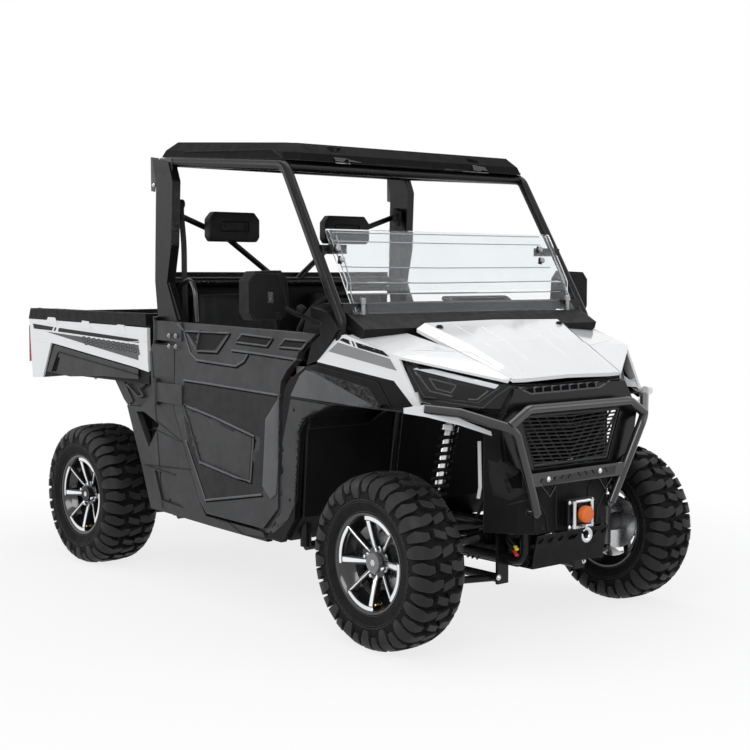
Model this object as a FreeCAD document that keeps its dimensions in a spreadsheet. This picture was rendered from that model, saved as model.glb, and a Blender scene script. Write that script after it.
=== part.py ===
import FreeCAD, Part
import math
import os
import re
import Sketcher

# Utility side by side with a hard roof, half doors and a tipping load bed.
# Lengths are in millimetres: +X is forward, +Y is the left side, +Z is up,
# and the origin lies on the floor under the middle of the whole length.

SIZES = {
    # Layout
    "wheel_base": 2200,
    "wheel_track": 1350,
    "front_reach": 1530,
    "rear_reach": 1737,
    "body_half_width": 740,
    "panel_gap": 8,
    "seat_gap": 0.3,
    "overrun": 12,
    # Wheels and tyres
    "tyre_diameter": 686,
    "front_tyre_width": 229,
    "rear_tyre_width": 279,
    "lug_height": 24,
    "lug_length": 46,
    "lug_count": 16,
    "rim_bead_radius": 178,
    "rim_flange_height": 17,
    "rim_wall": 8,
    "rim_well_depth": 26,
    "front_rim_width": 206,
    "rear_rim_width": 238,
    "rim_disc_thickness": 22,
    "rim_disc_inset": 26,
    "spoke_count": 8,
    "hub_radius": 38,
    "hub_cap_radius": 52,
    # Chassis tubes
    "rail_tube": 42,
    "cross_tube": 36,
    "rail_height": 320,
    "rail_half_width": 320,
    "tail_half_width": 225,
    "nose_half_width": 215,
    "nose_forward": 1385,
    "nose_top": 880,
    "tail_back": 1500,
    "tail_top": 752,
    "tower_top": 930,
    "skid_thickness": 6,
    # Engine
    "engine_length": 470,
    "engine_width": 400,
    "engine_height": 330,
    "engine_back": 590,
    # Floor tub
    "tub_half_width": 712,
    "tub_skin": 8,
    "tub_front": 708,
    "tub_length": 1250,
    "tub_height": 760,
    # Side panels
    "panel_thickness": 28,
    "sill_back": 738,
    "sill_length": 1230,
    "sill_low": 320,
    "sill_height": 790,
    "quarter_back": 376,
    "quarter_length": 364,
    "quarter_low": 320,
    "quarter_height": 770,
    "nose_inset": 76,
    "nose_run": 412,
    "liner_skin": 5,
    "liner_inner": 395,
    # Front fender
    "fender_length": 560,
    "fender_height": 300,
    "fender_low": 903,
    "fender_skin": 12,
    "fender_top_skin": 10,
    # Bonnet
    "hood_back": 985,
    "hood_length": 421,
    "hood_back_top": 1250,
    "hood_front_top": 1046,
    "hood_back_half": 430,
    "hood_front_half": 310,
    "hood_skin": 14,
    "hood_hinge_low": 26,
    # Front face
    "fascia_forward": 1430,
    "fascia_half_width": 300,
    "grille_top": 905,
    "grille_low": 690,
    "grille_top_half": 296,
    "grille_low_half": 216,
    "grille_depth": 20,
    "grille_row_count": 12,
    "lamp_depth": 60,
    # Bumper and winch
    "bumper_tube": 38,
    "bumper_forward": 1484,
    "bumper_plate_height": 52,
    "bumper_plate_low": 628,
    "bumper_plate_thickness": 6,
    "bumper_bolt_spacing": 300,
    "bumper_bolt_hole": 9,
    "winch_width": 220,
    "winch_height": 112,
    "winch_low": 440,
    "winch_drum": 62,
    "fairlead_width": 120,
    "fairlead_height": 120,
    "fairlead_thickness": 8,
    "hook_radius": 30,
    "hook_bar": 11,
    "stopper_radius": 34,
    # Nose cover
    "cover_forward": 1434,
    "cover_half_width": 202,
    "cover_side_forward": 1387,
    "cover_side_half": 260,
    "cover_back": 1266,
    "cover_back_half": 328,
    "cover_wall": 5,
    "cover_low": 434,
    "cover_height": 466,
    "cover_front_height": 231,
    "panel_recess": 7,
    # Dash
    "dash_half_width": 676,
    "dash_back": 560,
    "dash_length": 395,
    "dash_low": 1000,
    "dash_height": 322,
    "wing_back": 560,
    "wing_length": 312,
    "wing_low": 1030,
    "wing_height": 277,
    # Steering
    "steering_wheel_radius": 185,
    "steering_wheel_grip": 15,
    "steering_wheel_tilt": 24,
    "steering_wheel_forward": 330,
    "steering_wheel_up": 1180,
    "driver_side": 340,
    "column_radius": 22,
    # Roll cage
    "cage_tube": 46,
    "cage_half_width": 690,
    "post_thickness": 44,
    "post_back": 522,
    "post_length": 224,
    "post_low": 1110,
    "post_height": 853,
    # Roof
    "roof_length": 1030,
    "roof_half_width": 700,
    "roof_back": 528,
    "roof_low": 1968,
    "roof_rise": 72,
    "roof_skin": 6,
    "roof_pitch": 3.6,
    "roof_inset": 52,
    # Windscreen
    "glass_half_width": 642,
    "glass_thickness": 5,
    "glass_foot_forward": 866,
    "glass_foot_up": 1262,
    "glass_top_forward": 668,
    "glass_top_up": 1614,
    "flap_gap": 18,
    # Seats
    "seat_width": 500,
    "seat_depth": 470,
    "seat_cushion": 110,
    "seat_rear": 420,
    "seat_back_height": 530,
    "seat_back_thickness": 88,
    "seat_back_lean": 8.4,
    "seat_centre": 340,
    "headrest_width": 296,
    "headrest_height": 150,
    "headrest_thickness": 62,
    "headrest_up": 1580,
    "headrest_back": 408,
    "rear_panel_thickness": 14,
    "rear_panel_top": 1441,
    # Mirrors
    "mirror_width": 196,
    "mirror_height": 196,
    "mirror_depth": 62,
    "mirror_forward": 590,
    "mirror_out": 790,
    "mirror_low": 1256,
    # Doors
    "door_thickness": 36,
    "door_recess": 7,
    "door_back": 292,
    "door_length": 1032,
    "door_low": 375,
    "door_height": 842,
    "door_hinge_back": 448,
    "door_hinge_pin": 9,
    "door_hinge_length": 96,
    "door_hinge_up": 1132,
    "door_hinge_down": 850,
    # Suspension
    "kingpin_out": 590,
    "ball_drop": 108,
    "ball_radius": 20,
    "ball_height": 32,
    "knuckle_radius": 22,
    "arm_tube": 30,
    "arm_root_half": 225,
    "arm_spread": 130,
    "shock_radius": 38,
    "shock_rod_radius": 11,
    "shaft_radius": 14,
    "boot_radius": 38,
    "boot_length": 70,
    "steer_arm": 90,
    "steer_arm_thickness": 14,
    "rack_radius": 12,
    "rack_half_length": 180,
    # Load bed
    "bed_back": 1700,
    "bed_length": 1140,
    "bed_floor": 918,
    "bed_floor_skin": 12,
    "bed_wall": 20,
    "bed_side_low": 886,
    "bed_side_height": 305,
    "bed_side_skin": 16,
    "bed_rail_height": 56,
    "bed_rail_width": 50,
    "bed_rail_top": 1247,
    "bed_channel_height": 60,
    "bed_channel_width": 50,
    "bed_channel_out": 225,
    "bed_pivot_back": 1480,
    "bed_pivot_up": 815,
    "bed_pin": 12,
    "tailgate_thickness": 28,
    "tailgate_low": 940,
    "tailgate_pin": 7,
    "tailgate_height": 300,
    "tail_lamp_low": 970,
    "tail_lamp_height": 183,
    "tail_lamp_depth": 30,
    # Dump strut
    "strut_back": 825,
    "strut_up": 371,
    "strut_side": 150,
    "strut_radius": 20,
    "strut_rod_radius": 9,
    "strut_eye": 15,
    "strut_eye_back": 1030,
    "strut_eye_up": 880,
    "strut_pin": 6,
    "strut_ear": 6,
    # Hitch and exhaust
    "receiver_outer": 64,
    "receiver_inner": 51,
    "receiver_length": 180,
    "receiver_height": 420,
    "receiver_pin": 8,
    "muffler_radius": 85,
    "muffler_length": 470,
}

DOC = FreeCAD.newDocument("side_by_side")
SHEET = DOC.addObject("Spreadsheet::Sheet", "Sizes")
NODES = []


def fill_sheet():
    """Write every driving size to the sheet under its own name."""
    for row, (name, amount) in enumerate(SIZES.items(), start=1):
        SHEET.set(f"A{row}", name)
        SHEET.set(f"B{row}", str(amount))
        SHEET.setAlias(f"B{row}", name)
    DOC.recompute()


def linked(formula):
    """The formula with each size's name pointed at the sheet."""
    return re.sub(r"[a-z_]+", lambda word: f"Sizes.{word[0]}" if word[0] in SIZES else word[0], str(formula))


def size(formula):
    """The present value of a formula in named sizes."""
    return float(SHEET.evalExpression(linked(formula)))


def bind(target, path, formula):
    """Drive one property of an object by a formula in named sizes."""
    target.setExpression(path, linked(formula))


CENTRE_SHIFT = "(rear_reach - front_reach) / 2"
FOOT_FRONT = "(tub_front - rail_tube * 3.2)"
FOOT_BACK = "(cage_tube * 2.6 - post_back)"
DECK_FRONT = "(rail_tube - sill_back)"
FRAME_SPLIT = "(-tail_back * 0.4)"
FRONT_AXLE = "wheel_base / 2"
REAR_AXLE = "(-wheel_base / 2)"
AXLE_HEIGHT = "tyre_diameter / 2"
RIM_FLANGE = "(rim_bead_radius + rim_flange_height)"


def outline(shares, start, length, low, height):
    """Points of an outline whose shares run along a length and up a height."""
    return [(f"{start} + {length} * {along}", f"{low} + {height} * {up}") for along, up in shares]


def place(target, forward="0", left="0", up="0", turn_axis=None, turn="0"):
    """Bind an object's placement, shifted so that the origin is under the middle."""
    bind(target, "Placement.Base.x", f"{forward} + {CENTRE_SHIFT}")
    bind(target, "Placement.Base.y", left)
    bind(target, "Placement.Base.z", up)
    if turn_axis:
        target.Placement = FreeCAD.Placement(target.Placement.Base,
                                             FreeCAD.Rotation(FreeCAD.Vector(*turn_axis), 1))
        bind(target, "Placement.Rotation.Angle", turn)


def new_body(label):
    """An empty body with its own origin planes."""
    body = DOC.addObject("PartDesign::Body", label)
    body.Label = label
    return body


def origin_plane(body, role):
    """The body's own origin plane or axis of that role."""
    return next(item for item in body.Origin.OriginFeatures if item.Role == role)


def sketch_on(body, plane, offset="0"):
    """An empty sketch on one of the body's origin planes, moved along its normal."""
    sketch = body.newObject("Sketcher::SketchObject", f"{body.Label}_outline")
    sketch.AttachmentSupport = [(origin_plane(body, f"{plane}_Plane"), "")]
    sketch.MapMode = "FlatFace"
    bind(sketch, "AttachmentOffset.Base.z", offset)
    return sketch


def fix_point(sketch, shape, end, across, up):
    """Hold one end of a line or a centre by two driven dimensions."""
    for kind, formula in (("DistanceX", across), ("DistanceY", up)):
        index = sketch.addConstraint(Sketcher.Constraint(kind, -1, 1, shape, end, size(formula)))
        bind(sketch, f"Constraints[{index}]", formula)


def draw_outline(sketch, points):
    """A closed outline through the points, each held by its dimensions."""
    corners = [FreeCAD.Vector(size(across), size(up), 0) for across, up in points]
    first = sketch.GeometryCount
    for index, corner in enumerate(corners):
        sketch.addGeometry(Part.LineSegment(corner, corners[(index + 1) % len(corners)]), False)
    for index, (across, up) in enumerate(points):
        following = first + (index + 1) % len(points)
        sketch.addConstraint(Sketcher.Constraint("Coincident", first + index, 2, following, 1))
        fix_point(sketch, first + index, 1, across, up)


def draw_circle(sketch, across, up, radius):
    """A circle held by its centre and radius."""
    centre = FreeCAD.Vector(size(across), size(up), 0)
    index = sketch.addGeometry(Part.Circle(centre, FreeCAD.Vector(0, 0, 1), size(radius)), False)
    fix_point(sketch, index, 3, across, up)
    held = sketch.addConstraint(Sketcher.Constraint("Radius", index, size(radius)))
    bind(sketch, f"Constraints[{held}]", radius)


def pad(body, plane, points, depth, offset="0", both=False):
    """Pad an outline by a depth, or by half of it each way."""
    sketch = sketch_on(body, plane, offset)
    draw_outline(sketch, points)
    feature = body.newObject("PartDesign::Pad", f"{body.Label}_pad")
    feature.Profile = sketch
    feature.Midplane = both
    bind(feature, "Length", depth)
    return feature


def pocket(body, plane, points, depth, offset="0", towards_normal=False, both=False):
    """Cut an outline out of the body."""
    sketch = sketch_on(body, plane, offset)
    draw_outline(sketch, points)
    feature = body.newObject("PartDesign::Pocket", f"{body.Label}_pocket")
    feature.Profile = sketch
    feature.Reversed = towards_normal
    feature.Midplane = both
    bind(feature, "Length", depth)
    return feature


def revolve(body, points):
    """Turn a profile of radius and width about the wheel's axis, the body's own Y."""
    sketch = sketch_on(body, "XY")
    draw_outline(sketch, points)
    feature = body.newObject("PartDesign::Revolution", f"{body.Label}_turned")
    feature.Profile = sketch
    feature.ReferenceAxis = (sketch, ["V_Axis"])
    feature.Angle = 360
    return feature


def loft(body, plane, sections):
    """Join outlines on parallel planes by straight faces."""
    sketches = []
    for offset, points in sections:
        sketch = sketch_on(body, plane, offset)
        draw_outline(sketch, points)
        sketches.append(sketch)
    feature = body.newObject("PartDesign::AdditiveLoft", f"{body.Label}_loft")
    feature.Profile = sketches[0]
    feature.Sections = sketches[1:]
    feature.Ruled = True
    return feature


def repeat_round(body, feature, count):
    """Repeat a feature evenly about the wheel's axis."""
    pattern = body.newObject("PartDesign::PolarPattern", f"{body.Label}_round")
    pattern.Originals = [feature]
    pattern.Axis = (origin_plane(body, "Y_Axis"), [""])
    pattern.Angle = 360
    bind(pattern, "Occurrences", count)
    body.Tip = pattern
    return pattern


def keep(label, item):
    """Mark an object as a finished sub-part."""
    item.Label = label
    NODES.append(item)
    return item


def mirror_left(source, label):
    """The left twin of a right piece."""
    twin = DOC.addObject("Part::Mirroring", label)
    twin.Source = source
    twin.Normal = FreeCAD.Vector(0, 1, 0)
    return twin


def fuse(label, pieces):
    """One object of several pieces, joined where they meet."""
    joined = DOC.addObject("Part::MultiFuse", label)
    joined.Shapes = pieces
    return joined


def pair_up(label, source):
    """A piece and its left twin in one sub-part."""
    DOC.recompute()
    return keep(label, fuse(label, [source, mirror_left(source, f"{label}_left")]))


def carve(label, piece, tools):
    """A piece with room cut for what passes through it."""
    for tool in tools:
        cut = DOC.addObject("Part::Cut", f"{label}_room")
        cut.Base = piece
        cut.Tool = tool
        piece = cut
    return piece


def box(label, lengths, corner):
    """A box by its three lengths and its lowest corner."""
    block = DOC.addObject("Part::Box", label)
    for side, formula in zip(("Length", "Width", "Height"), lengths):
        bind(block, side, formula)
    place(block, *corner)
    return block


def cylinder(label, radius, height, centre, turn_axis=None, turn="0"):
    """A cylinder by its radius, its height and the middle of its foot."""
    rod = DOC.addObject("Part::Cylinder", label)
    bind(rod, "Radius", radius)
    bind(rod, "Height", height)
    place(rod, *centre, turn_axis=turn_axis, turn=turn)
    return rod


def rounded_path(points, bend):
    """Straight runs joined by tangent arcs of one bend radius."""
    edges = []
    start = points[0]
    for before, corner, after in zip(points, points[1:], points[2:]):
        back = (before - corner).normalize()
        ahead = (after - corner).normalize()
        half = back.getAngle(ahead) / 2
        reach = bend / math.tan(half)
        enter = corner + back * reach
        leave = corner + ahead * reach
        inward = (back + ahead).normalize()
        middle = corner + inward * (bend / math.sin(half) - bend)
        edges.append(Part.LineSegment(start, enter).toShape())
        edges.append(Part.Arc(enter, middle, leave).toShape())
        start = leave
    edges.append(Part.LineSegment(start, points[-1]).toShape())
    return Part.Wire(edges)


def tube(points, diameter, bend):
    """A bent round tube along the points."""
    path = rounded_path(points, bend)
    ring = Part.Circle(points[0], points[1] - points[0], diameter / 2).toShape()
    return path.makePipeShell([Part.Wire([ring])], True, False)


def both_sides(points):
    """The same path on the right and on the left."""
    return [points, [FreeCAD.Vector(point.x, -point.y, point.z) for point in points]]


def spot(forward, left, up):
    """A point by three formulas in named sizes."""
    return FreeCAD.Vector(size(forward), size(left), size(up))


def tube_frame(label, paths, diameter, bend_share=2.2):
    """A welded frame of bent tubes, as one solid."""
    width = size(diameter)
    tubes = [tube(path, width, width * bend_share) for path in paths]
    return shaped(label, tubes[0].multiFuse(tubes[1:]))


def shaped(label, shape):
    """A feature that holds a computed shape, shifted as the rest."""
    item = DOC.addObject("Part::Feature", label)
    item.Shape = shape
    place(item)
    return item


# Profiles

def make_tyre(label, width, rim_width, axle):
    """A mud tyre: a turned carcass with a row of shoulder lugs each side and a broken centre row."""
    body = new_body(label)
    inner = "(rim_bead_radius + seat_gap)"
    crown = "(tyre_diameter / 2)"
    half = f"({width} / 2)"
    bead = f"({rim_width} / 2 - rim_wall - seat_gap)"
    height = f"({crown} - {inner})"
    carcass = f"({crown} - lug_height)"
    side = [(inner, f"-{bead} * 0.9"), (f"{inner} + rim_flange_height * 0.2", f"-{bead}"),
            (f"{inner} + rim_flange_height + rim_wall", f"-{bead}"),
            (f"{inner} + {height} * 0.28", f"-{half}"), (f"{inner} + {height} * 0.55", f"-{half}"),
            (f"{carcass} - lug_height * 0.6", f"-{half} * 0.9"), (carcass, f"-{half} * 0.68")]
    profile = side + [(radius, across.replace("-", "", 1)) for radius, across in reversed(side)]
    revolve(body, profile)
    root = f"({carcass} - lug_height * 0.5)"
    shoulder = [(crown, f"-{half} * 0.30"), (crown, f"-{half} * 0.84"),
                (f"{crown} - lug_height * 0.5", f"-{half} * 0.97"),
                (f"{inner} + {height} * 0.62", f"-{half}"), (f"{inner} + {height} * 0.62", f"-{half} * 0.9"),
                (root, f"-{half} * 0.6"), (root, f"-{half} * 0.30")]
    for sign, turn in ((1, "0"), (-1, "180 / lug_count")):
        points = [(radius, across if sign > 0 else across.replace("-", "", 1)) for radius, across in shoulder]
        lug = pad(body, "XY", points, "lug_length", both=True)
        sketch = lug.Profile[0]
        sketch.AttachmentOffset = FreeCAD.Placement(FreeCAD.Vector(),
                                                    FreeCAD.Rotation(FreeCAD.Vector(0, 1, 0), 1))
        bind(sketch, "AttachmentOffset.Rotation.Angle", f"{turn} + 0")
        repeat_round(body, lug, "lug_count")
    place(body, axle, "-wheel_track / 2", AXLE_HEIGHT)
    return body


def make_rim(label, rim_width, axle):
    """A cast wheel: drop-centre barrel, spoked disc near the outer lip and a hub bore."""
    body = new_body(label)
    half = f"({rim_width} / 2)"
    well = "(rim_bead_radius - rim_well_depth)"
    front = f"(-{half} + rim_disc_inset)"
    back = f"(-{half} + rim_disc_inset + rim_disc_thickness)"
    bore = "(hub_radius + seat_gap)"
    revolve(body, [
        (RIM_FLANGE, f"-{half}"), (RIM_FLANGE, f"-{half} + rim_wall"),
        ("rim_bead_radius", f"-{half} + rim_wall"), ("rim_bead_radius", f"-{half} * 0.6"),
        (well, f"-{half} * 0.4"), (well, f"{half} * 0.5"),
        ("rim_bead_radius", f"{half} * 0.75"), ("rim_bead_radius", f"{half} - rim_wall"),
        (RIM_FLANGE, f"{half} - rim_wall"), (RIM_FLANGE, half),
        ("rim_bead_radius - rim_wall", half), ("rim_bead_radius - rim_wall", f"{half} * 0.7"),
        (f"{well} - rim_wall", f"{half} * 0.46"), (f"{well} - rim_wall", back),
        (bore, back), (bore, front),
        (f"{well} - rim_wall", front), ("rim_bead_radius - rim_wall", f"-{half} * 0.8"),
        ("rim_bead_radius - rim_wall", f"-{half}")])
    inner = "hub_cap_radius + rim_wall"
    outer = f"{well} - rim_wall * 1.4"
    window = [(inner, "-rim_wall"), (outer, f"-({outer}) * 0.30"), (outer, f"({outer}) * 0.24"),
              (inner, "rim_wall * 1.6")]
    cut = pocket(body, "XZ", window, "rim_disc_thickness + overrun * 2", offset=f"-{back} - overrun",
                 towards_normal=True)
    repeat_round(body, cut, "spoke_count")
    place(body, axle, "-wheel_track / 2", AXLE_HEIGHT)
    return body


def make_wheels():
    """Four rims and four tyres, the left ones as twins of the right."""
    for end, width, rim_width, axle in (("front", "front_tyre_width", "front_rim_width", FRONT_AXLE),
                                        ("rear", "rear_tyre_width", "rear_rim_width", REAR_AXLE)):
        rim = keep(f"rim_{end}_right", make_rim(f"rim_{end}_right", rim_width, axle))
        tyre = keep(f"tyre_{end}_right", make_tyre(f"tyre_{end}_right", width, rim_width, axle))
        keep(f"rim_{end}_left", mirror_left(rim, f"rim_{end}_left"))
        keep(f"tyre_{end}_left", mirror_left(tyre, f"tyre_{end}_left"))


def make_chassis():
    """The lower ladder, the nose hoop, the shock towers and the outriggers."""
    low = "rail_height"
    rail = [spot("nose_forward", "-nose_half_width", "nose_top"),
            spot("nose_forward", "-nose_half_width", low),
            spot(f"{FRONT_AXLE} - ball_drop", "-nose_half_width", low),
            spot(f"{FRONT_AXLE} - tyre_diameter * 0.6", "-rail_half_width", low),
            spot(FRAME_SPLIT, "-rail_half_width", low)]
    top = [spot("nose_forward", "-nose_half_width", "nose_top - rail_tube"),
           spot(f"{FRONT_AXLE} - ball_drop", "-rail_half_width", "tower_top"),
           spot("tub_front + rail_tube", "-rail_half_width", "tower_top")]
    leg = [spot("tub_front + rail_tube", "-rail_half_width", "tower_top"),
           spot("tub_front + rail_tube", "-rail_half_width", "tower_top - rail_tube"),
           spot("tub_front - rail_tube", "-rail_half_width", low)]
    crosses = [("nose_forward", low, "nose_half_width"),
               ("nose_forward", "nose_top - rail_tube", "nose_half_width"),
               (FOOT_FRONT, low, "tub_half_width - rail_tube"), ("0", low, "rail_half_width"),
               (FOOT_BACK, low, "tub_half_width - rail_tube")]
    return weld_tubes("frame_tubes", (rail, top, leg), crosses)


def make_tail():
    """The narrowing rear rails and the hoop and deck that carry the bed."""
    low = "rail_height"
    out = "-tail_half_width"
    rail = [spot(FRAME_SPLIT, "-rail_half_width", low),
            spot("-tail_back * 0.45", "-rail_half_width", low),
            spot("-tail_back * 0.6", out, low),
            spot("-tail_back", out, f"{low} + rail_tube * 2"),
            spot("-tail_back", out, "tail_top")]
    deck = [spot("-tail_back", out, "tail_top - rail_tube"),
            spot(DECK_FRONT, out, "tail_top - rail_tube"),
            spot(DECK_FRONT, out, low)]
    crosses = [(DECK_FRONT, low, "rail_half_width"), ("-strut_back", low, "rail_half_width * 0.8"),
               ("-tail_back", "tail_top - rail_tube", "tail_half_width"),
               (DECK_FRONT, "tail_top - rail_tube", "tail_half_width")]
    return weld_tubes("tail_tubes", (rail, deck), crosses)


def weld_tubes(label, runs, crosses):
    """Bent rails on both sides, joined by thinner cross tubes."""
    width = size("rail_tube")
    paths = []
    for run in runs:
        paths += both_sides(run)
    tubes = [tube(path, width, width * 1.2) for path in paths]
    for forward, up, half in crosses:
        ends = [spot(forward, f"-({half})", up), spot(forward, half, up)]
        tubes.append(tube(ends, size("cross_tube"), width))
    return shaped(label, tubes[0].multiFuse(tubes[1:]))


def make_bed_rests():
    """Two short posts under the front of the bed, a little below its channels."""
    high = "bed_floor - bed_channel_height - panel_gap * 0.75"
    foot = "tail_top - rail_tube"
    posts = []
    for side in ("-1", "1"):
        posts.append(box("bed_rest", ("rail_tube * 0.8", "rail_tube * 0.8", f"{high} - ({foot})"),
                         (f"{DECK_FRONT} - rail_tube", f"{side} * tail_half_width - rail_tube * 0.4", foot)))
    return posts


def make_rack_housing():
    """The sleeve that the steering rack slides in, and its foot on the belly plate."""
    forward = f"{FRONT_AXLE} - steer_arm - knuckle_radius * 0.5"
    up = f"{AXLE_HEIGHT} + rack_radius + overrun / 2"
    half = "rack_half_length"
    sleeve = cylinder("rack_sleeve", "rack_radius * 1.6", f"{half} * 2", (forward, f"-{half}", up),
                      (-1, 0, 0), "90")
    foot = box("rack_foot",
               ("rack_radius * 2", "nose_half_width * 2", f"{up} - rail_height + rail_tube * 0.4"),
               (f"{forward} - rack_radius", "-nose_half_width", "rail_height - rail_tube * 0.4"))
    bore = cylinder("rack_bore", "rack_radius + seat_gap", "(nose_half_width + overrun) * 2",
                    (forward, "-(nose_half_width + overrun)", up), (-1, 0, 0), "90")
    return carve("rack_housing", fuse("rack_whole", [sleeve, foot]), [bore])


def make_strut_ears(face, low, high, back):
    """Two ear plates that take a strut's eye between them."""
    ears = []
    for side in (f"strut_side - ({face}) - strut_ear", f"strut_side + {face}"):
        ears.append(box("strut_ear_plate", ("strut_eye * 2", "strut_ear", f"{high} - ({low})"),
                        (f"-({back}) - strut_eye", f"-({side}) - strut_ear", low)))
    return ears


def make_skid(arms):
    """The belly plate and the slanted bash plate under the winch."""
    body = new_body("skid_sheet")
    half = "rail_half_width + rail_tube / 2"
    top = "rail_height - rail_tube / 2"
    tail = "tail_half_width + rail_tube / 2"
    plan = [("-tail_back * 0.6", f"-({tail})"), ("-tail_back * 0.45", f"-({half})"),
            ("tub_front - rail_tube", f"-({half})"),
            (f"{FRONT_AXLE} - ball_drop", "-nose_half_width"),
            ("nose_forward - rail_tube", "-nose_half_width"),
            ("nose_forward - rail_tube", "nose_half_width"), (f"{FRONT_AXLE} - ball_drop", "nose_half_width"),
            ("tub_front - rail_tube", half), ("-tail_back * 0.45", half), ("-tail_back * 0.6", tail)]
    pad(body, "XY", plan, "skid_thickness", offset=f"{top} - skid_thickness")
    bash = [("nose_forward - rail_tube * 1.2", f"{top} - skid_thickness"),
            ("nose_forward + rail_tube * 0.75", f"{top} - skid_thickness"),
            ("nose_forward + rail_tube * 1.1", "winch_low - rail_tube * 1.6"),
            ("nose_forward + rail_tube * 1.5", "winch_low - overrun"),
            ("nose_forward + rail_tube * 1.5 - skid_thickness", "winch_low - overrun"),
            ("nose_forward + rail_tube * 1.1 - skid_thickness", "winch_low - rail_tube * 1.6"),
            ("nose_forward + rail_tube * 0.75 - skid_thickness", top),
            ("nose_forward - rail_tube * 1.2", top)]
    pad(body, "XZ", bash, "nose_half_width * 1.9", both=True)
    place(body)
    DOC.recompute()
    return keep("skid_plate", carve("skid_plate", body, [arms]))


def make_engine():
    """The engine and gearbox as one block on the cross tubes."""
    foot = "rail_height + rail_tube / 2"
    return keep("engine_block", box("engine_block", ("engine_length", "engine_width", "engine_height"),
                                    ("-engine_back", "-engine_width / 2", foot)))


TUB_FRONT_SHARES = [(-0.045, 0.90), (-0.08, 0.14), (-0.15, 0.00)]
TUB_BACK_SHARES = [(-0.530, 0.00), (-0.560, 0.485), (-1.00, 0.485)]


def make_tub(chassis, cage, dash):
    """The footwell floor, the toe board and the riser and deck under the seats, as one bent sheet."""
    low = "rail_height + rail_tube / 2"
    upper = outline(TUB_FRONT_SHARES + TUB_BACK_SHARES, "tub_front", "tub_length", f"{low} + tub_skin",
                    "tub_height")
    under_back = outline(list(reversed(TUB_BACK_SHARES)), "tub_front - tub_skin", "tub_length", low,
                         "tub_height")
    under_front = outline(list(reversed(TUB_FRONT_SHARES)), "tub_front + tub_skin", "tub_length", low,
                          "tub_height")
    body = new_body("floor_sheet")
    pad(body, "XZ", upper + under_back + under_front, "tub_half_width * 2", both=True)
    place(body)
    DOC.recompute()
    return keep("floor_tub", carve("floor_tub", body, [chassis, cage, dash]))


SILL_SHARES = [(0.00, 0.62), (0.10, 0.62), (0.185, 0.685), (0.171, 0.95), (0.19, 1.00), (0.343, 1.00),
               (0.338, 0.628),
               (0.502, 0.142), (0.548, 0.060), (0.895, 0.048), (0.925, 0.000), (0.60, 0.010), (0.172, 0.030),
               (0.102, 0.290)]
SILL_HOLE_SHARES = [(0.070, 0.590), (0.160, 0.388), (0.235, 0.535), (0.125, 0.595)]
SILL_RECESS_SHARES = [(0.202, 0.261), (0.343, 0.249), (0.389, 0.080), (0.251, 0.092)]


def make_side_panels(hinges):
    """The sill with the quarter panel behind the door, as a hollow-backed moulding."""
    body = new_body("side_panel_right")
    points = outline(SILL_SHARES, "-sill_back", "sill_length", "sill_low", "sill_height")
    pad(body, "XZ", points, "panel_thickness", offset="body_half_width - panel_thickness")
    hole = outline(SILL_HOLE_SHARES, "-sill_back", "sill_length", "sill_low", "sill_height")
    pocket(body, "XZ", hole, "panel_thickness + overrun * 2", offset="body_half_width + overrun")
    recess = outline(SILL_RECESS_SHARES, "-sill_back", "sill_length", "sill_low", "sill_height")
    pocket(body, "XZ", recess, "panel_recess + overrun", offset="body_half_width + overrun")
    place(body)
    pair_up("side_panels", fuse("panel_and_hinges", [body] + hinges))


QUARTER_SHARES = [(0.045, 0.020), (0.330, 0.015), (0.577, 0.152), (0.673, 0.635), (0.783, 0.703),
                  (1.00, 0.743),
                  (1.00, 0.990), (0.783, 0.970), (0.500, 0.895), (0.405, 0.845), (0.358, 0.762),
                  (0.338, 0.195)]
NOSE_SIDE_SHARES = [(0.00, 0.743), (0.20, 0.786), (1.17, 0.786)]
FENDER_LOW_SHARES = [(0.93, 0.02), (0.70, 0.44), (0.00, 0.625)]
LINER_SHARES = [(0.760, 0.640), (0.783, 0.703), (1.228, 0.786), (2.40, 0.786)]


def make_quarters(cage):
    """The dark panel between door and wheel, its forward wing and the liner inside the arch."""
    body = new_body("quarter_flat")
    points = outline(QUARTER_SHARES, "quarter_back", "quarter_length", "quarter_low", "quarter_height")
    pad(body, "XZ", points, "panel_thickness", offset="body_half_width - panel_thickness")
    place(body)
    wing = new_body("quarter_wing")
    points = outline(NOSE_SIDE_SHARES, "0", "nose_run", "quarter_low", "quarter_height")
    points += outline(FENDER_LOW_SHARES, "0", "fender_length", "fender_low", "fender_height")
    pad(wing, "XZ", points, "panel_thickness", offset="-panel_thickness")
    place(wing, "quarter_back + quarter_length", "-body_half_width", "0", (0, 0, 1),
          "atan(nose_inset / nose_run)")
    liner = new_body("arch_liner")
    outer = outline(LINER_SHARES, "quarter_back", "quarter_length", "quarter_low", "quarter_height")
    inner = outline(list(reversed(LINER_SHARES)), "quarter_back - liner_skin", "quarter_length",
                    "quarter_low + liner_skin", "quarter_height")
    depth = "body_half_width - panel_thickness - liner_inner"
    pad(liner, "XZ", outer + inner, depth, offset="liner_inner")
    place(liner)
    joined = fuse("quarter_right", [body, wing])
    whole = fuse("quarter_and_liner", [joined, liner])
    DOC.recompute()
    return pair_up("front_quarters", carve("quarter_cleared", whole, [cage]))


FENDER_SHARES = [(0.14, 0.96), (0.26, 1.00), (0.735, 0.755), (0.775, 0.60), (0.93, 0.10)]


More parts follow.
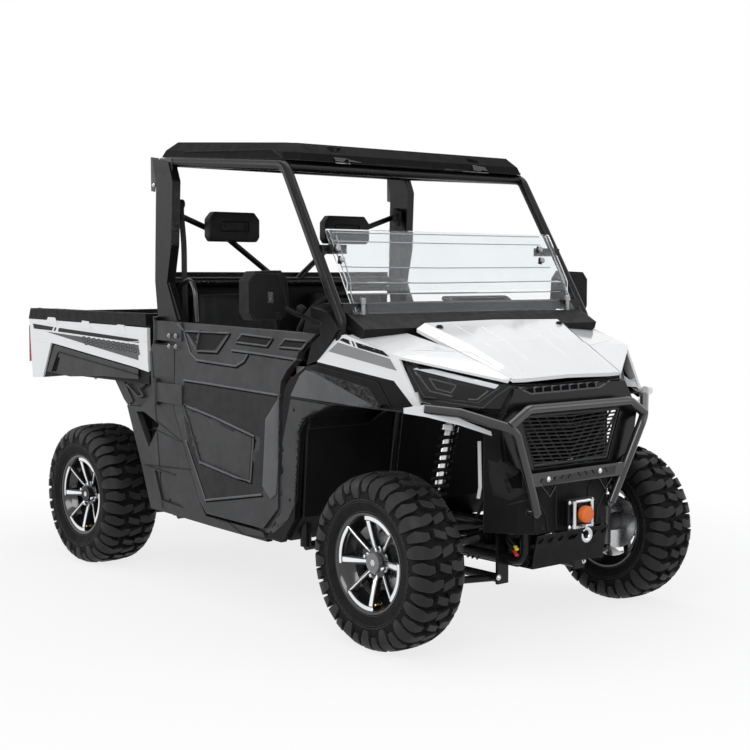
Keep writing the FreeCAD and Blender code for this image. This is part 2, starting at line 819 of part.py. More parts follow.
def make_fenders(cage, dash, quarters):
    """The white wing: a slanted side blade and the top skin beside the bonnet."""
    blade = new_body("fender_blade")
    points = outline(FENDER_SHARES + FENDER_LOW_SHARES, "0", "fender_length", "fender_low", "fender_height")
    pad(blade, "XZ", points, "fender_skin", offset="-fender_skin")
    place(blade, "quarter_back + quarter_length", "-body_half_width", "0", (0, 0, 1),
          "atan(nose_inset / nose_run)")
    top = new_body("fender_top")
    skin = "fender_top_skin"
    inner_back = "-(hood_back_half + panel_gap + (hood_back_half - hood_front_half) * 0.24)"
    inner_front = "-(hood_front_half + panel_gap)"
    sections = []
    for forward, outer, inner, outer_up, inner_up in (
            ("hood_back - fender_length * 0.18", "-(body_half_width - nose_inset * 0.32)",
             inner_back, "fender_low + fender_height * 0.985", "fender_low + fender_height * 1.06"),
            ("hood_back + hood_length * 0.40", "-(body_half_width - nose_inset)",
             "-(hood_back_half - (hood_back_half - hood_front_half) * 0.40 + panel_gap)",
             "fender_low + fender_height * 0.75", "hood_back_top - (hood_back_top - hood_front_top) * 0.50"),
            ("hood_back + hood_length * 0.98", "-(hood_front_half + panel_gap * 2.5)",
             inner_front, "hood_front_top - skin", "hood_front_top")):
        outer_up = outer_up.replace("skin", "fender_top_skin")
        sections.append((forward, [(outer, outer_up), (inner, inner_up), (inner, f"{inner_up} - {skin}"),
                                   (outer, f"{outer_up} - {skin}")]))
    loft(top, "YZ", sections)
    place(top)
    DOC.recompute()
    joined = fuse("fender_right", [blade, top])
    DOC.recompute()
    pair_up("front_fenders", carve("fender_cleared", joined, [cage, dash, quarters]))


def make_hood():
    """The bonnet: a raised middle between two flanks, falling to the nose."""
    body = new_body("hood")
    drop = "(hood_back_top - hood_front_top)"
    sections = []
    for along, fall, flat, flank in ((0.00, 0.00, 0.90, 0.135), (0.45, 0.38, 0.86, 0.16),
                                     (1.00, 1.00, 0.80, 0.02)):
        half = f"(hood_back_half - (hood_back_half - hood_front_half) * {along})"
        crown = f"(hood_back_top - {drop} * {fall})"
        edge = f"({crown} - {drop} * {flank})"
        top = [(f"-{half}", edge), (f"-{half} * {flat}", f"{crown} - hood_skin * 0.4"), ("0", crown),
               (f"{half} * {flat}", f"{crown} - hood_skin * 0.4"), (half, edge)]
        under = [(half, f"{edge} - hood_skin"), (f"{half} * {flat}", f"{crown} - hood_skin * 1.4"),
                 ("0", f"{crown} - hood_skin"), (f"-{half} * {flat}", f"{crown} - hood_skin * 1.4"),
                 (f"-{half}", f"{edge} - hood_skin")]
        sections.append((f"hood_back + hood_length * {along}", top + under))
    loft(body, "YZ", sections)
    place(body)
    return keep("hood", body)


def make_front_face(chassis):
    """The dark moulding round the lamps and the grille opening, with its upper vent strip."""
    body = new_body("fascia_middle")
    frame = [("-fascia_half_width * 1.06", "hood_front_top - hood_hinge_low - hood_skin"),
             ("fascia_half_width * 1.06", "hood_front_top - hood_hinge_low - hood_skin"),
             ("fascia_half_width * 1.32", "grille_top - grille_depth"),
             ("grille_low_half * 1.7", "grille_low + grille_depth * 2"),
             ("grille_low_half * 1.1", "grille_low - grille_depth"),
             ("-grille_low_half * 1.1", "grille_low - grille_depth"),
             ("-grille_low_half * 1.7", "grille_low + grille_depth * 2"),
             ("-fascia_half_width * 1.32", "grille_top - grille_depth")]
    pad(body, "YZ", frame, "fascia_forward - nose_forward - rail_tube / 2",
        offset="nose_forward + rail_tube / 2")
    opening = [("-grille_top_half", "grille_top"), ("grille_top_half", "grille_top"),
               ("grille_low_half", "grille_low"), ("-grille_low_half", "grille_low")]
    pocket(body, "YZ", opening, "fascia_forward - nose_forward + overrun",
           offset="fascia_forward + overrun / 2")
    place(body)
    cheek = new_body("lamp_housing")
    low_forward = "hood_back + hood_length * 0.36"
    sections = [
        ("fascia_half_width", [("fascia_forward - lamp_depth * 1.5", "grille_top + grille_depth"),
                               ("fascia_forward - lamp_depth * 1.5",
                                "hood_front_top - hood_hinge_low - hood_skin"),
                               ("fascia_forward - lamp_depth * 0.2",
                                "hood_front_top - hood_hinge_low - hood_skin"),
                               ("fascia_forward - lamp_depth * 0.1", "grille_top + grille_depth")]),
        ("body_half_width - nose_inset - fender_skin * 3",
         [(f"{low_forward} - lamp_depth", "fender_low + grille_depth * 2"),
          (f"{low_forward} - lamp_depth", "fender_low + fender_height * 0.66"),
          (f"{low_forward} - lamp_depth * 0.3", "fender_low + fender_height * 0.66"),
          (f"{low_forward} + lamp_depth * 0.3", "fender_low + grille_depth * 2")])]
    loft(cheek, "XZ", sections)
    place(cheek)
    DOC.recompute()
    joined = fuse("fascia_all", [body, cheek, mirror_left(cheek, "lamp_housing_left")])
    DOC.recompute()
    keep("front_fascia", carve("front_fascia", joined, [chassis]))
    lens = new_body("headlamp_right")
    sections = [
        ("fascia_half_width + panel_gap",
         [("fascia_forward - lamp_depth", "hood_front_top - hood_skin * 1.6 - panel_gap"),
          ("fascia_forward - lamp_depth * 0.7", "hood_front_top - hood_skin * 1.6 - panel_gap"),
          ("fascia_forward - lamp_depth * 0.4", "grille_top + grille_depth * 2.5"),
          ("fascia_forward - lamp_depth * 0.7", "grille_top + grille_depth * 2.5")]),
        ("body_half_width - nose_inset - fender_skin * 3 - panel_gap",
         [(f"{low_forward} - lamp_depth * 0.3", "fender_low + fender_height * 0.66"),
          (f"{low_forward}", "fender_low + fender_height * 0.66"),
          (f"{low_forward} + lamp_depth * 0.6", "fender_low + grille_depth * 3.5"),
          (f"{low_forward} + lamp_depth * 0.3", "fender_low + grille_depth * 3.5")])]
    loft(lens, "XZ", sections)
    place(lens)
    DOC.recompute()
    cleared = carve("headlamp_cleared", lens, [joined])
    pair_up("headlamps", cleared)


def make_grille():
    """The slatted grille: rows of level bars crossed by slanted ribs inside a raked frame."""
    body = new_body("grille")
    frame = [("-grille_top_half", "grille_top"), ("grille_top_half", "grille_top"),
             ("grille_low_half", "grille_low"), ("-grille_low_half", "grille_low")]
    pad(body, "YZ", frame, "grille_depth", offset="fascia_forward - grille_depth - seat_gap")
    pitch = "(grille_top - grille_low) / grille_row_count"
    for side in (-1, 1):
        shares = [(0.04, 0.30), (0.04, 0.70), (0.94, 0.70), (0.94, 0.30)]
        slot = []
        for across, up in shares:
            slot.append((f"{side} * grille_low_half * {across}", f"grille_low + {pitch} * {up}"))
        cut = pocket(body, "YZ", slot, "grille_depth + overrun * 2", offset="fascia_forward + overrun")
        rows = body.newObject("PartDesign::LinearPattern", "grille_rows")
        rows.Originals = [cut]
        rows.Direction = (origin_plane(body, "Z_Axis"), [""])
        bind(rows, "Length", f"{pitch} * (grille_row_count - 1)")
        bind(rows, "Occurrences", "grille_row_count")
        body.Tip = rows
    place(body)
    return keep("grille", body)


def make_bumper():
    """The nose guard: two bent side tubes, the upper hoop, the drilled plate and its feet."""
    side = [spot("bumper_forward - bumper_tube * 5.7", "-body_half_width * 0.868",
                 "grille_top + bumper_tube * 0.85"),
            spot("bumper_forward - bumper_tube * 3.5", "-body_half_width * 0.727",
                 "grille_top + bumper_tube * 0.45"),
            spot("bumper_forward", "-body_half_width * 0.505", "grille_top - bumper_tube * 1.25"),
            spot("bumper_forward - bumper_tube * 0.9", "-grille_low_half", "winch_low + winch_height * 0.7")]
    hoop = [spot("bumper_forward - bumper_tube * 0.3", "-body_half_width * 0.53",
                 "grille_top - bumper_tube * 0.9"),
            spot("bumper_forward - bumper_tube * 0.2", "-grille_top_half", "grille_top + bumper_tube * 0.6"),
            spot("bumper_forward - bumper_tube * 0.2", "grille_top_half", "grille_top + bumper_tube * 0.6"),
            spot("bumper_forward - bumper_tube * 0.3", "body_half_width * 0.53",
                 "grille_top - bumper_tube * 0.9")]
    foot = [spot("nose_forward", "-nose_half_width", "winch_low + winch_height * 0.7"),
            spot("bumper_forward - bumper_tube * 0.9", "-grille_low_half", "winch_low + winch_height * 0.7")]
    paths = both_sides(side) + [hoop] + both_sides(foot)
    guard = tube_frame("bumper_tubes", paths, "bumper_tube", 1.6)
    plate = new_body("bumper_plate")
    low = "bumper_plate_low"
    high = "bumper_plate_low + bumper_plate_height"
    half_low = "grille_low_half + bumper_tube * 1.2"
    half_high = "grille_low_half + bumper_tube * 2"
    pad(plate, "YZ", [(f"-({half_low})", low), (half_low, low), (half_high, high), (f"-({half_high})", high)],
        "bumper_plate_thickness", offset="bumper_forward - bumper_tube * 0.4")
    sketch = sketch_on(plate, "YZ", "bumper_forward + overrun")
    for side_sign in ("-1", "1"):
        draw_circle(sketch, f"{side_sign} * bumper_bolt_spacing / 2", f"{low} + bumper_plate_height / 2",
                    "bumper_bolt_hole / 2")
    holes = plate.newObject("PartDesign::Pocket", "bumper_bolt_holes")
    holes.Profile = sketch
    bind(holes, "Length", "bumper_tube + overrun * 2")
    place(plate)
    return guard, plate


COVER_TRIM_SHARES = [(-0.05, -0.05), (0.65, -0.05), (0.41, 0.265), (0.155, 0.275), (0.012, 1.05),
                     (-0.05, 1.05)]


def make_nose_cover(guard):
    """The dark shell before the nose hoop: a chamfered front with the winch's window and two swept cheeks."""
    body = new_body("cover_shell")
    outer = [("cover_back", "cover_back_half"), ("cover_side_forward", "cover_side_half"),
             ("cover_forward", "cover_half_width"), ("cover_forward", "-cover_half_width"),
             ("cover_side_forward", "-cover_side_half"), ("cover_back", "-cover_back_half")]
    inner = [("cover_back", "-(cover_back_half - cover_wall * 1.15)"),
             ("cover_side_forward - cover_wall * 0.7", "-(cover_side_half - cover_wall)"),
             ("cover_forward - cover_wall", "-(cover_half_width - cover_wall * 0.4)"),
             ("cover_forward - cover_wall", "cover_half_width - cover_wall * 0.4"),
             ("cover_side_forward - cover_wall * 0.7", "cover_side_half - cover_wall"),
             ("cover_back", "cover_back_half - cover_wall * 1.15")]
    pad(body, "XY", outer + inner, "cover_height", offset="cover_low")
    trim = outline(COVER_TRIM_SHARES, "cover_back", "cover_forward - cover_back", "cover_low", "cover_height")
    pocket(body, "XZ", trim, "cover_back_half * 2 + overrun", both=True)
    over = [("cover_side_forward + cover_wall", "cover_low + cover_front_height"),
            ("cover_forward + overrun", "cover_low + cover_front_height"),
            ("cover_forward + overrun", "cover_low + cover_height + overrun"),
            ("cover_side_forward + cover_wall", "cover_low + cover_height + overrun")]
    pocket(body, "XZ", over, "cover_back_half * 2 + overrun", both=True)
    half = "(fairlead_width / 2 - fairlead_thickness + seat_gap)"
    middle = "winch_low + fairlead_height / 2"
    window = [(f"-{half}", f"{middle} - {half}"), (half, f"{middle} - {half}"),
              (half, f"{middle} + {half}"), (f"-{half}", f"{middle} + {half}")]
    pocket(body, "YZ", window, "cover_wall + overrun * 2", offset="cover_forward + overrun")
    place(body)
    DOC.recompute()
    keep("nose_cover", carve("nose_cover", body, [guard]))


def make_winch():
    """The winch with its neck through the cover, the fairlead, and the hook with its stopper."""
    foot = "nose_forward - winch_drum"
    drum_front = "cover_forward - cover_wall - seat_gap"
    drum = box("winch_body", (f"{drum_front} - ({foot})", "winch_width", "winch_height"),
               (foot, "-winch_width / 2", "winch_low"))
    side = "fairlead_width - fairlead_thickness * 2"
    neck = box("winch_neck",
               (f"bumper_forward - fairlead_thickness / 2 - overrun - ({drum_front}) + overrun", side, side),
               (f"{drum_front} - overrun", f"-({side}) / 2", "winch_low + fairlead_thickness"))
    lead_forward = "bumper_forward - fairlead_thickness - overrun"
    lead = new_body("fairlead")
    half = "fairlead_width / 2"
    low = "winch_low"
    high = "winch_low + fairlead_height"
    pad(lead, "YZ", [(f"-{half}", low), (half, low), (half, high), (f"-{half}", high)], "fairlead_thickness",
        offset=lead_forward)
    place(lead)
    stopper = DOC.addObject("Part::Sphere", "stopper")
    bind(stopper, "Radius", "stopper_radius")
    stopper.Angle1 = -70
    stopper.Angle2 = 70
    place(stopper, "front_reach - stopper_radius", "0", "winch_low + fairlead_height * 0.5", (1, 0, 0), "90")
    DOC.recompute()
    winch = fuse("winch", [drum, neck, lead])
    keep("winch", winch)
    ring_bar = DOC.addObject("Part::Torus", "hook_ring")
    bind(ring_bar, "Radius1", "hook_radius")
    bind(ring_bar, "Radius2", "hook_bar")
    place(ring_bar, "front_reach - stopper_radius - hook_bar * 2", "0",
          "winch_low + fairlead_height * 0.5 - stopper_radius - hook_radius - hook_bar * 0.4", (0, 1, 0),
          "90")
    DOC.recompute()
    hook = carve("winch_hook", fuse("hook_and_stopper", [stopper, ring_bar]), [winch])
    keep("winch_hook", hook)
    return winch


DASH_SHARES = [(0.93, 0.56), (0.98, 0.62), (1.00, 0.70), (0.81, 0.83), (0.56, 0.985), (0.35, 1.00),
               (0.10, 0.90),
               (0.00, 0.62), (0.04, 0.25), (0.20, 0.00), (0.36, 0.00), (0.38, 0.46)]


def make_dash(chassis, cage, column):
    """The dash and cowl across the cab, with a side wing each side."""
    body = new_body("dash_roll")
    points = outline(DASH_SHARES, "dash_back", "dash_length", "dash_low", "dash_height")
    pad(body, "XZ", points, "dash_half_width * 2", both=True)
    place(body)
    wing = new_body("dash_wing")
    shares = [(0.36, 0.16), (0.46, 0.47), (0.645, 0.60), (0.645, 0.72), (0.45, 0.72), (0.43, 1.00),
              (0.77, 0.94),
              (1.00, 0.70), (0.60, 0.245)]
    points = outline(shares, "wing_back", "wing_length", "wing_low", "wing_height")
    pad(wing, "XZ", points, "body_half_width - dash_half_width", offset="dash_half_width")
    place(wing)
    DOC.recompute()
    joined = fuse("dash_all", [body, wing, mirror_left(wing, "dash_wing_left"), column])
    DOC.recompute()
    return keep("dashboard", carve("dashboard", joined, [chassis, cage]))


POST_SHARES = [(0.16, 0.86), (0.02, 0.99), (0.02, 1.00), (0.62, 0.97), (0.78, 0.87), (0.72, 0.53),
               (0.55, 0.33), (1.00, 0.09),
               (1.00, 0.00), (0.12, 0.00), (0.20, 0.15), (0.10, 0.34), (0.12, 0.53)]


def make_cage(chassis):
    """The roll cage: hoops, roof rails, the headrests' brace and the pressed posts."""
    out = "cage_half_width"
    roof_front = "roof_length - roof_back"
    top_back = "roof_low - cage_tube * 0.55"
    top_front = "roof_low - roof_length * tan(roof_pitch) - cage_tube * 0.45"
    side = [spot(FOOT_FRONT, "-(tub_half_width - rail_tube)", "rail_height"),
            spot(FOOT_FRONT, "-(tub_half_width - rail_tube)", "tower_top"),
            spot("hood_back - cage_tube * 2.45", f"-({out} + cage_tube * 0.3)",
                 "fender_low + fender_height * 1.05"),
            spot(f"{roof_front} - cage_tube * 0.9", f"-{out}", top_front),
            spot("-post_back + cage_tube * 2", f"-{out}", top_back)]
    rear = [spot("-post_back + cage_tube * 2.2", f"-{out}", top_back),
            spot("-post_back + cage_tube * 2.2", out, top_back)]
    front = [spot(f"{roof_front} - cage_tube * 1.2", f"-{out}", top_front),
             spot(f"{roof_front} - cage_tube * 1.2", out, top_front)]
    belt = [spot("-post_back + cage_tube * 1.2", f"-{out}", "rear_panel_top - cage_tube"),
            spot("-post_back + cage_tube * 1.2", out, "rear_panel_top - cage_tube")]
    brace = [spot("-post_back + cage_tube * 1.2", f"-{out}", "headrest_up + headrest_height"),
             spot("-headrest_back - headrest_thickness - cage_tube * 0.62", "-seat_centre",
                  "headrest_up + headrest_height * 0.2"),
             spot("-post_back + cage_tube * 1.2", "-cage_tube", "rear_panel_top - cage_tube")]
    low_post = [spot(FOOT_BACK, "-(tub_half_width - rail_tube)", "rail_height"),
                spot(FOOT_BACK, "-(tub_half_width - rail_tube)", "post_low + cage_tube")]
    large = [tube(path, size("cage_tube"), size("cage_tube") * 1.4) for path in both_sides(side) + [rear,
                                                                                                    front,
                                                                                                    belt]]
    large += [tube(path, size("cage_tube"), size("cage_tube")) for path in both_sides(low_post)]
    slim = [tube(path, size("cage_tube") * 0.6, size("cage_tube")) for path in both_sides(brace)]
    tubes = shaped("cage_tubes", large[0].multiFuse(large[1:] + slim))
    post = new_body("post_plate")
    points = outline(POST_SHARES, "-post_back", "post_length", "post_low", "post_height")
    pad(post, "XZ", points, "post_thickness", offset="body_half_width - panel_thickness / 2 - post_thickness")
    place(post)
    mount = box("headrest_mount", ("cage_tube * 0.6", "headrest_width * 0.5", "headrest_height * 0.5"),
                ("-headrest_back - headrest_thickness - seat_gap - cage_tube * 0.6",
                 "-seat_centre - headrest_width * 0.25", "headrest_up + headrest_height * 0.1"))
    DOC.recompute()
    twins = [mirror_left(post, "post_plate_left"), mirror_left(mount, "headrest_mount_left")]
    DOC.recompute()
    return carve("cage_frame", fuse("cage_whole", [tubes, post, mount] + twins), [chassis])


def make_roof(cage):
    """The moulded roof tray, pitched down to the front, hollow from below, with raised ribs."""
    solids = []
    for label, inset, lift in (("roof_outer", "0", "0"), ("roof_inner", "roof_skin", "-roof_skin")):
        body = new_body(label)
        sections = []
        for rise, narrowing in (("-overrun" if inset != "0" else "0", "0"),
                                ("roof_rise * 0.45", "roof_inset * 0.25"),
                                (f"roof_rise + {lift}", "roof_inset")):
            back = f"{inset} + {narrowing}"
            half = f"(roof_half_width - ({inset}) - ({narrowing}))"
            front = f"roof_length - ({inset}) - ({narrowing})"
            corner = "roof_inset"
            sections.append((rise, [(back, f"-{half} + {corner}"), (f"{back} + {corner}", f"-{half}"),
                                    (f"{front} - {corner}", f"-{half}"), (front, f"-{half} + {corner}"),
                                    (front, f"{half} - {corner}"), (f"{front} - {corner}", half),
                                    (f"{back} + {corner}", half), (back, f"{half} - {corner}")]))
        loft(body, "XY", sections)
        if label == "roof_outer":
            for across in ("-0.62", "-0.2", "0.2", "0.62"):
                rib = [("roof_length * 0.12", f"roof_half_width * ({across} - 0.13)"),
                       ("roof_length * 0.82", f"roof_half_width * ({across} - 0.13)"),
                       ("roof_length * 0.82", f"roof_half_width * ({across} + 0.13)"),
                       ("roof_length * 0.12", f"roof_half_width * ({across} + 0.13)")]
                pad(body, "XY", rib, "roof_skin * 2", offset="roof_rise - roof_skin")
        place(body, "-roof_back", "0", "roof_low", (0, 1, 0), "roof_pitch")
        solids.append(body)
    DOC.recompute()
    return keep("roof", carve("roof", solids[0], [solids[1], cage]))


def make_windscreen(cage, dash):
    """The clear lower screen and the upper half folded down in front of it."""
    rise = "(glass_top_up - glass_foot_up)"
    run = "(glass_foot_forward - glass_top_forward)"
    screen = new_body("screen_lower")
    lower = [("glass_foot_forward", "glass_foot_up"), ("glass_top_forward", "glass_top_up"),
             ("glass_top_forward - glass_thickness", "glass_top_up"),
             ("glass_foot_forward - glass_thickness", "glass_foot_up")]
    pad(screen, "XZ", lower, "glass_half_width * 2", both=True)
    place(screen)
    flap = new_body("screen_flap")
    gap = "flap_gap"
    line = [("glass_top_forward + seat_gap", "glass_top_up"),
            (f"glass_top_forward + {gap} * 0.8", "glass_top_up"),
            (f"glass_top_forward + {run} * 0.43 + {gap}", f"glass_top_up - {rise} * 0.43"),
            (f"glass_top_forward + {run} * 0.60 + {gap}", f"glass_top_up - {rise} * 0.60"),
            (f"glass_top_forward + {run} * 0.60 + {gap}", f"glass_top_up - {rise} * 0.73"),
            (f"glass_top_forward + {run} * 0.60 + {gap} + glass_thickness", f"glass_top_up - {rise} * 0.73"),
            (f"glass_top_forward + {run} * 0.60 + {gap} + glass_thickness", f"glass_top_up - {rise} * 0.59"),
            (f"glass_top_forward + {run} * 0.43 + {gap} + glass_thickness", f"glass_top_up - {rise} * 0.42"),
            (f"glass_top_forward + {gap} * 0.8 + glass_thickness", "glass_top_up + glass_thickness"),
            ("glass_top_forward + seat_gap", "glass_top_up + glass_thickness")]
    pad(flap, "XZ", line, "glass_half_width * 2", both=True)
    place(flap)
    DOC.recompute()
    cleared = carve("windscreen", fuse("screens", [screen, flap]), [cage, dash])
    return keep("windscreen", cleared)


def make_screen_clamps(screen, cage, dash):
    """The four clamps that hold the screen to the front hoops."""
    rise = "(glass_top_up - glass_foot_up)"
    run = "(glass_foot_forward - glass_top_forward)"
    pieces = []
    for share in ("0.22", "0.88"):
        forward = f"glass_top_forward + {run} * {share} - cage_tube * 1.1"
        up = f"glass_top_up - {rise} * {share} - cage_tube * 0.4"
        pieces.append(box("clamp",
                          ("cage_tube * 1.1", "cage_half_width - glass_half_width + cage_tube * 1.6",
                           "cage_tube * 0.8"),
                          (forward, "-cage_half_width", up)))
    joined = fuse("clamps_right", pieces)
    DOC.recompute()
    cleared = carve("clamps_cleared", joined, [screen, cage, dash])
    return [cleared, mirror_left(cleared, "clamps_left")]


def make_seats(cage):
    """Two seats: a cushion and a leaning back with its headrest each, plain soft solids."""
    cushion = new_body("cushion_right")
    half = "seat_width / 2"
    foot = "rail_height + rail_tube / 2 + tub_skin + tub_height * 0.485"
    shares = [(0.00, 0.00), (0.94, 0.00), (1.00, 0.45), (0.95, 1.00), (0.12, 0.82), (0.00, 0.70)]
    points = outline(shares, "-seat_rear", "seat_depth", f"{foot} + seat_gap", "seat_cushion")
    pad(cushion, "XZ", points, "seat_width", offset=f"seat_centre - {half}")
    place(cushion)
    pair_up("seat_cushions", cushion)
    back = new_body("seat_back_right")
    shares = [(0.00, 0.00), (1.00, 0.00), (1.05, 0.30), (0.90, 0.96), (0.60, 1.00), (0.10, 1.00),
              (0.00, 0.90)]
    points = outline(shares, "-seat_back_thickness", "seat_back_thickness", "0", "seat_back_height")
    pad(back, "XZ", points, "seat_width * 0.96", both=True)
    place(back, "-seat_rear + seat_back_thickness", "-seat_centre", f"{foot} + seat_cushion + seat_gap * 2",
          (0, -1, 0), "seat_back_lean")
    DOC.recompute()
    cleared = carve("seat_backs_cleared", back, [cage])
    pair_up("seat_backs", fuse("back_and_headrest", [cleared, make_headrest()]))


def make_headrest():
    """The right headrest, bolted to its plate on the brace."""
    rest = new_body("headrest_right")
    half = "headrest_width / 2"
    shares = [(-0.80, 0.00), (0.80, 0.00), (1.00, 0.18), (0.86, 0.70), (0.68, 1.00), (-0.68, 1.00),
              (-0.86, 0.70),
              (-1.00, 0.18)]
    points = outline(shares, "-seat_centre", half, "headrest_up", "headrest_height")
    pad(rest, "YZ", points, "headrest_thickness", offset="-headrest_back - headrest_thickness")
    place(rest)
    return rest


def make_rear_panel(cage):
    """The panel behind the seats, from the deck to the belt tube."""
    body = new_body("rear_sheet")
    foot = "rail_height + rail_tube / 2 + tub_skin + tub_height * 0.485"
    low = "tub_front - tub_length"
    sheet = [(low, foot), (f"{low} + rear_panel_thickness", foot),
             (f"-post_back + cage_tube * 0.65", "rear_panel_top - cage_tube * 2"),
             ("-post_back + cage_tube * 0.65", "rear_panel_top"),
             ("-post_back + cage_tube * 0.65 - rear_panel_thickness", "rear_panel_top"),
             ("-post_back + cage_tube * 0.65 - rear_panel_thickness", "rear_panel_top - cage_tube * 2")]
    pad(body, "XZ", sheet, "cage_half_width * 1.94", both=True)
    place(body)
    DOC.recompute()
    return keep("rear_panel", carve("rear_panel", body, [cage]))


def make_mirrors(dash):
    """A mirror head on a short stalk each side."""
    head = new_body("mirror_head")
    shares = [(0.10, 0.00), (0.80, 0.00), (1.00, 0.20), (0.96, 0.82), (0.80, 1.00), (0.16, 0.98),
              (0.00, 0.80), (0.00, 0.16)]
    points = outline(shares, "-mirror_out - mirror_width", "mirror_width", "mirror_low", "mirror_height")
    pad(head, "YZ", points, "mirror_depth", offset="mirror_forward - mirror_depth / 2")
    place(head)
    stalk = [spot("wing_back + wing_length * 0.7", "-body_half_width + panel_thickness / 2",
                  "wing_low + wing_height * 0.75"),
             spot("mirror_forward + mirror_depth", "-mirror_out + overrun", "wing_low + wing_height * 0.9"),
             spot("mirror_forward", "-mirror_out - overrun * 2", "mirror_low + mirror_height * 0.3")]
    arm = shaped("mirror_stalk", tube(stalk, size("cage_tube") * 0.4, size("cage_tube") * 0.5))
    DOC.recompute()
    joined = fuse("mirror_right", [head, arm])
    DOC.recompute()
    pair_up("mirrors", carve("mirror_cleared", joined, [dash]))


DOOR_SHARES = [(0.000, 1.000), (1.000, 0.981), (0.956, 0.941), (0.892, 0.890), (0.873, 0.850), (0.814, 0.798),
               (0.774, 0.737), (0.761, 0.634), (0.753, 0.116), (0.650, 0.000), (0.236, 0.008), (0.182, 0.069),
               (-0.012, 0.526)]
DOOR_POCKET_SHARES = [(0.058, 0.566), (0.611, 0.437), (0.554, 0.214), (0.190, 0.278)]
DOOR_INSET_SHARES = [(0.163, 0.854), (0.195, 0.966), (0.420, 0.955), (0.294, 0.856)]


def make_door():
    """The right half door with its two recesses, hung at its rear edge on two outside hinges."""
    body = new_body("door_skin")
    face = "body_half_width + panel_thickness * 0.3"
    points = outline(DOOR_SHARES, "-door_back", "door_length", "door_low", "door_height")
    pad(body, "XZ", points, "door_thickness", offset=f"{face} - door_thickness")
    for shares in (DOOR_POCKET_SHARES, DOOR_INSET_SHARES):
        recess = outline(shares, "-door_back", "door_length", "door_low", "door_height")
        pocket(body, "XZ", recess, "door_recess", offset=face)
    place(body)
    leaves = []
    for up in ("door_hinge_up", "door_hinge_down"):
        corner = ("-door_hinge_back", f"-({face} + door_hinge_pin)", up)
        leaf = box("door_hinge_leaf", ("door_hinge_back - door_back + door_length * 0.06", "door_hinge_pin",
                                       "door_hinge_length * 0.9"), corner)
        barrel = cylinder("door_hinge_barrel", "door_hinge_pin", "door_hinge_length * 0.9", corner)
        leaves += [leaf, barrel]
    DOC.recompute()
    door = keep("door_right", fuse("door_right", [body] + leaves))
    keep("door_left", mirror_left(door, "door_left"))


def make_hinge_feet(up, depth):
    """The body half of one door hinge: a foot and a knuckle above and below the door's own."""
    pieces = []
    pin_out = "-(body_half_width + panel_thickness * 0.3 + door_hinge_pin)"
    for lift in ("-door_hinge_pin * 2 - seat_gap", "door_hinge_length * 0.9 + seat_gap"):
        pieces.append(cylinder("hinge_knuckle", "door_hinge_pin", "door_hinge_pin * 2",
                               ("-door_hinge_back", pin_out, f"{up} + {lift}")))
        pieces.append(box("hinge_foot", ("door_hinge_pin * 3", depth, "door_hinge_pin * 2"),
                          ("-door_hinge_back - door_hinge_pin * 2.4", pin_out, f"{up} + {lift}")))
    return pieces


def make_knuckles():
    """The front knuckles: upright between the ball joints, spindle and steering arm."""
    low = f"{AXLE_HEIGHT} - ball_drop + ball_height / 2 + seat_gap"
    high = f"{AXLE_HEIGHT} + ball_drop - ball_height / 2 - seat_gap"
    post = cylinder("knuckle_post", "knuckle_radius", f"{high} - ({low})", (FRONT_AXLE, "-kingpin_out", low))
    reach = "wheel_track / 2 + front_rim_width / 2 - rim_disc_inset - kingpin_out"
    spindle = cylinder("knuckle_spindle", "hub_radius", reach, (FRONT_AXLE, "-kingpin_out", AXLE_HEIGHT),
                       (1, 0, 0), "90")
    arm = box("knuckle_arm", ("steer_arm + knuckle_radius", "knuckle_radius", "steer_arm_thickness"),
              (f"{FRONT_AXLE} - steer_arm - knuckle_radius", "-kingpin_out + knuckle_radius * 0.2",
               f"{AXLE_HEIGHT} + rack_radius * 2 + overrun"))
    DOC.recompute()
    right = keep("knuckle_right", fuse("knuckle_right", [post, spindle, arm]))
    keep("knuckle_left", mirror_left(right, "knuckle_left"))


def arm_paths(axle, root_half, height):
    """A wishbone: two legs from the frame to one ball joint."""
    tip = spot(axle, "-kingpin_out", height)
    paths = []
    for spread in ("arm_spread", "-arm_spread"):
        paths.append([spot(f"{axle} + {spread}", f"-{root_half}", height), tip])
    return paths


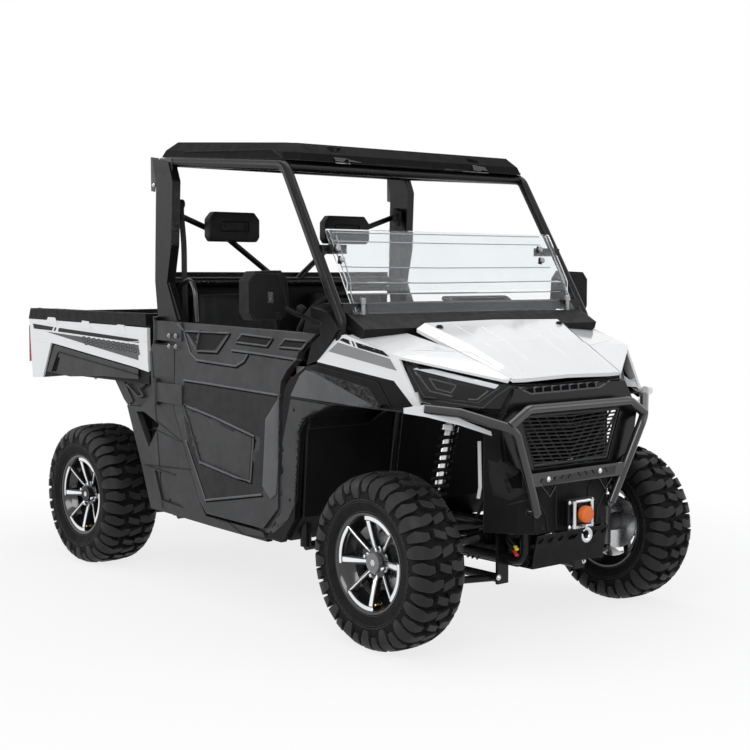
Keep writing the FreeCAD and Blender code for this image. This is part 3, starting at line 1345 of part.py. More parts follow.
def make_arms(frames):
    """Upper and lower wishbones at all four corners, with the rear hub carriers."""
    paths = []
    balls = []
    bolts = []
    plates = []
    for axle in (FRONT_AXLE, REAR_AXLE):
        for height in (f"{AXLE_HEIGHT} + ball_drop", f"{AXLE_HEIGHT} - ball_drop"):
            paths += arm_paths(axle, "arm_root_half", height)
            centre = spot(axle, "-kingpin_out", f"{height} - ball_height / 2")
            balls.append(Part.makeCylinder(size("ball_radius"), size("ball_height"), centre))
            start = spot(f"{axle} - arm_spread * 1.3", "-arm_root_half", height)
            bolts.append(Part.makeCylinder(size("arm_tube") * 0.6, size("arm_spread") * 2.6, start,
                                           FreeCAD.Vector(1, 0, 0)))
            for side in (-1, 1):
                corner = spot(f"{axle} + arm_spread * 1.3 * {side} - skid_thickness",
                              "-arm_root_half - arm_tube",
                              f"{AXLE_HEIGHT} - ball_drop - arm_tube * 0.6")
                plates.append(Part.makeBox(size("skid_thickness") * 2, size("arm_tube") * 2,
                                           size("ball_drop * 2 + arm_tube * 1.2"), corner))
    legs = [tube(path, size("arm_tube"), size("arm_tube")) for path in paths]
    carrier_low = spot(REAR_AXLE, "-kingpin_out", f"{AXLE_HEIGHT} - ball_drop")
    carrier = Part.makeCylinder(size("knuckle_radius"), size("ball_drop") * 2, carrier_low)
    reach = size("wheel_track / 2 + rear_rim_width / 2 - rim_disc_inset - kingpin_out")
    spindle = Part.makeCylinder(size("hub_radius"), reach, spot(REAR_AXLE, "-kingpin_out", AXLE_HEIGHT),
                                FreeCAD.Vector(0, -1, 0))
    solid = legs[0].multiFuse(legs[1:] + balls + bolts + plates + [carrier, spindle])
    right = shaped("arms_right", solid)
    DOC.recompute()
    cleared = carve("arms_cleared", right, frames)
    return pair_up("suspension_arms", cleared)


def make_shocks(tools):
    """A coil-over shock at each corner: body, coil outline and rod."""
    shocks = []
    nose = spot("nose_forward", "-nose_half_width", "nose_top - rail_tube")
    tower = spot(f"{FRONT_AXLE} - ball_drop", "-rail_half_width", "tower_top")
    front_head = nose + (tower - nose) * 0.82
    rear_head = spot(f"{REAR_AXLE} + arm_spread * 0.3", "-tail_half_width", "tail_top - rail_tube")
    for head in (front_head, rear_head):
        foot = spot("0", "-(kingpin_out - ball_drop * 1.2)", f"{AXLE_HEIGHT} - ball_drop + arm_tube / 2")
        foot.x = head.x
        line = head - foot
        length = line.Length
        rod = Part.makeCylinder(size("shock_rod_radius"), length, foot, line)
        coil = Part.makeCylinder(size("shock_radius"), length * 0.52, foot + line * 0.36, line)
        shocks.append(rod.fuse(coil))
    right = shaped("shocks_right", Part.makeCompound(shocks))
    DOC.recompute()
    cleared = carve("shocks_cleared", right, tools)
    return pair_up("shock_absorbers", cleared)


def make_shafts(tools):
    """A differential on a foot between the rails and two drive shafts with boots, at each end."""
    pieces = []
    radius = size("ball_drop") * 0.72
    low = size("rail_height - rail_tube / 2")
    half = size("arm_root_half") * 0.5
    for axle, foot_half in ((FRONT_AXLE, "nose_half_width"), (REAR_AXLE, "tail_half_width")):
        middle = size(axle)
        housing = Part.makeCylinder(radius, half * 2, FreeCAD.Vector(middle, -half, low + radius),
                                    FreeCAD.Vector(0, 1, 0))
        foot = Part.makeBox(radius * 1.2, size(foot_half) * 2, size("rail_tube"),
                            FreeCAD.Vector(middle - radius * 0.6, -size(foot_half), low))
        runs = []
        for side in (-1, 1):
            inner = FreeCAD.Vector(middle, side * half * 0.9, low + radius)
            outer = spot(axle, f"{side} * (kingpin_out - knuckle_radius * 1.3)", AXLE_HEIGHT)
            along = outer - inner
            runs.append(Part.makeCylinder(size("shaft_radius"), along.Length, inner, along))
            runs.append(Part.makeCone(size("boot_radius"), size("shaft_radius"), size("boot_length"), inner,
                                      along))
            tip = outer - along.normalize() * size("boot_length")
            runs.append(Part.makeCone(size("shaft_radius"), size("knuckle_radius"),
                                      size("boot_length") * 0.8, tip, along))
        pieces.append(housing.multiFuse([foot] + runs))
    whole = shaped("shafts", Part.makeCompound(pieces))
    DOC.recompute()
    return keep("drive_shafts", carve("drive_shafts", whole, tools))


def make_tie_rods():
    """The steering rack and its two tie rods, which slide together."""
    forward = f"{FRONT_AXLE} - steer_arm - knuckle_radius * 0.5"
    up = f"{AXLE_HEIGHT} + rack_radius + overrun / 2"
    reach = "kingpin_out - knuckle_radius * 0.8"
    rod = cylinder("tie_rods", "rack_radius", f"({reach}) * 2", (forward, f"-({reach})", up), (-1, 0, 0),
                   "90")
    return keep("tie_rods", rod)


def make_column():
    """The steering column between the wheel's hub and the dash."""
    tilt = "steering_wheel_tilt"
    return cylinder("column", "column_radius", "steering_wheel_radius * 1.6",
                    (f"steering_wheel_forward + steering_wheel_grip * 2 * cos({tilt})", "-driver_side",
                     f"steering_wheel_up - steering_wheel_grip * 2 * sin({tilt})"), (0, 1, 0), f"90 + {tilt}")


def make_steering_wheel():
    """The three-spoke steering wheel."""
    tilt = "steering_wheel_tilt"
    rim = DOC.addObject("Part::Torus", "steering_rim")
    bind(rim, "Radius1", "steering_wheel_radius")
    bind(rim, "Radius2", "steering_wheel_grip")
    place(rim, "steering_wheel_forward", "-driver_side", "steering_wheel_up", (0, 1, 0), f"90 + {tilt}")
    hub = cylinder("steering_hub", "steering_wheel_grip * 3", "steering_wheel_grip * 2 - seat_gap",
                   ("steering_wheel_forward", "-driver_side", "steering_wheel_up"), (0, 1, 0), f"90 + {tilt}")
    spokes = []
    for turn in ("90", "210", "330"):
        spoke = DOC.addObject("Part::Box", "steering_spoke")
        bind(spoke, "Length", "steering_wheel_radius")
        bind(spoke, "Width", "steering_wheel_grip * 1.6")
        bind(spoke, "Height", "steering_wheel_grip * 0.8")
        spokes.append((spoke, turn))
    DOC.recompute()
    axis = FreeCAD.Rotation(FreeCAD.Vector(0, 1, 0), size(f"90 + {tilt}"))
    centre = spot("steering_wheel_forward", "-driver_side",
                  "steering_wheel_up") + FreeCAD.Vector(size(CENTRE_SHIFT), 0, 0)
    shapes = []
    for spoke, turn in spokes:
        shape = spoke.Shape.copy()
        shape.translate(FreeCAD.Vector(0, -size("steering_wheel_grip * 0.8"), 0))
        turned = FreeCAD.Placement(centre,
                                   axis.multiply(FreeCAD.Rotation(FreeCAD.Vector(0, 0, 1), size(turn))))
        shape.Placement = turned.multiply(shape.Placement)
        shapes.append(shape)
    whole = rim.Shape.multiFuse([hub.Shape] + shapes)
    wheel = DOC.addObject("Part::Feature", "steering_wheel")
    wheel.Shape = whole
    keep("steering_wheel", wheel)


BED_SIDE_SHARES = [(-0.030, 1.00), (0.000, 0.00), (0.099, 0.02), (0.180, 0.62), (1.017, 0.315), (1.008, 0.87),
                   (1.008, 0.97), (0.80, 0.98)]
BED_ARCH_SHARES = [(0.102, 0.02), (0.326, 0.10), (0.74, 0.13), (1.01, 0.20), (1.017, 0.315), (0.180, 0.62)]


def make_bed():
    """The tipping bed: floor on two channels, inner walls and the front wall."""
    body = new_body("bed_body")
    inner = "body_half_width - bed_side_skin"
    wall_top = "bed_rail_top - bed_rail_height"
    section = [(f"-({inner})", "bed_floor"), (inner, "bed_floor"), (inner, wall_top),
               (f"{inner} - bed_wall", wall_top), (f"{inner} - bed_wall", "bed_floor + bed_floor_skin"),
               (f"-({inner} - bed_wall)", "bed_floor + bed_floor_skin"), (f"-({inner} - bed_wall)", wall_top),
               (f"-({inner})", wall_top)]
    pad(body, "YZ", section, "bed_length", offset="-bed_back")
    front = [(f"-({inner} - bed_wall)", "bed_floor"), (f"{inner} - bed_wall", "bed_floor"),
             (f"{inner} - bed_wall", wall_top), (f"-({inner} - bed_wall)", wall_top)]
    pad(body, "YZ", front, "bed_wall", offset="bed_length - bed_back - bed_wall")
    for side in ("-1", "1"):
        channel = [(f"{side} * bed_channel_out - bed_channel_width / 2", "bed_floor - bed_channel_height"),
                   (f"{side} * bed_channel_out + bed_channel_width / 2", "bed_floor - bed_channel_height"),
                   (f"{side} * bed_channel_out + bed_channel_width / 2", "bed_floor"),
                   (f"{side} * bed_channel_out - bed_channel_width / 2", "bed_floor")]
        pad(body, "YZ", channel, "bed_length * 0.96", offset="-bed_back + bed_wall")
        ear = [("-bed_pivot_back - bed_pin * 3", "bed_floor - bed_channel_height"),
               ("-bed_pivot_back - bed_pin * 2", "bed_pivot_up - bed_pin * 1.5"),
               ("-bed_pivot_back + bed_pin * 2", "bed_pivot_up - bed_pin * 1.5"),
               ("-bed_pivot_back + bed_pin * 3", "bed_floor - bed_channel_height")]
        pad(body, "XZ", ear, "bed_channel_width * 0.3",
            offset=f"-({side}) * bed_channel_out - bed_channel_width * 0.15")
    place(body)
    bore = cylinder("bed_pivot_bore", "bed_pin + seat_gap", "bed_channel_out * 3",
                    ("-bed_pivot_back", "-bed_channel_out * 1.5", "bed_pivot_up"), (-1, 0, 0), "90")
    gate_bore = cylinder("tailgate_bore", "tailgate_pin + seat_gap",
                         "body_half_width * 2 - bed_side_skin * 2 - bed_wall",
                         ("tailgate_pin - bed_back + bed_wall * 0.5",
                          "bed_wall * 0.5 + bed_side_skin - body_half_width",
                          "tailgate_low + tailgate_pin"), (-1, 0, 0), "90")
    tray = carve("bed_bored", body, [bore, gate_bore])
    side_panel = new_body("bed_side_right")
    points = outline(BED_SIDE_SHARES, "-bed_back", "bed_length", "bed_side_low", "bed_side_height")
    pad(side_panel, "XZ", points, "bed_side_skin", offset="body_half_width - bed_side_skin")
    place(side_panel)
    pair_up("bed_sides", side_panel)
    arch = new_body("bed_arch_right")
    points = outline(BED_ARCH_SHARES, "-bed_back", "bed_length", "bed_side_low", "bed_side_height")
    pad(arch, "XZ", points, "bed_side_skin * 0.5", offset="body_half_width - bed_side_skin")
    place(arch)
    ears = make_strut_ears("strut_eye * 0.6", "strut_eye_up - strut_eye", "bed_floor", "strut_eye_back")
    DOC.recompute()
    keep("bed_tray", fuse("bed_tray", [tray, arch, mirror_left(arch, "bed_arch_left")] + ears))
    rail = new_body("bed_rail_right")
    top = "bed_rail_top"
    low = "bed_rail_top - bed_rail_height"
    rail_points = [("-rear_reach + bed_rail_height * 0.4", top), ("bed_length - bed_back", top),
                   ("bed_length - bed_back", low), ("-rear_reach", low)]
    pad(rail, "XZ", rail_points, "bed_rail_width", offset="body_half_width + overrun * 0.2 - bed_rail_width")
    place(rail)
    cap = box("bed_rail_front",
              ("bed_rail_width", "(body_half_width - bed_rail_width) * 2 + overrun", "bed_rail_height"),
              ("bed_length - bed_back - bed_rail_width",
               "-(body_half_width - bed_rail_width) - overrun / 2", low))
    DOC.recompute()
    keep("bed_rails", fuse("bed_rails", [rail, mirror_left(rail, "bed_rail_left"), cap]))
    lamp = new_body("tail_lamp_right")
    lamp_points = [("-rear_reach + overrun / 2", "tail_lamp_low"),
                   ("-bed_back - bed_wall * 0.15", "tail_lamp_low"),
                   ("-bed_back - bed_wall * 0.15", "tail_lamp_low + tail_lamp_height"),
                   ("-rear_reach + overrun / 2", "tail_lamp_low + tail_lamp_height")]
    pad(lamp, "XZ", lamp_points, "tail_lamp_depth", offset="body_half_width - tail_lamp_depth")
    place(lamp)
    DOC.recompute()
    pair_up("tail_lamps", carve("tail_lamp_cleared", lamp, [side_panel]))
    gate = box("tailgate_panel",
               ("tailgate_thickness", "(body_half_width - bed_rail_width - panel_gap) * 2",
                "tailgate_height - panel_gap"),
               ("-bed_back + bed_wall * 0.5", "-(body_half_width - bed_rail_width - panel_gap)",
                "tailgate_low"))
    pin = cylinder("tailgate_pin", "tailgate_pin", "body_half_width * 2 - bed_side_skin * 2 - bed_wall * 1.4",
                   ("tailgate_pin - bed_back + bed_wall * 0.5",
                    "bed_wall * 0.7 + bed_side_skin - body_half_width", "tailgate_low + tailgate_pin"),
                   (-1, 0, 0), "90")
    DOC.recompute()
    keep("tailgate", fuse("tailgate", [gate, pin]))


def make_bed_pivots():
    """The pivot pins of the bed on two posts of the tail hoop."""
    pieces = []
    for side in ("-1", "1"):
        foot = f"{side} * bed_channel_out"
        pieces.append(cylinder("pivot_pin", "bed_pin", "bed_channel_width",
                               ("-bed_pivot_back", f"{foot} - bed_channel_width / 2", "bed_pivot_up"),
                               (-1, 0, 0), "90"))
        for shift in ("-0.48", "0.28"):
            pieces.append(box("pivot_ear",
                              ("bed_pin * 4", "bed_channel_width * 0.2",
                               "bed_pivot_up + bed_pin * 1.5 - tail_top + rail_tube"),
                              ("-bed_pivot_back - bed_pin * 2", f"{foot} + bed_channel_width * {shift}",
                               "tail_top - rail_tube")))
    return pieces


def make_strut():
    """The gas strut under the bed: barrel on the frame, rod towards the bed."""
    foot = spot("-strut_back", "-strut_side", "strut_up")
    head = spot("-strut_eye_back", "-strut_side", "strut_eye_up")
    line = head - foot
    length = line.Length
    along = line.normalize()
    eye_start = foot - FreeCAD.Vector(0, size("strut_eye"), 0)
    collar = size("strut_eye * 1.8")
    barrel = Part.makeCylinder(size("strut_radius"), length * 0.66 - collar, foot + along * collar, along)
    neck = Part.makeCylinder(size("strut_eye") * 0.8, collar * 1.1, foot, along)
    eye_ring = Part.makeCylinder(size("strut_eye") * 1.2, size("strut_eye") * 2, eye_start,
                                 FreeCAD.Vector(0, 1, 0))
    barrel = barrel.multiFuse([neck, eye_ring])
    bore = Part.makeCylinder(size("strut_rod_radius + seat_gap"), length,
                             foot + along * size("strut_eye * 2"), along)
    pin_bore = Part.makeCylinder(size("strut_pin + seat_gap"), size("strut_eye") * 2, eye_start,
                                 FreeCAD.Vector(0, 1, 0))
    keep("strut_barrel", shaped("strut_barrel", barrel.cut(bore).cut(pin_bore)))
    start = size("strut_eye * 2 + seat_gap")
    rod = Part.makeCylinder(size("strut_rod_radius"), length - start, foot + along * start, along)
    eye = Part.makeCylinder(size("strut_eye"), size("strut_eye"),
                            head - FreeCAD.Vector(0, size("strut_eye") / 2, 0), FreeCAD.Vector(0, 1, 0))
    keep("strut_rod", shaped("strut_rod", rod.fuse(eye)))


def make_hitch():
    """The two-inch receiver under the tail with its cross pin hole."""
    outer = box("receiver_outer_box", ("receiver_length", "receiver_outer", "receiver_outer"),
                ("-tail_back - receiver_length * 0.6", "-receiver_outer / 2",
                 "receiver_height - receiver_outer / 2"))
    inner = box("receiver_inner_box", ("receiver_length + overrun * 2", "receiver_inner", "receiver_inner"),
                ("-tail_back - receiver_length * 0.6 - overrun", "-receiver_inner / 2",
                 "receiver_height - receiver_inner / 2"))
    pin = cylinder("receiver_pin_hole", "receiver_pin", "receiver_outer * 2",
                   ("-tail_back - receiver_length * 0.3", "-receiver_outer", "receiver_height"), (-1, 0, 0),
                   "90")
    beam = box("receiver_beam", ("receiver_outer * 0.5", "tail_half_width * 2", "receiver_outer * 0.5"),
               ("-tail_back + receiver_length * 0.15", "-tail_half_width",
                "receiver_height - receiver_outer * 0.25"))
    return carve("receiver", fuse("receiver_whole", [outer, beam]), [inner, pin])


def make_muffler(tail):
    """The silencer across the tail, between the frame rails."""
    drum = cylinder("muffler_drum", "muffler_radius", "muffler_length",
                    ("-tail_back + muffler_radius * 1.5", "-muffler_length / 2",
                     "tail_top - rail_tube * 1.5 - muffler_radius"), (-1, 0, 0), "90")
    hangers = []
    for side in ("-1", "1"):
        hangers.append(box("muffler_hanger",
                           ("rail_tube", "rail_tube * 0.3", "muffler_radius + rail_tube * 0.5"),
                           ("-tail_back + muffler_radius * 1.25",
                            f"{side} * tail_half_width - rail_tube * 0.15",
                            "tail_top - rail_tube * 1.5 - muffler_radius")))
    DOC.recompute()
    return keep("muffler", carve("muffler", fuse("muffler_whole", [drum] + hangers), [tail]))


def check_objects():
    """Stop if any object failed or any sub-part is empty or broken."""
    for item in DOC.Objects:
        if "Invalid" in item.State or "Error" in item.State:
            raise RuntimeError(f"{item.Name} {item.Label} failed: {item.State}")
    for item in NODES:
        if item.Shape.isNull() or not item.Shape.isValid() or not item.Shape.Solids:
            raise RuntimeError(f"{item.Label} has no valid solid")


def write_parts():
    """Write each sub-part to its own file."""
    os.makedirs("parts", exist_ok=True)
    for item in NODES:
        item.Shape.exportStep(f"parts/{item.Label}.step")
        print(item.Label, "solids", len(item.Shape.Solids))


def finish_tail(tubes):
    """The tail frame with its bed pivots and rests, strut ears and strut pin, and the hitch receiver."""
    ears = make_strut_ears("strut_eye + seat_gap", "rail_height", "strut_up + strut_eye", "strut_back")
    reach = "strut_eye + seat_gap + strut_ear"
    pin = cylinder("strut_pin_bar", "strut_pin", f"({reach}) * 2",
                   ("-strut_back", f"-strut_side - ({reach})", "strut_up"),
                   (-1, 0, 0), "90")
    more = ears + make_bed_pivots() + make_bed_rests()
    DOC.recompute()
    frame = fuse("tail_frame", [tubes, pin] + more)
    frame.Refine = False
    keep("tail_frame", frame)
    DOC.recompute()
    keep("hitch_receiver", carve("hitch_receiver", make_hitch(), [tubes]))


def finish_chassis(tubes):
    """The main frame with the sleeve of the steering rack."""
    frame = fuse("chassis_frame", [tubes, make_rack_housing()])
    frame.Refine = False
    keep("chassis_frame", frame)


def main():
    """Build the whole machine, check it and write its parts."""
    fill_sheet()
    chassis = make_chassis()
    finish_chassis(chassis)
    tail = make_tail()
    finish_tail(tail)
    make_engine()
    make_side_panels(make_hinge_feet("door_hinge_down", "panel_thickness * 0.3 + door_hinge_pin"))
    make_hood()
    make_front_face(chassis)
    make_grille()
    guard, plate = make_bumper()
    DOC.recompute()
    keep("front_bumper", carve("front_bumper", fuse("bumper_whole", [guard, plate]), [chassis]))
    make_nose_cover(guard)
    make_winch()
    cage = make_cage(chassis)
    dash = make_dash(chassis, cage, make_column())
    make_tub(chassis, cage, dash)
    quarters = make_quarters(cage)
    make_fenders(cage, dash, quarters)
    make_roof(cage)
    screen = make_windscreen(cage, dash)
    clamps = make_screen_clamps(screen, cage, dash)
    feet = fuse("upper_hinges", make_hinge_feet("door_hinge_up", "panel_thickness * 0.8 + door_hinge_pin"))
    DOC.recompute()
    keep("roll_cage", fuse("roll_cage", [cage, feet, mirror_left(feet, "upper_hinges_left")] + clamps))
    make_seats(cage)
    make_rear_panel(cage)
    make_mirrors(dash)
    make_door()
    make_steering_wheel()
    make_knuckles()
    arms = make_arms([chassis, tail])
    make_skid(arms)
    make_shocks([arms, chassis, tail])
    make_shafts([chassis, tail, arms])
    make_tie_rods()
    make_bed()
    make_strut()
    make_muffler(tail)
    make_wheels()
    DOC.recompute()
    check_objects()
    write_parts()


main()
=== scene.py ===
import logging
import math
from dataclasses import dataclass, field
from enum import Enum
from typing import Sequence

import bmesh
import bpy
from mathutils import Matrix, Vector
from mathutils.bvhtree import BVHTree


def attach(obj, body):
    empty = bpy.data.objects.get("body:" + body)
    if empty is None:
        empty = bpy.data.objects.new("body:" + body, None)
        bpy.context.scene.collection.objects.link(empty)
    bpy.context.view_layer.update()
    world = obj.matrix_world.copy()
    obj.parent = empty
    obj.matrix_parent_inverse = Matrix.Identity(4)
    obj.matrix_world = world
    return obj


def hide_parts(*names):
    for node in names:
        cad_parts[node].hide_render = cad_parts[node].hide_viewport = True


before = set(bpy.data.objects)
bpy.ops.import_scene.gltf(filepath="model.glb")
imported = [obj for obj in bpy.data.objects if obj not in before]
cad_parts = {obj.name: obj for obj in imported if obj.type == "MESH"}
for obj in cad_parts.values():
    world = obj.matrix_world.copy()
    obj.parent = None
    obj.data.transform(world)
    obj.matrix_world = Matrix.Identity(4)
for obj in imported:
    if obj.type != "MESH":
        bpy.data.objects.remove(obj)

# The dressed utility side by side. Lengths are in millimetres from the middle of the
# wheelbase (+X forward, +Y the left side, +Z up) until a form is placed, and the
# vehicle's right side, with the steering wheel, is the one nearest to the camera.

Pair = tuple[float, float]
Triple = tuple[float, float, float]
Outline = tuple[Pair, ...]
Outlines = tuple[Outline, ...]

LOG = logging.getLogger("side_by_side")
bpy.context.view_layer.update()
MIDDLE_SHIFT = 103.5
AXLE_HEIGHT = 343.0
FRONT_AXLE = 1100.0
REAR_AXLE = -1100.0
CLOUD_SCALE = 7.0
SMEAR_SCALE = 23.0
WEAR_RADIUS = 0.004
FINEST_RADIUS = 0.05
RIGHT = -1
LEFT = 1
SIDES = (RIGHT, LEFT)
WHEEL_SIDE = 675.0
AHEAD = Vector((1, 0, 0))
ACROSS = Vector((0, 1, 0))
UP = Vector((0, 0, 1))


class Grain(Enum):
    """The fine relief that a finish carries."""

    SMOOTH = "smooth"
    PEEL = "peel"
    MOULDED = "moulded"
    BRUSHED = "brushed"
    POWDER = "powder"
    CAST = "cast"
    RUBBER = "rubber"
    HIDE = "hide"
    WOVEN = "woven"


def add_node(tree: bpy.types.NodeTree, kind: str, inputs: dict, **settings) -> bpy.types.Node:
    """Add a shader node with its settings, values and links.

    Args:
        tree: The node tree.
        kind: The node's type, without its leading ShaderNode.
        inputs: By input name or number, a value or the socket that feeds it.
        settings: The node's own properties.

    Returns:
        The new node.
    """
    fresh = tree.nodes.new(f"ShaderNode{kind}")
    for key, value in settings.items():
        setattr(fresh, key, value)
    feed(tree, fresh, inputs)
    return fresh


def feed(tree: bpy.types.NodeTree, target: bpy.types.Node, inputs: dict) -> None:
    """Set a node's inputs, each to a value or to the socket that feeds it."""
    for key, value in inputs.items():
        if isinstance(value, bpy.types.NodeSocket):
            tree.links.new(value, target.inputs[key])
        else:
            target.inputs[key].default_value = value


@dataclass(frozen=True)
class Finish:
    """One surface finish: its colour, mottling, gloss, relief, and edges lightened by wear and a painted highlight.
    """

    name: str
    colour: Triple
    gloss: Pair = (0.40, 0.60)
    grain: Grain = Grain.SMOOTH
    grain_size: float = 2.0
    relief: float = 0.15
    mottle: float = 0.12
    metal: float = 0.0
    coat: float = 0.0
    clear: float = 0.0
    glow: float = 0.0
    edge: float = 0.0
    dust: float = 0.0
    shine: float = 0.5

    def material(self) -> bpy.types.Material:
        """Return the finish as a node material, made on its first use."""
        known = bpy.data.materials.get(f"{self.name}_finish")
        return known if known else self.build()

    def build(self) -> bpy.types.Material:
        """Make the node tree of this finish.

        Returns:
            The new material.
        """
        material = bpy.data.materials.new(f"{self.name}_finish")
        material.use_nodes = True
        tree = material.node_tree
        shader = tree.nodes["Principled BSDF"]
        feed(tree, shader, {"Metallic": self.metal, "Coat Weight": self.coat, "Coat Roughness": 0.06,
                            "Specular IOR Level": self.shine})
        if self.clear:
            feed(tree, shader, {"Transmission Weight": self.clear, "IOR": 1.2})
        if self.glow:
            feed(tree, shader, {"Emission Strength": self.glow, "Emission Color": (*self.colour, 1.0)})
        place = add_node(tree, "TexCoord", {}).outputs["Object"]
        self.paint(tree, shader, place)
        self.carve(tree, shader, place)
        return material

    def paint(self, tree: bpy.types.NodeTree, shader: bpy.types.Node, place: bpy.types.NodeSocket) -> None:
        """Give the shader its mottled colour and uneven gloss.

        Args:
            tree: The material's node tree.
            shader: Its surface shader.
            place: The coordinates that the patterns follow.
        """
        cloud = add_node(tree, "TexNoise", {"Scale": CLOUD_SCALE, "Detail": 5.0, "Vector": place})
        ramp = add_node(tree, "ValToRGB", {"Fac": cloud.outputs["Fac"]})
        dark = [part * (1.0 - self.mottle) for part in self.colour]
        light = [min(1.0, part * (1.0 + self.mottle * 0.5) + self.dust * 0.03) for part in self.colour]
        for stop, place_along, tone in zip(ramp.color_ramp.elements, (0.35, 0.68), (dark, light)):
            stop.position = place_along
            stop.color = (*tone, 1.0)
        colour = ramp.outputs["Color"]
        # Lighter edges: partly wear, partly a painted edge highlight.
        if self.edge:
            colour = self.worn_and_highlit(tree, colour)
        smear = add_node(tree, "TexNoise", {"Scale": SMEAR_SCALE, "Vector": place})
        spread = add_node(tree, "MapRange", {"From Min": 0.3, "From Max": 0.7, "To Min": self.gloss[0],
                                         "To Max": self.gloss[1], "Value": smear.outputs["Fac"]})
        feed(tree, shader, {"Base Color": colour, "Roughness": spread.outputs["Result"]})

    def worn_and_highlit(self, tree: bpy.types.NodeTree, colour: bpy.types.NodeSocket) -> bpy.types.NodeSocket:
        """Lighten the edges: partly the wear of handling, partly a painted edge highlight.

        Args:
            tree: The material's node tree.
            colour: The colour before its edges are lightened.

        Returns:
            The colour with its edges lighter, from wear and a painted highlight.
        """
        soft = add_node(tree, "Bevel", {"Radius": WEAR_RADIUS}, samples=4)
        plain = add_node(tree, "NewGeometry", {})
        match = add_node(tree, "VectorMath", {0: soft.outputs["Normal"], 1: plain.outputs["Normal"]},
                         operation="DOT_PRODUCT")
        rub_and_highlight = add_node(tree, "MapRange",
                       {"From Min": 0.98, "From Max": 0.80, "To Max": self.edge, "Value": match.outputs["Value"]})
        pale = tuple(min(1.0, part * 2.2 + 0.10) for part in self.colour) + (1.0,)
        mix = add_node(tree, "Mix", {0: rub_and_highlight.outputs["Result"], 6: colour, 7: pale}, data_type="RGBA")
        return mix.outputs[2]

    def carve(self, tree: bpy.types.NodeTree, shader: bpy.types.Node, place: bpy.types.NodeSocket) -> None:
        """Give the shader its fine relief.

        Args:
            tree: The material's node tree.
            shader: Its surface shader.
            place: The coordinates that the relief follows.
        """
        scale = 1000.0 / self.grain_size
        across = {Grain.BRUSHED: 0.10, Grain.MOULDED: 0.35}.get(self.grain, 1.0)
        stretch = (across, across, 1.0)
        mapping = add_node(tree, "Mapping", {"Scale": tuple(part * scale for part in stretch), "Vector": place})
        kinds = {Grain.HIDE: "TexVoronoi", Grain.CAST: "TexVoronoi", Grain.WOVEN: "TexWave"}
        kind = kinds.get(self.grain, "TexNoise")
        pattern = add_node(tree, kind, {"Scale": 1.0, "Detail": 3.0, "Vector": mapping.outputs["Vector"]})
        height = pattern.outputs["Distance" if kind == "TexVoronoi" else "Fac"]
        strength = 0.05 if self.grain is Grain.SMOOTH else 0.6
        bump = add_node(tree, "Bump", {"Strength": strength, "Distance": self.relief / 1000.0, "Height": height})
        feed(tree, shader, {"Normal": bump.outputs["Normal"]})


WHITE_PAINT = Finish("white_paint", (0.80, 0.80, 0.80), (0.10, 0.16), Grain.PEEL, 9.0, 0.02, 0.02, coat=0.6)
GREY_STRIPE = Finish("grey_stripe", (0.25, 0.255, 0.26), (0.30, 0.40), Grain.PEEL, 9.0, 0.02, 0.05, shine=0.3)
BLACK_STRIPE = Finish("black_stripe", (0.006, 0.006, 0.0065), (0.30, 0.40), Grain.PEEL, 9.0, 0.02, 0.10, shine=0.15)
DOOR_PLASTIC = Finish("door_plastic", (0.036, 0.0365, 0.038), (0.46, 0.60), Grain.MOULDED, 3.0, 0.3, 0.18, edge=0.45,
                      dust=0.08, shine=0.28)
# A lighter grey copy of the door plastic: painted highlights on pressed lines, facets and fins; on the bed's sides,
# the grey of the print.
HIGHLIGHT_AND_PRINT_GREY = Finish("highlight_and_print_grey", (0.085, 0.086, 0.090), (0.42, 0.56), Grain.MOULDED, 3.0, 0.2, 0.16, edge=0.30,
                   shine=0.35)
# A darker copy of the door plastic: painted shade on the door's lower part; on the nose cover, lighter than the
# cover, painted light on its facets.
SHADE_AND_LIT_FACET_GREY = Finish("door_low", (0.013, 0.013, 0.014), (0.46, 0.60), Grain.MOULDED, 3.0, 0.3, 0.22, dust=0.05,
                  shine=0.20)
DOOR_POCKET = Finish("door_pocket", (0.034, 0.0345, 0.036), (0.44, 0.58), Grain.MOULDED, 3.0, 0.3, 0.20, dust=0.05,
                     shine=0.28)
DARK_PLASTIC = Finish("dark_plastic", (0.0075, 0.0075, 0.008), (0.46, 0.60), Grain.MOULDED, 2.4, 0.2, 0.18, edge=0.45,
                      dust=0.03, shine=0.11)
GLOSS_PLASTIC = Finish("gloss_plastic", (0.006, 0.006, 0.0065), (0.14, 0.24), Grain.PEEL, 6.0, 0.03, 0.15, edge=0.3,
                       shine=0.3)
# Near black for painted shade, laid in slots, vents, pockets, grooves and recesses and behind the grille.
SHADE_PLASTIC = Finish("shade_plastic", (0.004, 0.004, 0.0045), (0.62, 0.78), Grain.POWDER, 2.0, 0.2, 0.20,
                       shine=0.05)
FRAME_COAT = Finish("frame_coat", (0.006, 0.006, 0.0065), (0.24, 0.36), Grain.POWDER, 1.6, 0.10, 0.20, edge=0.35,
                    shine=0.22)
GUARD_COAT = Finish("guard_coat", (0.016, 0.016, 0.017), (0.13, 0.22), Grain.POWDER, 1.6, 0.08, 0.15, edge=0.4,
                    shine=0.7)
ROOF_PLASTIC = Finish("roof_plastic", (0.0050, 0.0050, 0.0055), (0.46, 0.60), Grain.POWDER, 3.0, 0.2, 0.18, edge=0.40,
                      dust=0.02, shine=0.05)
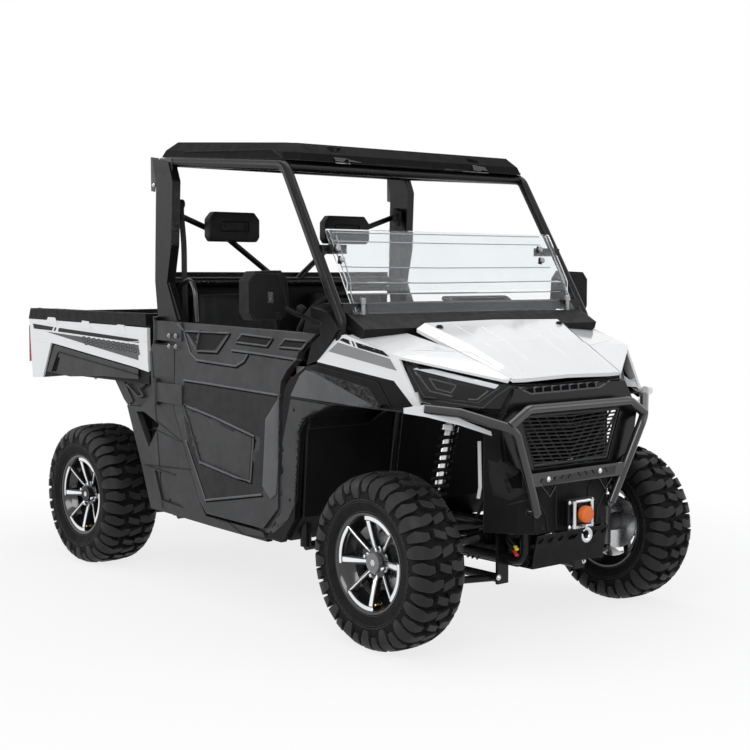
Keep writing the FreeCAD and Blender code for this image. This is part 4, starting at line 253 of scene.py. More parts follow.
# A darker rubber for the whole carcass, walls included: painted shade in the tread's gaps between the lugs.
SHADED_CARCASS_RUBBER = Finish("shaded_carcass_rubber", (0.0065, 0.0065, 0.0065), (0.62, 0.80), Grain.RUBBER, 4.0, 0.25, 0.25, dust=0.05,
                   shine=0.12)
TYRE_RUBBER = Finish("tyre_rubber", (0.015, 0.015, 0.015), (0.50, 0.66), Grain.RUBBER, 4.0, 0.25, 0.25, edge=0.35,
                     dust=0.08, shine=0.25)
SOFT_RUBBER = Finish("soft_rubber", (0.006, 0.006, 0.006), (0.52, 0.70), Grain.RUBBER, 2.0, 0.15, 0.25, dust=0.05,
                     shine=0.18)
SEAT_HIDE = Finish("seat_hide", (0.008, 0.008, 0.009), (0.44, 0.58), Grain.HIDE, 2.6, 0.22, 0.15, shine=0.18)
WEBBING = Finish("webbing", (0.014, 0.014, 0.015), (0.60, 0.75), Grain.WOVEN, 1.6, 0.3, 0.10)
RIM_BLACK = Finish("rim_black", (0.010, 0.010, 0.011), (0.12, 0.24), Grain.PEEL, 7.0, 0.02, 0.10, coat=0.5)
RIM_BRIGHT = Finish("rim_bright", (0.86, 0.87, 0.89), (0.10, 0.20), Grain.BRUSHED, 1.2, 0.02, 0.04, metal=1.0)
BRIGHT_STEEL = Finish("bright_steel", (0.62, 0.63, 0.65), (0.20, 0.34), Grain.BRUSHED, 1.5, 0.05, 0.12, metal=1.0)
DULL_STEEL = Finish("dull_steel", (0.30, 0.30, 0.31), (0.34, 0.50), Grain.CAST, 5.0, 0.2, 0.20, metal=0.9)
CAST_METAL = Finish("cast_metal", (0.22, 0.22, 0.23), (0.45, 0.62), Grain.CAST, 4.0, 0.35, 0.25, metal=0.6)
WHITE_COAT = Finish("white_coat", (0.74, 0.74, 0.74), (0.25, 0.38), Grain.POWDER, 2.0, 0.08, 0.06)
BRASS = Finish("brass", (0.72, 0.52, 0.20), (0.20, 0.35), Grain.BRUSHED, 1.0, 0.03, 0.10, metal=1.0)
ORANGE_RUBBER = Finish("orange_rubber", (0.80, 0.17, 0.03), (0.40, 0.55), Grain.RUBBER, 3.0, 0.15, 0.12)
BLUE_PLASTIC = Finish("blue_plastic", (0.03, 0.16, 0.55), (0.35, 0.50), Grain.POWDER, 2.0, 0.1, 0.10)
RED_PLASTIC = Finish("red_plastic", (0.62, 0.02, 0.02), (0.30, 0.45), Grain.POWDER, 2.0, 0.1, 0.10)
YELLOW_PLASTIC = Finish("yellow_plastic", (0.80, 0.62, 0.04), (0.30, 0.45), Grain.POWDER, 2.0, 0.1, 0.10)
RED_LENS = Finish("red_lens", (0.55, 0.010, 0.012), (0.08, 0.16), Grain.PEEL, 5.0, 0.04, 0.15, coat=0.6)
LAMP_LENS = Finish("lamp_lens", (0.80, 0.83, 0.86), (0.03, 0.06), Grain.SMOOTH, 6.0, 0.03, 0.02, clear=0.92)
LAMP_LIGHT = Finish("lamp_light", (0.62, 0.64, 0.66), (0.20, 0.30), Grain.SMOOTH, 3.0, 0.03, 0.02, glow=0.25)
CLEAR_SHEET = Finish("clear_sheet", (0.93, 0.95, 0.96), (0.02, 0.04), Grain.SMOOTH, 30.0, 0.02, 0.01, clear=0.97)
FOLD_LINE = Finish("fold_line", (0.36, 0.37, 0.38), (0.20, 0.30), Grain.SMOOTH, 12.0, 0.02, 0.05, shine=0.4)
MIRROR_GLASS = Finish("mirror_glass", (0.80, 0.82, 0.84), (0.02, 0.04), Grain.SMOOTH, 20.0, 0.01, 0.03, metal=1.0)
SCREEN_FACE = Finish("screen_face", (0.010, 0.014, 0.020), (0.05, 0.10), Grain.SMOOTH, 10.0, 0.01, 0.10, coat=0.5)


def spot(x: float, y: float, z: float) -> Vector:
    """Return a point in millimetres from the middle of the wheelbase."""
    return Vector((x, y, z))


def path(*points: Sequence[float]) -> list[Vector]:
    """Return the given points as vectors."""
    return [Vector(point) for point in points]


def metres(point: Vector) -> Vector:
    """Return a point of the wheelbase frame in metres of the shared frame."""
    return Vector(((point.x + MIDDLE_SHIFT) / 1000.0, point.y / 1000.0, point.z / 1000.0))


def millimetres(point: Vector) -> Vector:
    """Return a point of the shared frame in millimetres of the wheelbase frame."""
    return Vector((point.x * 1000.0 - MIDDLE_SHIFT, point.y * 1000.0, point.z * 1000.0))


def bend(points: Sequence[Vector], radius: float, steps: int = 5) -> list[Vector]:
    """Round the corners of a bent bar.

    Args:
        points: The bar's corners.
        radius: How far from a corner its bend starts.
        steps: How many pieces make one bend.

    Returns:
        The points of the bar's middle line.
    """
    line = [points[0]]
    for before, corner, after in zip(points, points[1:], points[2:]):
        reach = min(radius, (corner - before).length * 0.48, (after - corner).length * 0.48)
        start = corner + (before - corner).normalized() * reach
        end = corner + (after - corner).normalized() * reach
        for step in range(steps + 1):
            share = step / steps
            line.append(start.lerp(corner, share).lerp(corner.lerp(end, share), share))
    return line + [points[-1]]


def flow(points: Sequence[Vector], steps: int = 6) -> list[Vector]:
    """Draw a smooth line through the given points.

    Args:
        points: The points that the line passes.
        steps: How many pieces lie between two of them.

    Returns:
        The points of the smooth line.
    """
    ends = [points[0] * 2 - points[1]] + list(points) + [points[-1] * 2 - points[-2]]
    line = []
    for a, b, c, d in zip(ends, ends[1:], ends[2:], ends[3:]):
        for step in range(steps):
            t = step / steps
            line.append(((b * 2) + (c - a) * t + (a * 2 - b * 5 + c * 4 - d) * t * t
                         + (b * 3 - a - c * 3 + d) * t * t * t) * 0.5)
    return line + [points[-1]]


@dataclass
class Form:
    """A mesh under construction."""

    name: str
    mesh: bmesh.types.BMesh = field(default_factory=bmesh.new)

    def skin(self, rows: Sequence[Sequence[Vector]], ring: bool = False, wrap: bool = False,
             capped: bool = False) -> list[bmesh.types.BMFace]:
        """Join rows of points by four-sided faces.

        Args:
            rows: Rows of equally many points.
            ring: Whether each row closes on itself.
            wrap: Whether the last row joins the first.
            capped: Whether the first and last row are filled.

        Returns:
            The faces between the rows, in order.
        """
        grid = [[self.mesh.verts.new(point) for point in row] for row in rows]
        count = len(grid[0])
        lines = grid + [grid[0]] if wrap else grid
        faces = []
        for one, two in zip(lines, lines[1:]):
            for index in range(count if ring else count - 1):
                after = (index + 1) % count
                faces.append(self.mesh.faces.new((one[index], one[after], two[after], two[index])))
        if capped:
            self.mesh.faces.new(list(reversed(grid[0])))
            self.mesh.faces.new(grid[-1])
        return faces

    def plate(self, points: Sequence[Vector], depth: Vector) -> None:
        """Push a flat outline along a vector into a solid plate."""
        self.skin([list(points), [point + depth for point in points]], ring=True, capped=True)

    def block(self, low: Vector, high: Vector, chamfer: float = 0.0) -> None:
        """Add a box with chamfered long edges between two corners.

        Args:
            low: Its lowest corner.
            high: Its highest corner.
            chamfer: How much each upright edge is cut back.
        """
        cut = min(chamfer, (high.x - low.x) / 3, (high.y - low.y) / 3)
        outline = path((low.x + cut, low.y, low.z), (high.x - cut, low.y, low.z), (high.x, low.y + cut, low.z),
                       (high.x, high.y - cut, low.z), (high.x - cut, high.y, low.z), (low.x + cut, high.y, low.z),
                       (low.x, high.y - cut, low.z), (low.x, low.y + cut, low.z))
        if not cut:
            outline = outline[1:2] + outline[3:4] + outline[5:6] + outline[7:8]
        self.plate(outline, spot(0, 0, high.z - low.z))

    def lathe(self, profile: Sequence[Pair], centre: Vector, axis: Vector, steps: int = 32,
              hollow: bool = False) -> None:
        """Turn a profile round an axis.

        Args:
            profile: Pairs of radius and distance along the axis.
            centre: Where the axis starts.
            axis: Its direction.
            steps: How many sides the round has.
            hollow: Whether the profile closes on itself, clear of the axis.
        """
        turn = axis.normalized().to_track_quat("Z", "Y")
        rows = []
        for radius, along in profile:
            reach = max(radius, FINEST_RADIUS)
            row = []
            for step in range(steps):
                angle = math.tau * step / steps
                row.append(centre + turn @ Vector((reach * math.cos(angle), reach * math.sin(angle), along)))
            rows.append(row)
        self.skin(rows, ring=True, wrap=hollow, capped=not hollow)

    def join_to(self, other: "Form") -> None:
        """Move this form's faces into another form."""
        data = bpy.data.meshes.new("joined")
        self.mesh.to_mesh(data)
        self.mesh.free()
        other.mesh.from_mesh(data)
        bpy.data.meshes.remove(data)

    def sweep(self, points: Sequence[Vector], radius: float, sides: int = 12, flat: float = 1.0,
              closed: bool = False) -> None:
        """Draw a round or flattened bar along a line.

        Args:
            points: The line's points.
            radius: The bar's radius.
            sides: How many sides it has.
            flat: Its thickness as a share of its width.
            closed: Whether the line closes on itself.
        """
        rows = []
        across = None
        count = len(points)
        for index, point in enumerate(points):
            before = points[index - 1] if closed or index else point
            after = points[(index + 1) % count] if closed or index < count - 1 else point
            along = (after - before).normalized()
            if across is None:
                across = (along.orthogonal() if abs(along.z) > 0.95 else along.cross(UP)).normalized()
            across = (across - along * across.dot(along)).normalized()
            other = along.cross(across)
            rows.append([point + across * math.cos(math.tau * side / sides) * radius
                         + other * math.sin(math.tau * side / sides) * radius * flat for side in range(sides)])
        self.skin(rows, ring=True, wrap=closed, capped=not closed)

    def bolt(self, centre: Vector, axis: Vector, radius: float = 7.0) -> None:
        """Add a flanged hexagon bolt head that stands on a surface."""
        self.lathe([(radius * 1.5, -0.5), (radius * 1.5, radius * 0.2), (radius * 1.1, radius * 0.35)], centre, axis,
                   16)
        self.lathe([(radius, radius * 0.2), (radius, radius * 0.8), (radius * 0.8, radius)], centre, axis, 6)

    def soften(self, width: float, steps: int = 2, limit: float = 30.0) -> None:
        """Round every edge sharper than a limit.

        Args:
            width: The width of the rounding.
            steps: How many faces round one edge.
            limit: The angle in degrees above which an edge counts as sharp.
        """
        bmesh.ops.recalc_face_normals(self.mesh, faces=self.mesh.faces)
        edges = [edge for edge in self.mesh.edges if len(edge.link_faces) == 2
                 and edge.calc_face_angle(0) > math.radians(limit)]
        bmesh.ops.bevel(self.mesh, geom=edges, offset=width, segments=steps, affect="EDGES", profile=0.6,
                        clamp_overlap=True)

    def mirrored(self) -> "Form":
        """Add the mirror image on the other side of the vehicle and return the form."""
        copy = bmesh.ops.duplicate(self.mesh, geom=self.mesh.verts[:] + self.mesh.edges[:] + self.mesh.faces[:])
        fresh = [item for item in copy["geom"] if isinstance(item, bmesh.types.BMVert)]
        for vert in fresh:
            vert.co.y = -vert.co.y
        return self

    def place(self, finish: Finish, body: str = "vehicle", slot: str = "dark_plastic", replaces: Sequence[str] = (),
              sharp: float = 35.0,
              keep: bool = False, flip: bool = False, name: str = "") -> bpy.types.Object:
        """Turn the form into a piece that rides a body.

        Args:
            finish: The finish it gets.
            body: The body that carries it.
            slot: The record's material slot; not used.
            replaces: The nodes that it stands for.
            sharp: The angle in degrees above which an edge shades sharp.
            keep: Whether the form is used again after this.
            flip: Whether it is mirrored to the other side.
            name: A name other than the form's own.

        Returns:
            The new object.
        """
        work = self.mesh.copy() if keep or flip else self.mesh
        if flip:
            for vert in work.verts:
                vert.co.y = -vert.co.y
        bmesh.ops.recalc_face_normals(work, faces=work.faces)
        for edge in work.edges:
            edge.smooth = edge.calc_face_angle(0) < math.radians(sharp)
        for face in work.faces:
            face.smooth = True
        for vert in work.verts:
            vert.co = metres(vert.co)
        data = bpy.data.meshes.new(name or self.name)
        work.to_mesh(data)
        work.free()
        piece = bpy.data.objects.new(name or self.name, data)
        bpy.context.scene.collection.objects.link(piece)
        data.materials.append(finish.material())
        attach(piece, body)
        if replaces:
            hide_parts(*replaces)
        return piece


@dataclass
class Viewpoint:
    """The camera, worked out from the photograph's own straight lines."""

    eye: Triple = (5246.4, -4196.8, 1461.2)
    yaw: float = 138.252
    pitch: float = -3.3405
    roll: float = 0.236
    focal: float = 1431.63
    middle: Pair = (423.42, 352.19)
    frame_size: float = 750.0

    def axes(self) -> tuple[Vector, Vector, Vector]:
        """Return the camera's right, up and forward directions."""
        yaw, pitch, roll = (math.radians(part) for part in (self.yaw, self.pitch, self.roll))
        forward = Vector((math.cos(pitch) * math.cos(yaw), math.cos(pitch) * math.sin(yaw), math.sin(pitch)))
        right = forward.cross(UP).normalized()
        up = right.cross(forward)
        cosine, sine = math.cos(roll), math.sin(roll)
        return right * cosine + up * sine, up * cosine - right * sine, forward

    def ray(self, across: float, down: float) -> tuple[Vector, Vector]:
        """Return the start and direction of the sight line through a point of the picture."""
        right, up, forward = self.axes()
        aside, below = across - self.middle[0], down - self.middle[1]
        way = forward + right * (aside / self.focal) - up * (below / self.focal)
        return spot(*self.eye), way.normalized()

    def meet(self, across: float, down: float, point: Vector, normal: Vector) -> Vector:
        """Return where the sight line through a place of the picture meets a plane.

        Args:
            across: The place's distance from the picture's left edge.
            down: Its distance from the top edge.
            point: A point of the plane.
            normal: The plane's normal.

        Returns:
            The meeting point.
        """
        start, way = self.ray(across, down)
        return start + way * ((point - start).dot(normal) / way.dot(normal))

    def on_side(self, across: float, down: float, side: float) -> Vector:
        """Return where the sight line meets an upright plane along the vehicle."""
        return self.meet(across, down, spot(0, side, 0), ACROSS)

    def outline(self, corners: Sequence[Pair], side: float) -> list[Vector]:
        """Return an outline of the picture on an upright plane along the vehicle."""
        return [self.on_side(*corner, side) for corner in corners]

    def build(self) -> None:
        """Set up the scene's camera."""
        right, up, forward = self.axes()
        data = bpy.data.cameras.new("studio_camera")
        camera = bpy.data.objects.new("studio_camera", data)
        turn = Matrix((right, up, -forward)).transposed().to_4x4()
        camera.matrix_world = Matrix.Translation(metres(spot(*self.eye))) @ turn
        data.sensor_width = 36.0
        data.lens = self.focal / self.frame_size * data.sensor_width
        data.shift_x = 0.5 - self.middle[0] / self.frame_size
        data.shift_y = self.middle[1] / self.frame_size - 0.5
        data.clip_end = 100.0
        bpy.context.scene.collection.objects.link(camera)
        bpy.context.scene.camera = camera


VIEW = Viewpoint()


@dataclass
class Panel:
    """The outer skin of some nodes, on which trim is laid."""

    nodes: Sequence[str]
    lift: float = 0.8

    def __post_init__(self) -> None:
        """Gather the faces of the nodes."""
        points: list[Vector] = []
        faces: list[list[int]] = []
        for name in self.nodes:
            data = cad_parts[name].data
            start = len(points)
            points += [millimetres(vert.co) for vert in data.vertices]
            faces += [[start + index for index in face.vertices] for face in data.polygons]
        self.tree = BVHTree.FromPolygons(points, faces)

    def seen(self, across: float, down: float) -> Vector:
        """Return the point of the skin that shows at a place of the picture."""
        start, way = VIEW.ray(across, down)
        hit, _, _, _ = self.tree.ray_cast(start, way)
        if hit is None:
            near, _, _, _ = self.tree.find_nearest(start + way * 6200)
            return near
        return hit

    def below(self, point: Vector, way: Vector) -> Vector:
        """Return where a line from a point in a direction meets the skin."""
        hit, _, _, _ = self.tree.ray_cast(point, way)
        return hit if hit is not None else self.tree.find_nearest(point)[0]

    def drop(self, along: float, across: float, start: float) -> Vector:
        """Return where a line straight down from a height meets the skin."""
        return self.below(spot(along, across, start), -UP)

    def ahead(self, start: float, across: float, up: float) -> Vector:
        """Return where a line straight forward meets the skin."""
        return self.below(spot(start, across, up), AHEAD)

    def foot(self, corner: Pair, push: Vector) -> Vector:
        """Return the point of the skin at a drawn place, a hair above it."""
        return self.seen(*corner) + push * 0.3

    def ridge(self, form: Form, corners: Sequence[Pair], radius: float, push: Vector, closed: bool = False,
              lift: float = 0.0, step: float = 5.0) -> None:
        """Lay a bead along a line drawn in the picture.

        Args:
            form: The form that it is added to.
            corners: The line's corners in the picture.
            radius: The bead's radius.
            push: The direction away from the skin.
            closed: Whether the line closes on itself.
            lift: How far the bead's middle stands off the skin.
            step: The longest distance between its points in the picture.
        """
        ring = list(corners) + list(corners[:1]) if closed else list(corners)
        points = []
        for (a, b), (c, d) in zip(ring, ring[1:]):
            count = max(1, round(math.hypot(c - a, d - b) / step))
            points += [self.seen(a + (c - a) * number / count, b + (d - b) * number / count)
                       for number in range(count)]
        if not closed:
            points.append(self.seen(*ring[-1]))
        form.sweep([point + push * lift for point in points], radius, 8, closed=closed)

    def sheet(self, name: str, corners: Sequence[Pair], push: Vector, height: float = 0.0,
              step: float = 12.0) -> Form:
        """Lay trim of a drawn outline on the skin.

        Args:
            name: The name of the form.
            corners: Its outline in the picture.
            push: The direction away from the skin.
            height: How thick it is; 0 makes a thin film.
            step: The longest distance between its points, as drawn.

        Returns:
            The form, ready to be placed.
        """
        form = Form(name)
        drawn = bmesh.new()
        drawn.faces.new([drawn.verts.new((u, v, 0)) for u, v in corners])
        bmesh.ops.triangulate(drawn, faces=drawn.faces)
        for _ in range(6):
            long = [edge for edge in drawn.edges if edge.calc_length() > step]
            if not long:
                break
            bmesh.ops.subdivide_edges(drawn, edges=long, cuts=1)
            bmesh.ops.triangulate(drawn, faces=drawn.faces)
        skin = {vert: self.seen(vert.co.x, vert.co.y) for vert in drawn.verts}
        tops = {vert: form.mesh.verts.new(base + push * (self.lift + height)) for vert, base in skin.items()}
        for face in drawn.faces:
            form.mesh.faces.new([tops[vert] for vert in face.verts])
        if height:
            feet = {vert: form.mesh.verts.new(base - push * 0.6) for vert, base in skin.items() if vert.is_boundary}
            for edge in drawn.edges:
                if edge.is_boundary:
                    one, two = edge.verts
                    form.mesh.faces.new((tops[one], tops[two], feet[two], feet[one]))
            form.soften(min(2.0, height * 0.4), 2, 50.0)
        drawn.free()
        return form


@dataclass
class Studio:
    """The floor, the lamps and the plain surroundings."""

    floor_size: float = 16.0
    floor_tone: Triple = (0.86, 0.86, 0.86)
    lamps: tuple[tuple[str, Triple, float, float], ...] = (
        ("key_lamp", (4.2, -4.6, 4.6), 3.2, 158.0), ("fill_lamp", (5.5, 3.4, 2.6), 3.0, 34.0),
        ("top_lamp", (0.2, 0.4, 5.4), 4.4, 125.0), ("back_lamp", (-3.6, -5.2, 3.0), 3.2, 95.0))
    room_level: float = 0.38
    fade_start: float = 1.6
    fade_end: float = 3.4
    near_white: float = 0.80

    def show_white(self, tree: bpy.types.NodeTree, plain: bpy.types.NodeSocket, target: bpy.types.NodeSocket) -> None:
        """Let the camera, gloss and glass see plain white beyond the shadow.

        Args:
            tree: The node tree of the floor or the room.
            plain: The shader that lights the object.
            target: The output that the mix goes to.
        """
        rays = add_node(tree, "LightPath", {})
        most = add_node(tree, "Math", {0: rays.outputs["Is Camera Ray"], 1: rays.outputs["Is Glossy Ray"]},
                        operation="MAXIMUM")
        both = add_node(tree, "Math", {0: most.outputs[0], 1: rays.outputs["Is Transmission Ray"]},
                        operation="MAXIMUM")
        room = target.node.type == "OUTPUT_WORLD"
        white = add_node(tree, "Background" if room else "Emission", {"Color": (1.0, 1.0, 1.0, 1.0)})
        factor = both.outputs[0] if room else self.fade(tree, both.outputs[0])
        mix = add_node(tree, "MixShader", {0: factor, 1: plain, 2: white.outputs[0]})
        tree.links.new(mix.outputs[0], target)

    def fade(self, tree: bpy.types.NodeTree, factor: bpy.types.NodeSocket) -> bpy.types.NodeSocket:
        """Keep the floor plain near the wheels, where the shadow lies.

        Args:
            tree: The floor's node tree.
            factor: How far a ray sees white.

        Returns:
            The factor, lowered near the object.
        """
        place = add_node(tree, "TexCoord", {}).outputs["Object"]
        far = add_node(tree, "VectorMath", {0: place}, operation="LENGTH")
        reach = {"From Min": self.fade_start, "From Max": self.fade_end, "To Min": self.near_white, "To Max": 1.0,
                 "Value": far.outputs["Value"]}
        ramp = add_node(tree, "MapRange", reach, interpolation_type="SMOOTHSTEP")
        return add_node(tree, "Math", {0: factor, 1: ramp.outputs["Result"]}, operation="MULTIPLY").outputs[0]

    def lamp(self, name: str, place: Sequence[float], size: float, power: float) -> None:
        """Hang one soft square lamp that faces the middle of the vehicle."""
        data = bpy.data.lights.new(name, "AREA")
        data.size = size
        data.energy = power
        lamp = bpy.data.objects.new(name, data)
        lamp.location = place
        lamp.rotation_euler = (Vector((0, 0, 0.8)) - lamp.location).to_track_quat("-Z", "Y").to_euler()
        bpy.context.scene.collection.objects.link(lamp)

    def build(self) -> None:
        """Lay the floor, light the room and hang the lamps."""
        scene = bpy.context.scene
        scene.view_settings.view_transform = "Standard"
        world = bpy.data.worlds.new("studio_room")
        scene.world = world
        world.use_nodes = True
        plain = world.node_tree.nodes["Background"]
        feed(world.node_tree, plain, {"Color": (0.93, 0.95, 1.0, 1.0), "Strength": self.room_level})
        self.show_white(world.node_tree, plain.outputs[0], world.node_tree.nodes["World Output"].inputs["Surface"])
        half = self.floor_size / 2
        data = bpy.data.meshes.new("studio_floor")
        data.from_pydata([(-half, -half, 0), (half, -half, 0), (half, half, 0), (-half, half, 0)], [], [(0, 1, 2, 3)])
        floor = bpy.data.objects.new("studio_floor", data)
        scene.collection.objects.link(floor)
        material = bpy.data.materials.new("studio_floor")
        material.use_nodes = True
        tree = material.node_tree
        shader = tree.nodes["Principled BSDF"]
        feed(tree, shader, {"Base Color": (*self.floor_tone, 1.0), "Roughness": 0.9, "Specular IOR Level": 0.1})
        self.show_white(tree, shader.outputs[0], tree.nodes["Material Output"].inputs["Surface"])
        data.materials.append(material)
        for name, place, size, power in self.lamps:
            self.lamp(name, place, size, power)


def wheel_middle(end: str, side: int) -> Vector:
    """Return the middle of a wheel."""
    return spot(FRONT_AXLE if end == "front" else REAR_AXLE, side * WHEEL_SIDE, AXLE_HEIGHT)


def wheel_node(kind: str, end: str, side: int) -> str:
    """Return the name of a wheel's node, such as its tyre or its rim."""
    return f"{kind}_{end}_{'right' if side == RIGHT else 'left'}"


@dataclass
class MudTyre:
    """A mud tyre: a smooth-sided carcass with long and short shoulder lugs and a broken middle row."""

    end: str
    side: int
    width: float
    radius: float = 343.0
    bead_radius: float = 179.0
    lug_height: float = 21.0
    pitch_count: int = 17
    ring_steps: int = 102
    wall_steps: int = 96
    long_lug: tuple[Triple, ...] = (
        (0.09, 0.16, 0.36), (0.17, 0.08, 0.38), (0.27, 0.03, 0.30), (0.36, 0.04, 0.42), (0.45, 0.06, 0.50),
        (0.53, 0.09, 0.50), (0.60, 0.13, 0.46), (0.66, 0.18, 0.40))
    short_lug: tuple[Triple, ...] = (
        (0.25, 0.62, 0.80), (0.33, 0.56, 0.84), (0.41, 0.58, 0.94), (0.49, 0.62, 0.92), (0.56, 0.68, 0.86))
    middle_lug: tuple[Triple, ...] = ((-0.07, 0.52, 0.74), (0.03, 0.56, 0.80), (0.15, 0.66, 0.88))

    def section(self) -> list[Vector]:
        """Return the carcass from the crown to the bead as (side distance, radius) points."""
        half = self.width / 2
        root = self.radius - self.lug_height
        shares = ((0.0, root), (0.32, root - 1.0), (0.58, root - 5.0), (0.78, root - 15.0), (0.90, root - 32.0),
                  (0.955, root - 56.0), (0.955, root - 86.0), (0.905, root - 112.0), (0.845, root - 128.0),
                  (0.80, root - 134.0), (0.78, self.bead_radius))
        return flow([Vector((half * across, radius, 0)) for across, radius in shares], 4)

    def along(self, share: float, lift: float) -> Pair:
        """Return side distance and radius at a share of the section, lifted off the carcass.

        Args:
            share: The way from the crown, at 0, to the bead, at 1; below 0 is the other side.
            lift: How far off the carcass.

        Returns:
            The side distance and the radius.
        """
        line = self.section()
        lengths = [0.0]
        for one, two in zip(line, line[1:]):
            lengths.append(lengths[-1] + (two - one).length)
        goal = abs(share) * lengths[-1]
        index = next(number for number in range(1, len(line)) if lengths[number] >= goal - 1e-6)
        one, two = line[index - 1], line[index]
        part = (goal - lengths[index - 1]) / (lengths[index] - lengths[index - 1])
        point = one.lerp(two, part)
        way = (two - one).normalized()
        sign = -1.0 if share < 0 else 1.0
        return sign * (point.x - way.y * lift), point.y + way.x * lift

    def lug(self, form: Form, stations: Sequence[Triple], start: float, mirror: int) -> None:
        """Add one lug with a sunk top.

        Args:
            form: The form that it is added to.
            stations: Share of the section, and where the lug starts and ends as shares of a pitch.
            start: The angle of its pitch.
            mirror: Which side of the tread it lies on.
        """
        pitch = math.tau / self.pitch_count
        rows = []
        for share, low, high in stations:
            lift = self.lug_height * (1.0 if share < 0.42 else max(0.22, 1.0 - (share - 0.42) * 3.4))
            row = []
            for angle, rise in ((low - 0.03, -3.0), (low, lift), (high, lift), (high + 0.03, -3.0)):
                across, radius = self.along(share, rise)
                turn = start + angle * pitch
                row.append(Vector((math.cos(turn) * radius, across * mirror, math.sin(turn) * radius)))
            rows.append(row)
        faces = form.skin(rows, ring=True, capped=True)
        tops = [face for number, face in enumerate(faces) if number % 4 == 1]
        bmesh.ops.inset_region(form.mesh, faces=tops, thickness=4.5, depth=-1.8, use_even_offset=True)

    def build(self) -> None:
        """Make the carcass and its lugs and put them on the wheel."""
        name = wheel_node("tyre", self.end, self.side)
        form = Form(f"{name}_tread")
        half = self.section()
        ring = [Vector((-point.x, point.y, 0)) for point in reversed(half[1:])] + half
        rows = []
        for step in range(self.ring_steps):
            turn = math.tau * step / self.ring_steps
            rows.append([Vector((math.cos(turn) * point.y, point.x, math.sin(turn) * point.y)) for point in ring])
        form.skin(rows, wrap=True)
        lugs = Form("lugs")
        for number in range(self.pitch_count):
            for mirror, shift in ((1, 0.0), (-1, 0.5)):
                start = math.tau * (number + shift) / self.pitch_count
                for stations in (self.long_lug, self.short_lug, self.middle_lug):
                    self.lug(lugs, stations, start, mirror)
        self.mark_walls(lugs)
        lugs.soften(1.6, 1, 42.0)
        centre = wheel_middle(self.end, self.side)
        for vert in form.mesh.verts[:] + lugs.mesh.verts[:]:
            vert.co = centre + vert.co
        body = wheel_node("wheel", self.end, self.side)
        # The carcass is darker than the lugs: painted shade between the lugs.
        form.place(SHADED_CARCASS_RUBBER, body, "tyre", [name], sharp=38.0)
        lugs.place(TYRE_RUBBER, body, "tyre", [name], sharp=38.0, name=f"{name}_lugs")

    def mark_walls(self, form: Form) -> None:
        """Add the raised rings and short ribs on both walls."""
        for mirror in (1, -1):
            for share, radius in ((0.70, 1.3), (0.735, 0.9), (0.90, 1.6)):
                across, high = self.along(share, 0.4)
                turns = [math.tau * step / self.wall_steps for step in range(self.wall_steps)]
                ring = [Vector((math.cos(turn) * high, across * mirror, math.sin(turn) * high)) for turn in turns]
                form.sweep(ring, radius, 6, closed=True)
            for number in range(self.pitch_count * 4):
                turn = math.tau * number / (self.pitch_count * 4)
                ends = []
                for share in (0.675, 0.695):
                    across, high = self.along(share, 0.3)
                    ends.append(Vector((math.cos(turn) * high, across * mirror, math.sin(turn) * high)))
                form.sweep(ends, 1.5, 5)


